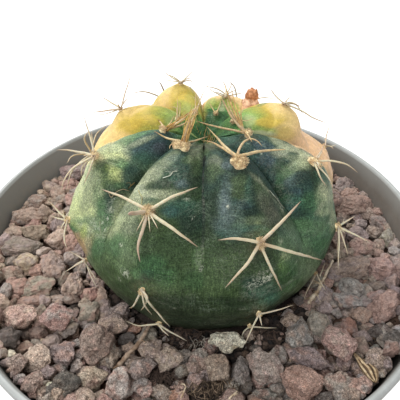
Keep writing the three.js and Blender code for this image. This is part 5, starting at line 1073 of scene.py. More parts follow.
def areole_wool(key, P, S, U, N, seed):
    su, uu, h, brown = PADS.get(key, (.44, .46, .24, .1))
    g = np.random.default_rng(seed)
    sh = Shell()
    # the felt cushion
    big = key in ("A1", "B1", "A2", "B2")
    nr, na = (20, 64) if big else (9, 28)
    rr = np.linspace(0, 1, nr + 1)[1:]
    aa = np.arange(na) * 2 * np.pi / na
    R, A = np.meshgrid(rr, aa, indexing="ij")
    lob = 1 + .10 * np.sin(3 * A + seed) + .07 * np.sin(5 * A + 2 * seed)
    x, y = R * lob * su * np.cos(A), R * lob * uu * np.sin(A)
    z = h * (1 - R**2.2) ** .75 - .28 * R**4
    pts = P + x[..., None] * S + y[..., None] * U + (z + .30)[..., None] * N
    pts = pts + N * (.10 * fbm(pts / .42, 2, seed=seed))[..., None]
    if big:
        # matted strands that run outwards, and tufts between them
        mat = noise(np.stack([A * 5.5 + .8 * np.sin(R * 5), R * 1.6, 0 * R + seed], -1), 7) + .6 * noise(np.stack([A * 11, R * 3.2, 0 * R], -1), 9)
        pts = pts + N * (.17 * mat * smooth(0, .25, R) * h / .5)[..., None] + .09 * np.stack([noise(pts / .30 + o, seed) for o in (0, 9, 23)], -1)
    top = P + (h + .32) * N
    # underside, sunk in the skin
    low = P + .9 * x[-1][:, None] * S + .9 * y[-1][:, None] * U - .75 * N
    v = np.vstack([pts.reshape(-1, 3), low, top, P - .8 * N])
    i, j = np.meshgrid(np.arange(nr - 1), np.arange(na), indexing="ij")
    j2 = (j + 1) % na
    q = np.stack([i * na + j, (i + 1) * na + j, (i + 1) * na + j2, i * na + j2], -1).reshape(-1, 4)
    js = np.arange(na)
    last = (nr - 1) * na
    q = np.vstack([q, np.stack([last + js, nr * na + js, nr * na + (js + 1) % na, last + (js + 1) % na], -1)])
    ti, bi = (nr + 1) * na, (nr + 1) * na + 1
    t = np.vstack([np.stack([np.full(na, ti), js, (js + 1) % na], -1), np.stack([np.full(na, bi), nr * na + (js + 1) % na, nr * na + js], -1)])
    spots = smooth(.05, .45, fbm(v / .8, 2, seed=seed + 5)) * brown * 1.6
    sh.add(v, q, t, brown=np.clip(spots, 0, 1))
    # short wool that stands out of it
    m = 460 if big else 150
    a, r = g.uniform(0, 2 * np.pi, m), np.sqrt(g.uniform(0, 1, m))
    zz = h * (1 - r**2.2) ** .75
    root = P + (r * su * np.cos(a))[:, None] * S + (r * uu * np.sin(a))[:, None] * U + (zz + .18)[:, None] * N
    out = (r * np.cos(a))[:, None] * S + (r * np.sin(a))[:, None] * U + (.75 + .5 * (1 - r))[:, None] * N
    out = unit(out + g.normal(0, .38, (m, 3)))
    ln = g.uniform(.35, .80, m) * (.78 if big else min(1.0, .25 + .95 * h))
    tip = root + out * ln[:, None]
    bend = g.normal(0, .22, (m, 3)) * ln[:, None]
    hv, hq, ht, al = hairs(root, tip, bend, g.uniform(.026, .045, m))
    sh.add(hv, hq, ht, brown=np.repeat(np.where(g.random(m) < brown * .5, .7, 0.0), 10))
    return sh


def spine_radius(s):
    """A swollen foot, a long even shaft and a sharp point."""
    return (1 + .16 * np.exp(-(s / .03) ** 2)) * np.maximum(1 - s**2.6, 0) ** .62 * (1 - .18 * s)


SLIM = {"A": .70, "B": .70, "C": .66, "H": .66, "D": .58, "E": .55, "F": .58, "G": .58}      # how slender the spines of each rib are


def build_areoles():
    number = 0
    for k, (name, _, _, ar) in enumerate(RIBS):
        for j, v in enumerate(ar):
            key = f"{name}{j + 1}"
            P, S, U, N = areole_frame(k, v)
            number += 1
            wool = areole_wool(key, *(areole_frame(k, v - SINK[key]) if key in SINK else (P, S, U, N)), 100 + number)
            w = wool.make(f"wool_{key.lower()}", WOOL)
            place(w, "spine_straw")
            sh = Shell()
            g = np.random.default_rng(500 + number)
            for n, spine in enumerate(SPINES[key]):
                r, pts = spine[0] * SLIM[name], [P + p[0] * S + p[1] * U + p[2] * N for p in spine[1:]]
                start = pts[0] - unit(pts[1] - pts[0]) * .35
                rings = 30
                path = resample([start] + pts[1:] if len(pts) > 1 else [start, pts[0]], rings, wobble=.10, seed=number * 31 + n)
                s = np.linspace(0, 1, rings)
                rad = np.maximum(r * spine_radius(s), .018) * (1 + .05 * np.sin(s * 37 + n))
                blunt = key == "A2" and n == 1               # this one has lost its point
                if blunt:
                    rad = np.maximum(rad, r * 1.15 * (1 - s**12))
                tv, tq, tt, al, side = tube(path, rad, 10, up=N)
                sh.add(tv, tq, tt, along=al, side=side, own=max(g.random(), 1.0 if blunt else 0.0), age=(.95 if v < 6.2 else .6 if v < 8 else .15) * g.uniform(.5, 1), gold=.55 if v > 11 else 0.0)
            # two spinelets that the areole has kept from its youth
            for n in range(2 if 6 < v < 11 and name not in "AB" else 0):
                a = g.uniform(0, 2 * math.pi)
                d = unit(math.cos(a) * S + math.sin(a) * U + g.uniform(.25, .7) * N)
                ln = g.uniform(1.6, 3.0)
                base = P + .4 * d + .55 * N
                path = resample([base, base + d * ln * .5 + N * .12, base + d * ln - N * .15], 14)
                s = np.linspace(0, 1, 14)
                tv, tq, tt, al, side = tube(path, np.maximum(.15 * spine_radius(s), .015), 7, up=N)
                sh.add(tv, tq, tt, along=al, side=side, own=g.random(), age=.3, gold=0.0)
            o = sh.make(f"spines_{key.lower()}", SPINE)
            place(o, "spine_straw", f"areole_spines_{key.lower()}")


build_areoles()


# ------------------------------------------------------------------ crown: wool and the youngest spines
def sight(px, py, y):
    """The point at depth y that shows at pixel (px, py)."""
    d = FWD + RIGHT * (px - 200) / F_PX - UP * (py - 200) / F_PX
    return EYE + d * ((y - EYE[1]) / d[1])


def build_crown():
    g = np.random.default_rng(77)
    sh = Shell()
    m = 420
    r = 1.9 * np.sqrt(g.uniform(0, 1, m))
    a = g.uniform(0, 2 * np.pi, m)
    base = np.stack([CX + r * np.cos(a), CY + r * np.sin(a)], -1)
    root = np.concatenate([base, (Z_G + 33.2 - .05 * r)[:, None]], 1)
    d = unit(np.stack([np.cos(a) * .5 + g.normal(0, .5, m), np.sin(a) * .5 + g.normal(0, .5, m), np.full(m, .9)], -1))
    ln = g.uniform(.3, .7, m)
    hv, hq, ht, _ = hairs(root, root + d * ln[:, None], g.normal(0, .35, (m, 3)) * ln[:, None], g.uniform(.024, .04, m))
    sh.add(hv, hq, ht, brown=0.0)
    # a low felt dome that the wool stands on
    v, f = ICO[4]
    dome = v * [2.0, 2.0, .6] + [CX, CY, Z_G + 33.1]
    dome = dome + v * (.2 * fbm(dome / .9, 3, seed=9))[:, None]
    sh.add(dome, None, f, brown=np.clip(smooth(.1, .5, fbm(dome / 1.2, 2, seed=4)) * .4, 0, 1))
    place(sh.make("crown_wool", CROWN_WOOL), "spine_straw")
    sp = Shell()
    # the young golden spines of the two foremost areoles lean together over the crown
    P1, S1, U1, N1 = areole_frame(RIB_OF["A"], 11.9)
    P2, S2, U2, N2 = areole_frame(RIB_OF["C"], 12.2)
    goal = sight(196, 107, P1[1] + 2.0)
    n = 0
    for P, S, U, N, many in ((P1, S1, U1, N1, 9), (P2, S2, U2, N2, 6)):
        for _ in range(many):
            b = P + S * g.uniform(-.7, .7) + U * g.uniform(-.3, .5) + N * .2
            tip = goal + np.array([g.normal(-.4, .75), g.normal(0, .7), g.uniform(-2.4, .3)])
            mid = (b + tip) / 2 + np.array([g.normal(.1, .30), g.normal(0, .35), g.uniform(0, .5)])
            path = resample([b, mid, tip], 26, .10, n)
            s = np.linspace(0, 1, 26)
            tv, tq, tt, al, sd = tube(path, np.maximum(g.uniform(.10, .16) * spine_radius(s), .014), 8, up=N)
            sp.add(tv, tq, tt, along=al, side=sd, own=.2 * g.random(), age=0.0, gold=g.uniform(.75, 1.0))
            n += 1
    # two long ones of the next areole stand up behind them
    P3, S3, U3, N3 = areole_frame(RIB_OF["H"], 12.15)
    for (px, py, back, wide) in ((224.5, 83.5, 6.8, .25), (231.0, 87.0, 6.2, .21), (241.5, 100.0, 4.5, .13)):
        tip = sight(px, py, P3[1] + back)
        b = P3 + S3 * g.uniform(-.3, .3) + U3 * .3 + N3 * .3
        mid = (b + tip) / 2 + np.array([-.35, .1, .55])
        path = resample([b, mid, tip], 30, .08, n)
        s = np.linspace(0, 1, 30)
        tv, tq, tt, al, sd = tube(path, np.maximum(wide * spine_radius(s), .014), 9, up=N3)
        sp.add(tv, tq, tt, along=al, side=sd, own=.3, age=0.0, gold=.85)
        n += 1
    # and those of the crown itself are still short
    for _ in range(12):
        a = g.uniform(0, 2 * math.pi)
        r0 = g.uniform(.4, 2.2)
        b = np.array([CX + r0 * math.cos(a), CY + r0 * math.sin(a), Z_G + 33.5])
        out = np.array([math.cos(a), math.sin(a), 0])
        ln = g.uniform(2.0, 4.2)
        tip = b + np.array([0, 0, .9]) * ln + out * ln * g.uniform(-.1, .5) + np.array([-out[1], out[0], 0]) * g.normal(0, .6)
        path = resample([b, (b + tip) / 2 + out * .3, tip], 16, .08, n)
        s = np.linspace(0, 1, 16)
        tv, tq, tt, al, sd = tube(path, np.maximum(g.uniform(.06, .10) * spine_radius(s), .014), 7, up=out)
        sp.add(tv, tq, tt, along=al, side=sd, own=.2, age=0.0, gold=.6)
        n += 1
    place(sp.make("crown_spines", SPINE), "spine_straw")


build_crown()


# ------------------------------------------------------------------ gravel
TONES = {k: lin(v) for k, v in dict(red=(180, 154, 143), brown=(176, 160, 147), tan=(186, 171, 154), grey=(168, 163, 156), mauve=(168, 155, 151), dark=(112, 107, 102), pale=(232, 230, 208), olive=(170, 164, 150), rust=(178, 142, 124)).items()}


def inner_radius(z):
    return 48.2 + (z - 68.4) * .181


def heap(x, y):
    """How much higher the stones lie where they are banked up against the front of the wall."""
    r = math.hypot(x, y)
    husk = 1 - .72 * math.exp(-((x - 32.2) ** 2 + (y + 32.5) ** 2) / 20.0)
    return float(3.7 * smooth(41.5, 48.2, r) * smooth(.0, .5, -y / max(r, 1.0)) * husk)


def stone(centre, size, turn, seed, level=3, tone="brown", rough=1.0):
    """A craggy, blistered lump of lava of the given length, width and height."""
    g = np.random.default_rng(seed)
    v, f = ICO[level]
    o = g.uniform(-40, 40, 3)
    # broken on all sides: planes at uneven distances with worn edges, and a few bites out of them
    m = int(g.integers(9, 14))
    ga = np.arange(m) * 2.399963 + g.uniform(0, 6)
    gz = 1 - 2 * (np.arange(m) + .5) / m
    nrm = np.stack([np.sqrt(1 - gz * gz) * np.cos(ga), np.sqrt(1 - gz * gz) * np.sin(ga), gz], -1)
    nrm = unit(unit(nrm @ np.linalg.qr(g.normal(0, 1, (3, 3)))[0]) + g.normal(0, .24, (m, 3)))
    dist = g.uniform(.60, 1.0, m)
    dot = np.maximum(v @ nrm.T, 1e-6) / dist
    p = 11.0
    r = np.sum(dot**p, 1) ** (-1 / p)
    r = np.clip(r, .50, 1.30)
    q = v * r[:, None]
    for _ in range(3):
        c0 = unit(g.normal(0, 1, 3)) * g.uniform(.85, 1.1)
        rad = g.uniform(.35, .60)
        bite = np.maximum(rad - np.linalg.norm(q - c0, axis=1), 0)
        q = q - unit(c0)[None] * (bite * .50 * rough)[:, None]
    q = q * (1 + .15 * rough * fbm(q * 1.7 + o, 3, seed=seed % 97))[:, None]
    q = q + .075 * rough * np.stack([noise(q * 2.4 + o + s, seed % 89) for s in (0, 17, 41)], -1)
    craggy = .060 * noise(q * 3.9 + o, seed % 79) * rough
    if level >= 3:
        craggy = craggy + .046 * noise(q * 7.1 + o, seed % 73) * rough
    if level >= 4:
        craggy = craggy + .032 * noise(q * 12.5 + o, seed % 67) * rough
    q = q + v * craggy[:, None]
    # pit: where the surface sinks in, darkened later as painted shade
    pit = smooth(-.01, -.075, craggy) * .8
    if level >= 3:
        f1, _ = cells(q * 2.9 + o, seed % 83)
        hole = smooth(.34, .10, f1) * smooth(.0, .3, noise(q * 1.1 + 5, seed % 71))
        q = q - v * (.10 * rough * hole)[:, None]
        pit = np.maximum(pit, hole)
    lo, hi = q.min(0), q.max(0)
    q = (q - (lo + hi) / 2) / (hi - lo) * np.asarray(size, float)
    # a small tilt, then the turn
    tx, ty = g.normal(0, .16, 2)
    cz, sz = math.cos(math.radians(turn)), math.sin(math.radians(turn))
    cx_, sx_ = math.cos(tx), math.sin(tx)
    cy_, sy_ = math.cos(ty), math.sin(ty)
    rot = np.array([[cz, -sz, 0], [sz, cz, 0], [0, 0, 1]]) @ np.array([[cy_, 0, sy_], [0, 1, 0], [-sy_, 0, cy_]]) @ np.array([[1, 0, 0], [0, cx_, -sx_], [0, sx_, cx_]])
    q = q @ rot.T + np.asarray(centre, float)
    col = TONES[tone] * (1 + g.normal(0, .12)) * (1 + g.normal(0, .018, 3))
    # a second kind of rock runs through it in veins and blotches
    other = TONES[("red", "brown", "mauve", "tan", "grey", "red")[int(g.integers(6))]]
    vein = ((.2 if tone in ("pale", "dark") else .75) * smooth(-.05, .30, fbm(q / 1.7 + o, 3, seed=seed % 43)))[:, None]
    shade = 1 + .26 * fbm(q / 1.3, 3, seed=seed % 47)
    return q, f, np.clip((col[None] * (1 - vein) + other * vein) * shade[:, None], .01, 1), pit


# where the dry husk lies, from its cut end to its tip
HUSK_LINE = [on_level(353.5, 352.5, Z_G + 3.7), on_level(361, 361, Z_G + 4.5), on_level(369.5, 370, Z_G + 4.9), on_level(376, 382.5, Z_G + 5.6)]
# the larger loose stones of the construction, in its own places: node, pixel, length, width, height, turn, tone
LOOSE = [("pale_pebble", 227, 342, 7.7, 3.9, 3.3, 0, "pale"), ("lava_pebble_1", 266, 366, 6.9, 7.3, 5.6, 12, "brown"), ("lava_pebble_2", 217, 367, 5.2, 5.2, 4.3, -10, "brown"), ("lava_pebble_3", 303, 384, 8.0, 6.9, 5.6, 10, "red"),
         ("lava_pebble_4", 338, 341, 6.7, 7.2, 5.6, -15, "red"), ("lava_pebble_5", 95, 344, 6.6, 8.2, 6.2, -14, "brown"), ("lava_pebble_6", 57, 317, 6.9, 6.3, 4.6, 8, "red"), ("lava_pebble_7", 34, 357, 7.4, 6.6, 5.0, 5, "tan"),
         ("lava_pebble_8", 143, 368, 5.2, 4.4, 3.6, 0, "mauve"), ("lava_pebble_9", 17, 316, 9.0, 6.4, 4.6, 0, "red"), ("lava_pebble_10", 308, 358, 9.0, 4.7, 3.8, -24, "mauve")]
SLOT_OF = {"pale_pebble": "pale_stone", "lava_pebble_1": "lava_brown", "lava_pebble_2": "lava_brown", "lava_pebble_3": "lava_red", "lava_pebble_4": "lava_red", "lava_pebble_5": "lava_brown", "lava_pebble_6": "lava_red",
           "lava_pebble_7": "lava_brown", "lava_pebble_8": "lava_grey", "lava_pebble_9": "lava_brown", "lava_pebble_10": "lava_grey"}
# how much lighter or darker a stone is than its tone
LIGHT = {"pale_pebble": (.80, .79, .78), "lava_pebble_1": (1.26, 1.36, 1.42), "lava_pebble_3": (1.14, 1.14, 1.12), "lava_pebble_4": (.94, .96, .98)}
# the other stones that lie on top: pixel, width and height in pixels, turn, tone
SEEN = [
    (68, 330, 20, 17, 0, "mauve"), (73, 316, 13, 8, 10, "mauve"), (81, 323, 15, 10, 0, "grey"), (90, 311, 24, 22, 30, "olive"), (103, 309, 15, 19, 0, "mauve"), (38, 333, 18, 14, 0, "brown"), (6, 338, 28, 20, 0, "dark"),
    (11, 354, 10, 9, 0, "pale"), (63, 354, 25, 27, 10, "mauve"), (46, 342, 12, 8, 0, "tan"), (77, 344, 12, 9, 0, "grey"), (10, 367, 22, 18, 0, "brown"), (77, 367, 15, 13, 0, "mauve"), (91, 380, 30, 26, 0, "tan"),
    (64, 387, 29, 30, 0, "dark"), (30, 384, 20, 22, 0, "brown"), (42, 392, 18, 10, 0, "tan"), (46, 374, 17, 15, 0, "mauve"), (59, 369, 16, 14, 0, "grey"), (57, 396, 16, 16, 0, "tan"), (20, 378, 12, 10, 0, "mauve"),
    (118, 312, 21, 16, 0, "mauve"), (134, 329, 14, 10, 20, "rust"), (127, 338, 17, 11, 0, "dark"), (110, 357, 20, 24, 0, "brown"), (118, 386, 25, 34, 8, "grey"), (150, 352, 23, 25, 0, "tan"), (168, 357, 24, 26, 20, "tan"),
    (139, 386, 23, 15, 0, "grey"), (160, 394, 22, 16, 0, "brown"), (173, 396, 14, 12, 0, "rust"), (184, 358, 15, 16, 0, "grey"), (198, 357, 19, 15, 0, "grey"), (182, 371, 15, 15, 0, "grey"),
    (195, 381, 20, 17, 0, "mauve"), (206, 377, 13, 12, 0, "mauve"), (204, 363, 13, 12, 0, "brown"), (180, 386, 12, 10, 0, "red"), (98, 397, 20, 14, 0, "tan"), (241, 371, 20, 27, 12, "grey"),
    (298, 333, 26, 32, 15, "grey"), (318, 325, 22, 28, 0, "olive"), (265, 395, 24, 15, 0, "grey"), (278, 389, 16, 13, 0, "grey"), (232, 388, 16, 14, 0, "grey"), (308, 302, 16, 14, 0, "red"), (347, 301, 28, 15, -20, "grey"),
    (361, 317, 22, 18, 0, "red"), (384, 309, 32, 26, 0, "red"), (362, 336, 20, 14, 0, "mauve"), (379, 331, 22, 15, 0, "dark"), (345, 362, 16, 19, 0, "mauve"), (377, 361, 27, 21, -10, "tan"), (340, 385, 31, 26, 0, "olive"),
    (363, 390, 22, 20, 0, "red"), (392, 338, 18, 18, 0, "dark"), (325, 308, 17, 13, 0, "mauve"), (336, 313, 12, 9, 0, "grey"), (255, 349, 12, 8, 0, "dark"), (246, 388, 14, 12, 0, "dark"),
    (18, 213, 30, 17, 0, "brown"), (46, 213, 19, 18, 0, "brown"), (58, 226, 15, 14, 0, "mauve"), (4, 214, 14, 15, 0, "mauve"), (35, 232, 28, 15, 0, "tan"), (24, 246, 36, 17, 0, "olive"), (44, 253, 14, 12, 0, "mauve"),
    (57, 241, 22, 18, 0, "brown"), (70, 243, 16, 20, 0, "red"), (79, 251, 13, 18, 0, "mauve"), (9, 231, 18, 12, 0, "brown"), (8, 250, 20, 12, 0, "mauve"), (26, 262, 24, 20, 0, "tan"), (38, 271, 16, 15, 0, "red"),
    (53, 267, 24, 29, 15, "brown"), (73, 285, 22, 28, 0, "brown"), (10, 274, 24, 13, 0, "brown"), (20, 288, 23, 17, 0, "red"), (40, 287, 33, 20, 0, "olive"), (4, 292, 14, 15, 0, "grey"), (88, 296, 19, 15, 0, "red"),
    (28, 301, 30, 11, 0, "red"), (60, 299, 26, 10, 0, "mauve"), (97, 284, 14, 12, 0, "mauve"), (352, 206, 38, 22, 0, "red"), (368, 214, 18, 13, 0, "brown"), (381, 223, 16, 20, 0, "mauve"), (374, 233, 17, 15, 0, "brown"),
    (392, 238, 16, 19, 0, "olive"), (363, 247, 26, 16, 0, "red"), (349, 254, 16, 10, 0, "brown"), (347, 268, 40, 22, 0, "brown"), (384, 270, 34, 25, -20, "red"), (396, 252, 12, 15, 0, "grey"), (326, 290, 26, 24, 0, "mauve"),
    (351, 288, 23, 21, -20, "grey"), (382, 298, 26, 14, 0, "red"), (337, 276, 24, 12, 0, "mauve"), (396, 292, 12, 14, 0, "mauve"), (366, 292, 14, 14, 0, "grey"), (340, 222, 14, 12, 0, "dark"),
    (43, 184, 20, 14, 0, "brown"), (66, 170, 21, 18, 0, "mauve"), (70, 186, 20, 14, 0, "red"), (45, 194, 15, 11, 0, "tan"), (32, 202, 20, 14, 0, "brown"), (62, 201, 24, 13, 0, "tan"), (49, 203, 14, 10, 0, "brown"),
    (355, 183, 21, 17, 0, "mauve"), (346, 196, 24, 14, 0, "red"), (372, 187, 14, 11, 0, "red"), (364, 198, 16, 12, 0, "mauve"), (376, 204, 12, 10, 0, "brown"), (56, 153, 12, 9, 0, "brown"), (92, 137, 12, 9, 0, "red"),
]


def build_gravel():
    taken = []                                     # x, y, radius of what already lies on the bed
    for i, (node, px, py, a, b, c, turn, tone) in enumerate(LOOSE):
        z = Z_G + 2.0 + c * .525
        p = on_level(px, py, z)
        p = np.array([round(p[0], 1), round(p[1], 1), z])
        fit = .86 if node == "lava_pebble_7" else 1.0
        tall = 1.22 if node == "pale_pebble" else 1.0
        v, f, col, pit = stone(p - [0, 0, c * .5 * (1 - fit * tall)], (a * 1.02 * fit, b * 1.02 * fit * tall, c * 1.04 * fit * tall), turn, 900 + i, 4, tone, .9 * tall**1.5)
        col = np.clip(col * LIGHT.get(node, (1.0, 1.0, 1.0)), .01, 1)
        if node == "pale_pebble":
            # a darker hollow in its near side
            dark_hollow = np.exp(-(((v[:, 0] - p[0] - 1.7) / .85) ** 2 + ((v[:, 2] - v[:, 2].mean() + .1) / .5) ** 2)) * (v[:, 1] < p[1])
            col = col * (1 - dark_hollow[:, None] * [.55, .62, .70])
            v = v + [0, .35, 0] * dark_hollow[:, None]
        # it lies on the stones below it: none of it hangs clear of them
        sh = Shell()
        sh.add(v - [0, 0, .25], None, f, col=col, pit=pit)
        place(sh.make(node.replace("lava_pebble", "loose_stone").replace("pale_pebble", "loose_stone_pale"), STONE, True), SLOT_OF[node], node)
        taken.append((p[0], p[1], .42 * (a + b) / 2 + .3))
    groups = {n: Shell() for n in ("front_left", "front_right", "left", "right", "back")}

    # where the potting mix shows between the stones, or rootlets and fibres lie on them
    bare = []
    for px, py, w, h in ((180, 337, 26, 11), (268, 333, 19, 15), (232, 352, 12, 8), (128, 306, 16, 9), (213, 392, 24, 9), (300, 318, 10, 9), (390, 332, 12, 8), (163, 376, 11, 8), (372, 341, 13, 6)):
        p = on_level(px, py, Z_G + 1.0)
        mm = float((p - EYE) @ FWD) / F_PX
        bare.append((p[0], p[1], w * mm, h * mm / .62))

    def group(x, y):
        if y < -abs(x) * .9:
            return "front_left" if x < 0 else "front_right"
        if y > abs(x) * .9:
            return "back"
        return "right" if x > 0 else "left"

    def lay(x, y, z, size, turn, seed, level, tone, rough=1.0):
        v, f, col, pit = stone((x, y, z), size, turn, seed, level, tone, rough)
        groups[group(x, y)].add(v, None, f, col=col, pit=pit)

    def clear(x, y, half, k=.86):
        """Between the stem and the wall, and beside what lies there."""
        rs, rp = math.hypot(x - CX, y - CY), math.hypot(x, y)
        if rs < 24.2 + half * .6 or rp > 48.3 - half:
            return False
        if any(((x - a) / c) ** 2 + ((y - b) / d) ** 2 < 1 for a, b, c, d in bare):
            return False
        return all((x - a) ** 2 + (y - b) ** 2 > (k * (r + half)) ** 2 for a, b, r in taken)

    # lines of what lies on the stones: they give way below it
    over = [np.array([(-10.1, -23.2, 75.5), (-11.7, -26.1, 75.1), (-13.9, -29.0, 74.5), (-15.7, -31.2, 74.1)]), np.array([(30.1, -6.8, 77.5), (28.1, -9.6, 75.9), (25.9, -12.9, 74.7), (23.8, -16.1, 74.1)]),
            np.array(HUSK_LINE)]

    def give_way(x, y, z, half, c):
        for line in over:
            for f in np.linspace(0, 3, 13):
                i = min(int(f), 2)
                q = line[i] + (line[i + 1] - line[i]) * (f - i)
                if math.hypot(x - q[0], y - q[1]) < half * .85 + .3:
                    z = min(z, q[2] - .35 - c * .46)
        return z

    # stones that the plant's front shows
    for i, (px, py, w, h, turn, tone) in enumerate(SEEN):
        p = on_level(px, py, Z_G + 2.2)
        mm = float((p - EYE) @ FWD) / F_PX
        el = math.atan2(EYE[2] - p[2], math.hypot(p[0] - EYE[0], p[1] - EYE[1]))
        a, hh = w * mm * 1.04, h * mm
        c = min(hh * .92, a * .95, 6.0)
        b = math.sqrt(max(hh * hh - (c * math.cos(el)) ** 2, (.35 * hh) ** 2)) / math.sin(el)
        b = min(max(b, a * .55), a * 1.35)
        z = Z_G + .55 + c * .42
        for _ in range(4):
            p = on_level(px, py, z)
            z = Z_G + .55 + c * .42 + heap(p[0], p[1])
        lift = heap(p[0], p[1])
        half = .5 * max(a, b)
        rp = math.hypot(p[0], p[1])
        if rp + half * .9 > 48.5 + .36 * lift:
            p[:2] *= (48.5 + .36 * lift - half * .9) / rp
        rs = math.hypot(p[0] - CX, p[1] - CY)
        if rs < 23.4 + .38 * b:
            p[:2] = np.array([CX, CY]) + (p[:2] - [CX, CY]) * (23.4 + .38 * b) / rs
        z = give_way(p[0], p[1], z, half, c)
        lay(p[0], p[1], z, (a * 1.08, b * 1.08, c * 1.06), turn, 2000 + i, 4 if w * h > 230 else 3, tone)
        taken.append((p[0], p[1], .40 * (a + b) / 2))
    tones = ["brown", "red", "mauve", "grey", "tan", "olive", "rust", "dark", "pale"]
    odds = np.array([.27, .24, .16, .12, .09, .05, .02, .04, .01])
    odds /= odds.sum()
    g = np.random.default_rng(31)
    count = 0
    # the small ones that have slipped against the wall
    for n in range(2400):
        half = g.uniform(1.2, 2.2) if n < 1200 else g.uniform(.7, 1.4)
        a, r = g.uniform(0, 2 * math.pi), 49.0 - 1.08 * half - g.uniform(0, .5)
        r += .36 * heap(r * math.cos(a), r * math.sin(a))
        x, y = r * math.cos(a), r * math.sin(a)
        if any((x - q[0]) ** 2 + (y - q[1]) ** 2 < (.60 * (q[2] + half)) ** 2 for q in taken):
            continue
        size = np.array([half * 2.0, half * 2.0 * g.uniform(.75, .98), half * 2.0 * g.uniform(.7, .95)])
        lay(x, y, give_way(x, y, Z_G + .9 + heap(x, y) + size[2] * .36 + g.uniform(-.2, .6), half, size[2]), size, g.uniform(0, 360), 30000 + n, 3 if half > 1.5 else 2, tones[g.choice(len(tones), p=odds)])
        taken.append((x, y, half * .95))
    # the rest of the top layer
    for n in range(5200):
        half = g.uniform(1.5, 3.3) if n < 2600 else g.uniform(.9, 1.8)
        a, r = g.uniform(0, 2 * math.pi), math.sqrt(g.uniform(24.0**2, 48.0**2))
        x, y = r * math.cos(a), r * math.sin(a)
        if not clear(x, y, half, .70):
            continue
        size = np.array([half * 2.1, half * 2.1 * g.uniform(.72, .98), half * 2.1 * g.uniform(.6, .85)])
        lay(x, y, give_way(x, y, Z_G + .45 + heap(x, y) + size[2] * .36 + g.uniform(-.6, .8), half, size[2]), size, g.uniform(0, 360), 4000 + n, 3 if half > 1.5 else 2, tones[g.choice(len(tones), p=odds)])
        taken.append((x, y, half * .95))
        count += 1
    # the layer below it, which shows in the gaps
    under = []
    for n in range(4200):
        half = g.uniform(1.4, 2.7)
        a, r = g.uniform(0, 2 * math.pi), math.sqrt(g.uniform(25.6**2, 48.0**2))
        x, y = r * math.cos(a), r * math.sin(a)
        if math.hypot(x - CX, y) < 26.2 + half * .5 or math.hypot(x, y) > 48.7 - 1.05 * half:
            continue
        if any((x - q[0]) ** 2 + (y - q[1]) ** 2 < (.74 * (q[2] + half)) ** 2 for q in under):
            continue
        under.append((x, y, half))
        lay(x, y, Z_G - .9 + heap(x, y) + g.uniform(-.35, .35) + .9 * smooth(43, 47, math.hypot(x, y)), (half * 2, half * 1.8, half * 1.6), g.uniform(0, 360), 9000 + n, 2, tones[g.choice(len(tones), p=odds)])
    # grit
    for n in range(620):
        half = g.uniform(.35, .95)
        a, r = g.uniform(0, 2 * math.pi), math.sqrt(g.uniform(25.2**2, 48.0**2))
        x, y = r * math.cos(a), r * math.sin(a)
        if math.hypot(x - CX, y) < 25.0 or math.hypot(x, y) > 48.2 - half:
            continue
        lay(x, y, Z_G + heap(x, y) + g.uniform(.1, 1.9), (half * 2, half * 1.7, half * 1.5), g.uniform(0, 360), 15000 + n, 1 if half < .6 else 2, tones[g.choice(len(tones), p=odds)])
    print("gravel: top", count, "under", len(under))
    for name, sh in groups.items():
        # the right group gets the darker copy of the lava as painted shade
        place(sh.make(f"gravel_{name}", STONE if name.startswith("front") else STONE_PAINTED_SHADE if name == "right" else STONE_WORN, True), "lava_gravel", *(["gravel_bed"] if name == "front_left" else []))


def build_bed():
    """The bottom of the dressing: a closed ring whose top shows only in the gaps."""
    seg, rows = 220, 26
    ang = np.arange(seg) * 2 * np.pi / seg
    rr = np.linspace(0, 1, rows)
    lo, hi = 26.7, inner_radius(71.0) - .25
    R = hi + (lo - hi) * rr[:, None] + 0 * ang[None]
    x, y = R * np.cos(ang), R * np.sin(ang)
    z = Z_G - .75 + .55 * fbm(np.stack([x / 2.2, y / 2.2, 0 * x], -1), 4, seed=61) + .3 * fbm(np.stack([x / .8, y / .8, 0 * x + 3], -1), 2, seed=62)
    z = z + np.vectorize(heap)(x, y) * .9
    topv = np.stack([x, y, z], -1)
    bot = [np.stack([rad * np.cos(ang), rad * np.sin(ang), 0 * ang + 63.1], -1) for rad in (lo, inner_radius(63.1) - .35)]
    v = np.vstack([topv.reshape(-1, 3), bot[0], bot[1]])
    n = rows + 2
    i, j = np.meshgrid(np.arange(n), np.arange(seg), indexing="ij")
    j2, i2 = (j + 1) % seg, (i + 1) % n
    q = np.stack([i * seg + j, i * seg + j2, i2 * seg + j2, i2 * seg + j], -1).reshape(-1, 4)
    sh = Shell()
    # painted shade: the bed is coloured darker than the stones, as it shows only in the gaps between them
    dark = np.clip(lin((112, 92, 80))[None] * (1 + .3 * noise(v / 1.3, 5))[:, None], 0, 1)
    sh.add(v, q, None, col=dark, pit=0.0)
    place(sh.make("gravel_floor", STONE), "lava_gravel")


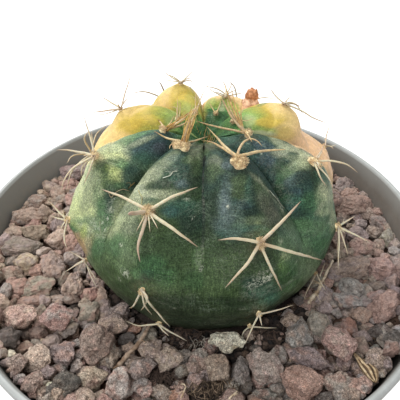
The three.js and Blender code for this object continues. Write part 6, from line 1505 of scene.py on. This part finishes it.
def build_mix():
    """The potting mix: a closed body, its top rough around the foot of the stem."""
    seg = 256
    ang = np.arange(seg) * 2 * np.pi / seg
    prof = [(36.4, 4.6)] + [(36.4 + (46.6 - 36.4) * f, 4.6 + 58.05 * f) for f in (.2, .4, .6, .8, 1)]
    prof = [(0.0, 4.6), (18, 4.6)] + [(36.2, 4.6)] + [(36.9 + (z - 4.2) * .176 - .35, z) for z in (5.2, 16, 28, 40, 52, 61.5, 62.6)]
    prof += [(r, 62.65) for r in (44, 38, 32, 27.4)] + [(26.4, 62.9), (26.3, 66), (26.25, 69.2)]
    nside = len(prof) - 1
    prof += [(r, 70.9) for r in np.linspace(26.1, 17.5, 26)] + [(r, 60.0 + .02 * r) for r in (16.5, 10, 4)] + [(0.0, 60.0)]
    rows = np.array(prof)
    body = rows[1:-1]
    r, z = body[:, 0][:, None] + 0 * ang[None], body[:, 1][:, None] + 0 * ang[None]
    x, y = r * np.cos(ang) + CX * smooth(60, 64, z), r * np.sin(ang)
    top = (z > 70)
    lump = .55 * fbm(np.stack([x / 1.9, y / 1.9, 0 * x], -1), 4, seed=71) + .35 * fbm(np.stack([x / .7, y / .7, 0 * x], -1), 3, seed=72)
    front = np.clip(-np.sin(ang), 0, 1)[None] + 0 * z
    z = np.where(top, z + lump + .5 * front * smooth(27, 22, r), z)
    v = np.vstack([np.stack([x, y, z], -1).reshape(-1, 3), [0, 0, 4.6], [CX, 0, 60.0]])
    n = len(body)
    i, j = np.meshgrid(np.arange(n - 1), np.arange(seg), indexing="ij")
    j2 = (j + 1) % seg
    q = np.stack([i * seg + j, i * seg + j2, (i + 1) * seg + j2, (i + 1) * seg + j], -1).reshape(-1, 4)
    js = np.arange(seg)
    a, b = n * seg, n * seg + 1
    t = np.vstack([np.stack([np.full(seg, a), (js + 1) % seg, js], -1), np.stack([np.full(seg, b), (n - 1) * seg + js, (n - 1) * seg + (js + 1) % seg], -1)])
    sh = Shell()
    col = np.clip(lin((56, 48, 44))[None] * (1 + .35 * fbm(v / 1.1, 3, seed=5))[:, None], .003, 1)
    sh.add(v, q, t, col=col)
    place(sh.make("mix", SOIL), "potting_mix", "potting_mix")
    # crumbs of peat and bark that lie loose around the stem's foot and run in between the stones
    g = np.random.default_rng(8)
    cr = Shell()
    for n in range(900):
        front = g.random() < .7
        a = g.normal(-math.pi / 2, .75) if front else g.uniform(0, 2 * math.pi)
        rad = 23.2 + abs(g.normal(0, 2.6)) + (1.6 if front else 0) * g.random()
        x, y = CX + rad * math.cos(a), rad * math.sin(a)
        if math.hypot(x, y) > 47:
            continue
        s = g.uniform(.35, 1.15)
        v, f = ICO[1 if s < .85 else 2]
        v = v * (1 + .30 * noise(v * 1.6 + n, 3))[:, None]
        v = v * np.array([s, s * g.uniform(.4, .9), s * g.uniform(.35, .8)])
        th = g.uniform(0, 2 * math.pi)
        v = v @ np.array([[math.cos(th), math.sin(th), 0], [-math.sin(th), math.cos(th), 0], [0, 0, 1]])
        z = Z_G - .35 + .9 * g.random() + .35 * smooth(25, 28, rad)
        tone = lin([(52, 45, 42), (68, 57, 51), (40, 36, 35), (92, 76, 64)][g.choice(4, p=[.4, .3, .2, .1])])
        cr.add(v + [x, y, z], None, f, col=np.clip(tone[None] * (1 + .25 * noise(v * 2 + n, 9))[:, None], .003, 1))
    for px, py, w, h, many in ((180, 337, 26, 11, 330), (268, 333, 19, 15, 260), (232, 352, 12, 8, 60), (128, 306, 16, 9, 90), (213, 392, 24, 9, 160), (300, 318, 10, 9, 60), (390, 332, 12, 8, 60), (163, 376, 11, 8, 90), (372, 341, 13, 6, 70)):
        for n in range(many):
            a, r = g.uniform(0, 2 * math.pi), math.sqrt(g.uniform(0, 1))
            p = on_level(px + w * r * math.cos(a), py + h * r * math.sin(a), Z_G + .5)
            if math.hypot(p[0] - CX, p[1]) < 22 or math.hypot(p[0], p[1]) > 47.5:
                continue
            s = g.uniform(.3, 1.0)
            v, f = ICO[1 if s < .85 else 2]
            v = v * (1 + .35 * noise(v * 1.6 + n, 3))[:, None] * np.array([s, s * g.uniform(.4, .9), s * g.uniform(.35, .8)])
            th = g.uniform(0, 2 * math.pi)
            v = v @ np.array([[math.cos(th), math.sin(th), 0], [-math.sin(th), math.cos(th), 0], [0, 0, 1]])
            tone = lin([(52, 46, 43), (70, 60, 54), (40, 37, 36), (100, 86, 76)][g.choice(4, p=[.4, .3, .2, .1])])
            cr.add(v + [p[0], p[1], Z_G - .1 + 1.1 * g.random()], None, f, col=np.clip(tone[None] * (1 + .25 * noise(v * 2 + n, 9))[:, None], .003, 1))
    # a mat of dry rootlets among the foremost stones, and some by the stem
    for px, py, w, h, many, tone in ((213, 392, 27, 10, 130, (146, 126, 106)), (185, 338, 24, 9, 60, (92, 76, 66)), (200, 345, 10, 8, 14, (176, 168, 156)), (268, 335, 18, 12, 40, (90, 74, 64)), (163, 376, 11, 8, 90, (84, 70, 62)), (372, 341, 12, 6, 24, (104, 88, 74))):
        for n in range(many):
            a, r = g.uniform(0, 2 * math.pi), math.sqrt(g.uniform(0, 1))
            b = on_level(px + w * r * math.cos(a), py + h * r * math.sin(a), Z_G + (2.2 if py > 380 else 1.2) + g.uniform(0, .6))
            th = g.normal(math.pi / 2, .6) if py > 380 else g.uniform(0, 2 * math.pi)
            ln = g.uniform(1.2, 3.6)
            d = np.array([math.cos(th), math.sin(th), 0])
            e = np.array([-d[1], d[0], 0])
            pts = [b, b + d * ln * .4 + e * g.normal(0, .4) + [0, 0, g.uniform(.1, .7)], b + d * ln + e * g.normal(0, .5) + [0, 0, g.uniform(-.9, .2)]]
            pts = [p if math.hypot(p[0] - CX, p[1]) > 22.6 else np.array([CX, 0, p[2]]) + unit(p - [CX, 0, p[2]]) * 22.6 for p in pts]
            path = resample(pts, 11, .25, n)
            tv, tq, tt, _, _ = tube(path, g.uniform(.05, .10) * np.linspace(1, .5, 11), 5)
            cr.add(tv, tq, tt, col=lin(tone) * (g.uniform(.6, 1.25) if py < 380 else g.choice([.16, .3, .6, 1.2])))
    # rootlets and fibres of peat
    for n in range(130):
        a = g.normal(-math.pi / 2 + .1, .7)
        rad = 23.8 + abs(g.normal(0, 3.0))
        b = np.array([CX + rad * math.cos(a), rad * math.sin(a), Z_G + g.uniform(.3, 1.3)])
        th = g.uniform(0, 2 * math.pi)
        ln = g.uniform(1.2, 4.2)
        d = np.array([math.cos(th), math.sin(th), 0])
        e = np.array([-d[1], d[0], 0])
        pts = [b, b + d * ln * .4 + e * g.normal(0, .4) + [0, 0, g.uniform(0, .5)], b + d * ln + e * g.normal(0, .6) + [0, 0, g.uniform(-.3, .3)]]
        pts = [p if math.hypot(p[0] - CX, p[1]) > 22.6 else np.array([CX, 0, p[2]]) + unit(p - [CX, 0, p[2]]) * 22.6 for p in pts]
        path = resample(pts, 12, .25, n)
        tv, tq, tt, _, _ = tube(path, g.uniform(.035, .085) * np.linspace(1, .5, 12), 5)
        cr.add(tv, tq, tt, col=lin([(96, 74, 58), (122, 98, 74), (70, 54, 44)][g.integers(3)]))
    place(cr.make("mix_crumbs", SOIL), "potting_mix")


build_bed()
build_mix()
build_gravel()


# ------------------------------------------------------------------ what has dried and fallen
def strand(sh, pts, r0, r1, rings, sides, colour, wobble=.2, seed=0, flat=1.0):
    path = resample(pts, rings, wobble, seed)
    s = np.linspace(0, 1, rings)
    rad = (r0 + (r1 - r0) * s) * (1 + .12 * np.sin(s * 23 + seed) + .08 * np.sin(s * 57 + seed))
    tv, tq, tt, al, side = tube(path, rad, sides)
    c = np.clip(lin(colour)[None] * (1 + .22 * fbm(tv / .9, 3, seed=seed + 1))[:, None], 0, 1)
    sh.add(tv, tq, tt, col=c)
    return path


def build_debris():
    tw = Shell()
    pts = [on_level(149.5, 325, Z_G + 4.0), on_level(141, 340, Z_G + 3.6), on_level(129, 354, Z_G + 3.0), on_level(119, 365, Z_G + 2.6)]
    strand(tw, pts, .36, .50, 60, 12, (160, 142, 124), .25, 3)
    strand(tw, [pts[1], pts[1] + [.9, -.6, .3], pts[1] + [1.5, -1.3, .1]], .14, .06, 14, 8, (150, 128, 106), .1, 4)
    strand(tw, [pts[3] + [.2, .3, 0], pts[3] + [-.6, -.3, -.2], pts[3] + [-1.2, -.4, -.5]], .38, .16, 14, 8, (146, 124, 102), .1, 5)
    place(tw.make("twig", FIBRE), "twig_bark", "dry_twig")
    st = Shell()
    base = [on_level(327, 256, Z_G + 6.0), on_level(319, 270, Z_G + 4.4), on_level(311, 285, Z_G + 3.2), on_level(303, 298, Z_G + 2.6)]
    base = [p + np.array([1.1, -1.3, 0]) for p in base]
    strand(st, base, .26, .44, 50, 10, (190, 178, 158), .5, 7)
    g = np.random.default_rng(5)
    for n in range(16):
        f = g.uniform(.25, 1)
        i = int(f * 3 - 1e-6)
        b = base[i] + (base[i + 1] - base[i]) * (f * 3 - i)
        d = unit(np.array([g.normal(0, 1), g.normal(-.3, .8), g.normal(-.1, .25)]))
        strand(st, [b, b + d * .9 + [0, 0, .15], b + d * g.uniform(1.2, 2.4) - [0, 0, .25]], g.uniform(.09, .2), .04, 12, 6, (190, 176, 150), .2, 20 + n)
    place(st.make("stalk", FIBRE), "dry_straw", "dry_stalk")
    # broken bits of straw on the foremost stones
    bits = Shell()
    for n, (x0, y0, x1, y1, r) in enumerate([(181, 398, 186, 387, .20), (186, 387, 181, 384, .12), (179, 394, 184, 391, .12), (229, 399, 237, 391, .20), (234, 396, 238, 394, .12), (17, 383, 32, 374, .16), (352, 352, 345, 346, .10)]):
        a, b = on_level(x0, y0, Z_G + 4.6), on_level(x1, y1, Z_G + 4.7)
        if x0 < 100 or x0 > 300:
            a, b = on_level(x0, y0, Z_G + 4.3), on_level(x1, y1, Z_G + 4.6)
        strand(bits, [a, (a + b) / 2 + [.1, .1, .25], b], r, r * .6, 16, 7, (206, 190, 164), .2, 70 + n)
    place(bits.make("straw_bits", FIBRE), "dry_straw")
    # fine dry threads and healed scratches on the skin: rib, then places across it and heights, lift, half widths, colour
    fine = Shell()
    heart = np.array([CX, CY, Z_G + 16.0])
    for n, (name, line, lift, r0, r1, tone) in enumerate([
            ("A", [(0, 10.35), (.15, 10.48), (.18, 10.65), (.28, 10.68)], .12, .07, .06, (196, 204, 186)), ("A", [(-.55, 9.70), (-.30, 9.60), (-.22, 9.42)], .12, .08, .05, (186, 186, 132)),
            ("C", [(.76, 8.12), (.86, 7.75), (.97, 7.45)], .12, .06, .05, (170, 180, 152)), ("A", [(-.93, 7.50), (-.93, 8.03)], .12, .06, .04, (170, 180, 152)),
            ("B", [(.56, 9.70), (.71, 9.30), (.86, 8.90)], .12, .07, .05, (172, 182, 166)), ("C", [(.95, 9.64), (.94, 9.52), (.93, 9.40)], .30, .11, .05, (112, 96, 56)),
            ("C", [(.96, 9.32), (.88, 9.34), (.82, 9.22), (.78, 8.95), (.69, 9.12)], .30, .06, .05, (176, 164, 132)), ("C", [(.94, 9.20), (.86, 9.10), (.80, 9.02), (.73, 9.04)], .30, .05, .05, (58, 46, 38)),
            ("C", [(.93, 9.52), (.90, 9.60), (.86, 9.55)], .25, .05, .04, (120, 106, 66))]):
        at = np.interp(np.linspace(0, len(line) - 1, 12), np.arange(len(line)), np.arange(len(line)))
        ts, vs = np.interp(at, np.arange(len(line)), [q[0] for q in line]), np.interp(at, np.arange(len(line)), [q[1] for q in line])
        on = skin(RIB_OF[name], ts, vs)
        strand(fine, list(on + unit(on - heart) * lift), r0, r1, 22, 6, tone, .05, 130 + n)
    place(fine.make("skin_threads", FIBRE), "dry_straw")
    # the husk: two curled blades of straw
    hu = Shell()
    line = HUSK_LINE
    # narrow glumes, one on the other: they share the cut end and the tip and stand apart between them
    for n, (off, up, wid, curl, tone) in enumerate([(-1.35, -.10, .26, .8, (132, 112, 88)), (-.85, .20, .28, -.7, (196, 176, 142)), (-.38, .40, .24, .9, (92, 76, 58)), (.10, .50, .30, -.8, (210, 190, 156)),
                                                    (.55, .35, .24, .8, (112, 92, 70)), (.95, .15, .28, -.7, (198, 178, 146)), (1.30, -.15, .20, .6, (116, 98, 76))]):
        f = np.linspace(0, 1, 7)
        spread = off * (.12 + np.sin(np.pi * np.minimum(f, .99)**1.9)) * (1 - .2 * f)
        mids = np.array([np.interp(f, [0, .33, .66, 1], [p[i] for p in line]) for i in range(3)]).T
        out = unit(np.cross(unit(line[3] - line[0]), [0, 0, 1.0]))
        path = resample([m_ + out * sp_ + np.array([0, 0, up * math.sin(math.pi * f_)]) for m_, sp_, f_ in zip(mids, spread, f)], 34, .10, 50 + n)
        s = np.linspace(0, 1, 34)
        tan = unit(np.gradient(path, axis=0))
        side = unit(np.cross(tan, [0, 0, 1.0]))
        upv = np.cross(side, tan)
        wdt = wid * np.sin(np.pi * np.clip(s * .94 + .05, 0, 1)) ** .6
        us = np.linspace(-1, 1, 9)
        grid = path[:, None] + side[:, None] * (wdt[:, None] * us[None] * math.cos(.5))[..., None] + upv[:, None] * (curl * .55 * wdt[:, None] * (us[None] ** 2 - .3) + .05 * np.sin(us * 14)[None])[..., None]
        low = grid - upv[:, None] * .07
        v = np.vstack([grid.reshape(-1, 3), low.reshape(-1, 3)])
        a, b = 34, 9
        i, j = np.meshgrid(np.arange(a - 1), np.arange(b - 1), indexing="ij")
        q1 = np.stack([i * b + j, i * b + j + 1, (i + 1) * b + j + 1, (i + 1) * b + j], -1).reshape(-1, 4)
        q2 = q1[:, ::-1] + a * b
        rim = []
        edge = [x * b for x in range(a)] + [(a - 1) * b + y for y in range(1, b)] + [x * b + b - 1 for x in range(a - 2, -1, -1)] + [y for y in range(b - 2, 0, -1)]
        for e0, e1 in zip(edge, edge[1:] + edge[:1]):
            rim.append([e0, e1, e1 + a * b, e0 + a * b])
        streak = np.tile(np.concatenate([np.tile(.70 + .45 * np.abs(np.sin(us * 5 + n)), a)]), 2)
        hu.add(v, np.vstack([q1, q2, np.array(rim)]), None, col=np.clip(lin(tone)[None] * streak[:, None], 0, 1))
    place(hu.make("husk", FIBRE), "dry_straw", "dry_husk")


def build_flower():
    """The withered flower behind the crown: a scaly dried tube on a pale base, closed by shrivelled petals."""
    base = skin(3, -0.850, 9.700)
    axis = unit([.12, .25, 1])
    e = unit(np.cross(axis, [0, 1.0, 0]))
    f = np.cross(axis, e)
    sh = Shell()
    seg, rows = 44, 40
    h = np.linspace(-.5, 4.5, rows)
    prof = np.interp(h, [-.6, -.5, .2, 1.0, 1.8, 2.3, 2.9, 3.5, 4.1, 4.5], [1.4, 1.8, 2.2, 2.1, 1.65, 1.30, 1.52, 1.34, .80, .30])
    ang = np.arange(seg) * 2 * np.pi / seg
    H, A = np.meshgrid(h, ang, indexing="ij")
    R = prof[:, None] * (1 + .05 * np.cos(9 * A + H * .8) + .10 * smooth(1.5, 3.2, H) * np.cos(6 * A + 1.3 * H))
    v = base + (R * np.cos(A))[..., None] * e + (R * np.sin(A))[..., None] * f + H[..., None] * axis
    v = v + (.10 * fbm(v / .6, 3, seed=4))[..., None] * unit(v - (base + H[..., None] * axis) + 1e-6)
    i, j = np.meshgrid(np.arange(rows - 1), np.arange(seg), indexing="ij")
    j2 = (j + 1) % seg
    q = np.stack([i * seg + j, i * seg + j2, (i + 1) * seg + j2, (i + 1) * seg + j], -1).reshape(-1, 4)
    js = np.arange(seg)
    a, b = rows * seg, rows * seg + 1
    t = np.vstack([np.stack([np.full(seg, a), (js + 1) % seg, js], -1), np.stack([np.full(seg, b), (rows - 1) * seg + js, (rows - 1) * seg + (js + 1) % seg], -1)])
    vv = np.vstack([v.reshape(-1, 3), base - .6 * axis, base + 4.55 * axis])
    hh = np.concatenate([H.ravel(), [-.6, 4.55]])
    k = smooth(2.1, 2.6, hh + .3 * noise(vv / .8, 2))
    col = lin((226, 186, 154))[None] * (1 - k[:, None]) + lin((204, 144, 102))[None] * k[:, None]
    col = col * (1 + .25 * fbm(vv / .7, 3, seed=12))[:, None]
    sh.add(vv, q, t, col=np.clip(col, 0, 1))
    g = np.random.default_rng(12)
    # scales on the tube and shrivelled petals on top
    for n in range(30):
        top = n >= 14
        a0 = n * 2.4 + g.uniform(-.2, .2)
        h0 = 2.5 + .05 * (n - 14) if top else .1 + n * .15
        ln = g.uniform(1.1, 1.6) if top else g.uniform(.5, .8)
        rad = np.interp(h0, [-.6, .2, 1.0, 1.8, 2.3, 2.9, 3.5, 4.5], [1.4, 2.2, 2.1, 1.65, 1.30, 1.52, 1.34, .4])
        out = math.cos(a0) * e + math.sin(a0) * f
        tang = np.cross(axis, out)
        p0 = base + axis * h0 + out * (rad - .08)
        d = axis * .95 + out * (-.18 if top else .12)
        steps, us = 8, np.linspace(-1, 1, 5)
        s = np.linspace(0, 1, steps)
        wdt = (.62 if top else .5) * np.sin(np.pi * np.clip(s * .85 + .15, 0, 1)) ** .8
        curl = g.uniform(-.45, .0)
        path = p0[None] + s[:, None] * ln * unit(d)[None] + out[None] * (curl * s**2)[:, None] + tang[None] * (g.normal(0, .25) * s**2)[:, None]
        grid = path[:, None] + tang[None, None] * (wdt[:, None] * us)[..., None] - out[None, None] * (.30 * wdt[:, None] * us**2)[..., None]
        low = grid - out[None, None] * .06
        vv = np.vstack([grid.reshape(-1, 3), low.reshape(-1, 3)])
        a_, b_ = steps, 5
        i, j = np.meshgrid(np.arange(a_ - 1), np.arange(b_ - 1), indexing="ij")
        q1 = np.stack([i * b_ + j, i * b_ + j + 1, (i + 1) * b_ + j + 1, (i + 1) * b_ + j], -1).reshape(-1, 4)
        q2 = q1[:, ::-1] + a_ * b_
        edge = [x * b_ for x in range(a_)] + [(a_ - 1) * b_ + y for y in range(1, b_)] + [x * b_ + b_ - 1 for x in range(a_ - 2, -1, -1)] + [y for y in range(b_ - 2, 0, -1)]
        rim = [[e0, e1, e1 + a_ * b_, e0 + a_ * b_] for e0, e1 in zip(edge, edge[1:] + edge[:1])]
        tone = (208, 150, 108) if top else (222, 184, 154)
        sh.add(vv, np.vstack([q1, q2, np.array(rim)]), None, col=np.clip(lin(tone)[None] * (1 + .3 * noise(vv / .5, n))[:, None], 0, 1))
    place(sh.make("flower", FIBRE), "dried_flower", "withered_flower")


build_debris()
build_flower()

# ------------------------------------------------------------------ floor, light, world
floor_mesh = bpy.data.meshes.new("floor")
floor_mesh.from_pydata([(-6, -6, 0), (6, -6, 0), (6, 6, 0), (-6, 6, 0)], [], [(0, 1, 2, 3)])
floor = bpy.data.objects.new("floor", floor_mesh)
bpy.context.scene.collection.objects.link(floor)
fm = Mat("floor_paper")
fc = fm.mix(fm.span(fm.noise(6, 3, .5), .3, .7), (.90, .90, .90), (.93, .93, .925))
fm.set(Specular_IOR_Level=0.2)
floor_mesh.materials.append(fm.finish(fc, .8, fm.bump(fm.noise(900, 3, .6), .1, .0001)))

world = bpy.data.worlds.new("world")
world.use_nodes = True
bg = world.node_tree.nodes["Background"]
bg.inputs[0].default_value = (1.0, 1.0, 1.0, 1)
bg.inputs[1].default_value = .80
bpy.context.scene.world = world


def area(name, at, target, size, power, colour=(1, 1, 1)):
    data = bpy.data.lights.new(name, "AREA")
    data.shape, data.size, data.energy, data.color = "DISK", size, power, colour
    ob = bpy.data.objects.new(name, data)
    ob.location = at
    ob.rotation_euler = (Vector(target) - Vector(at)).to_track_quat("-Z", "Y").to_euler()
    bpy.context.scene.collection.objects.link(ob)
    return ob


area("window", (-.32, .50, .75), (0, 0, .09), .40, 7.4, (1.0, .99, .97))
area("room", (-.35, -.55, .85), (0, 0, .09), .45, 5.4, (1.0, 1.0, 1.0))

scene = bpy.context.scene
scene.view_settings.view_transform = "Standard"
scene.view_settings.look = "None"
scene.view_settings.exposure = 0.0
scene.view_settings.gamma = 1.0
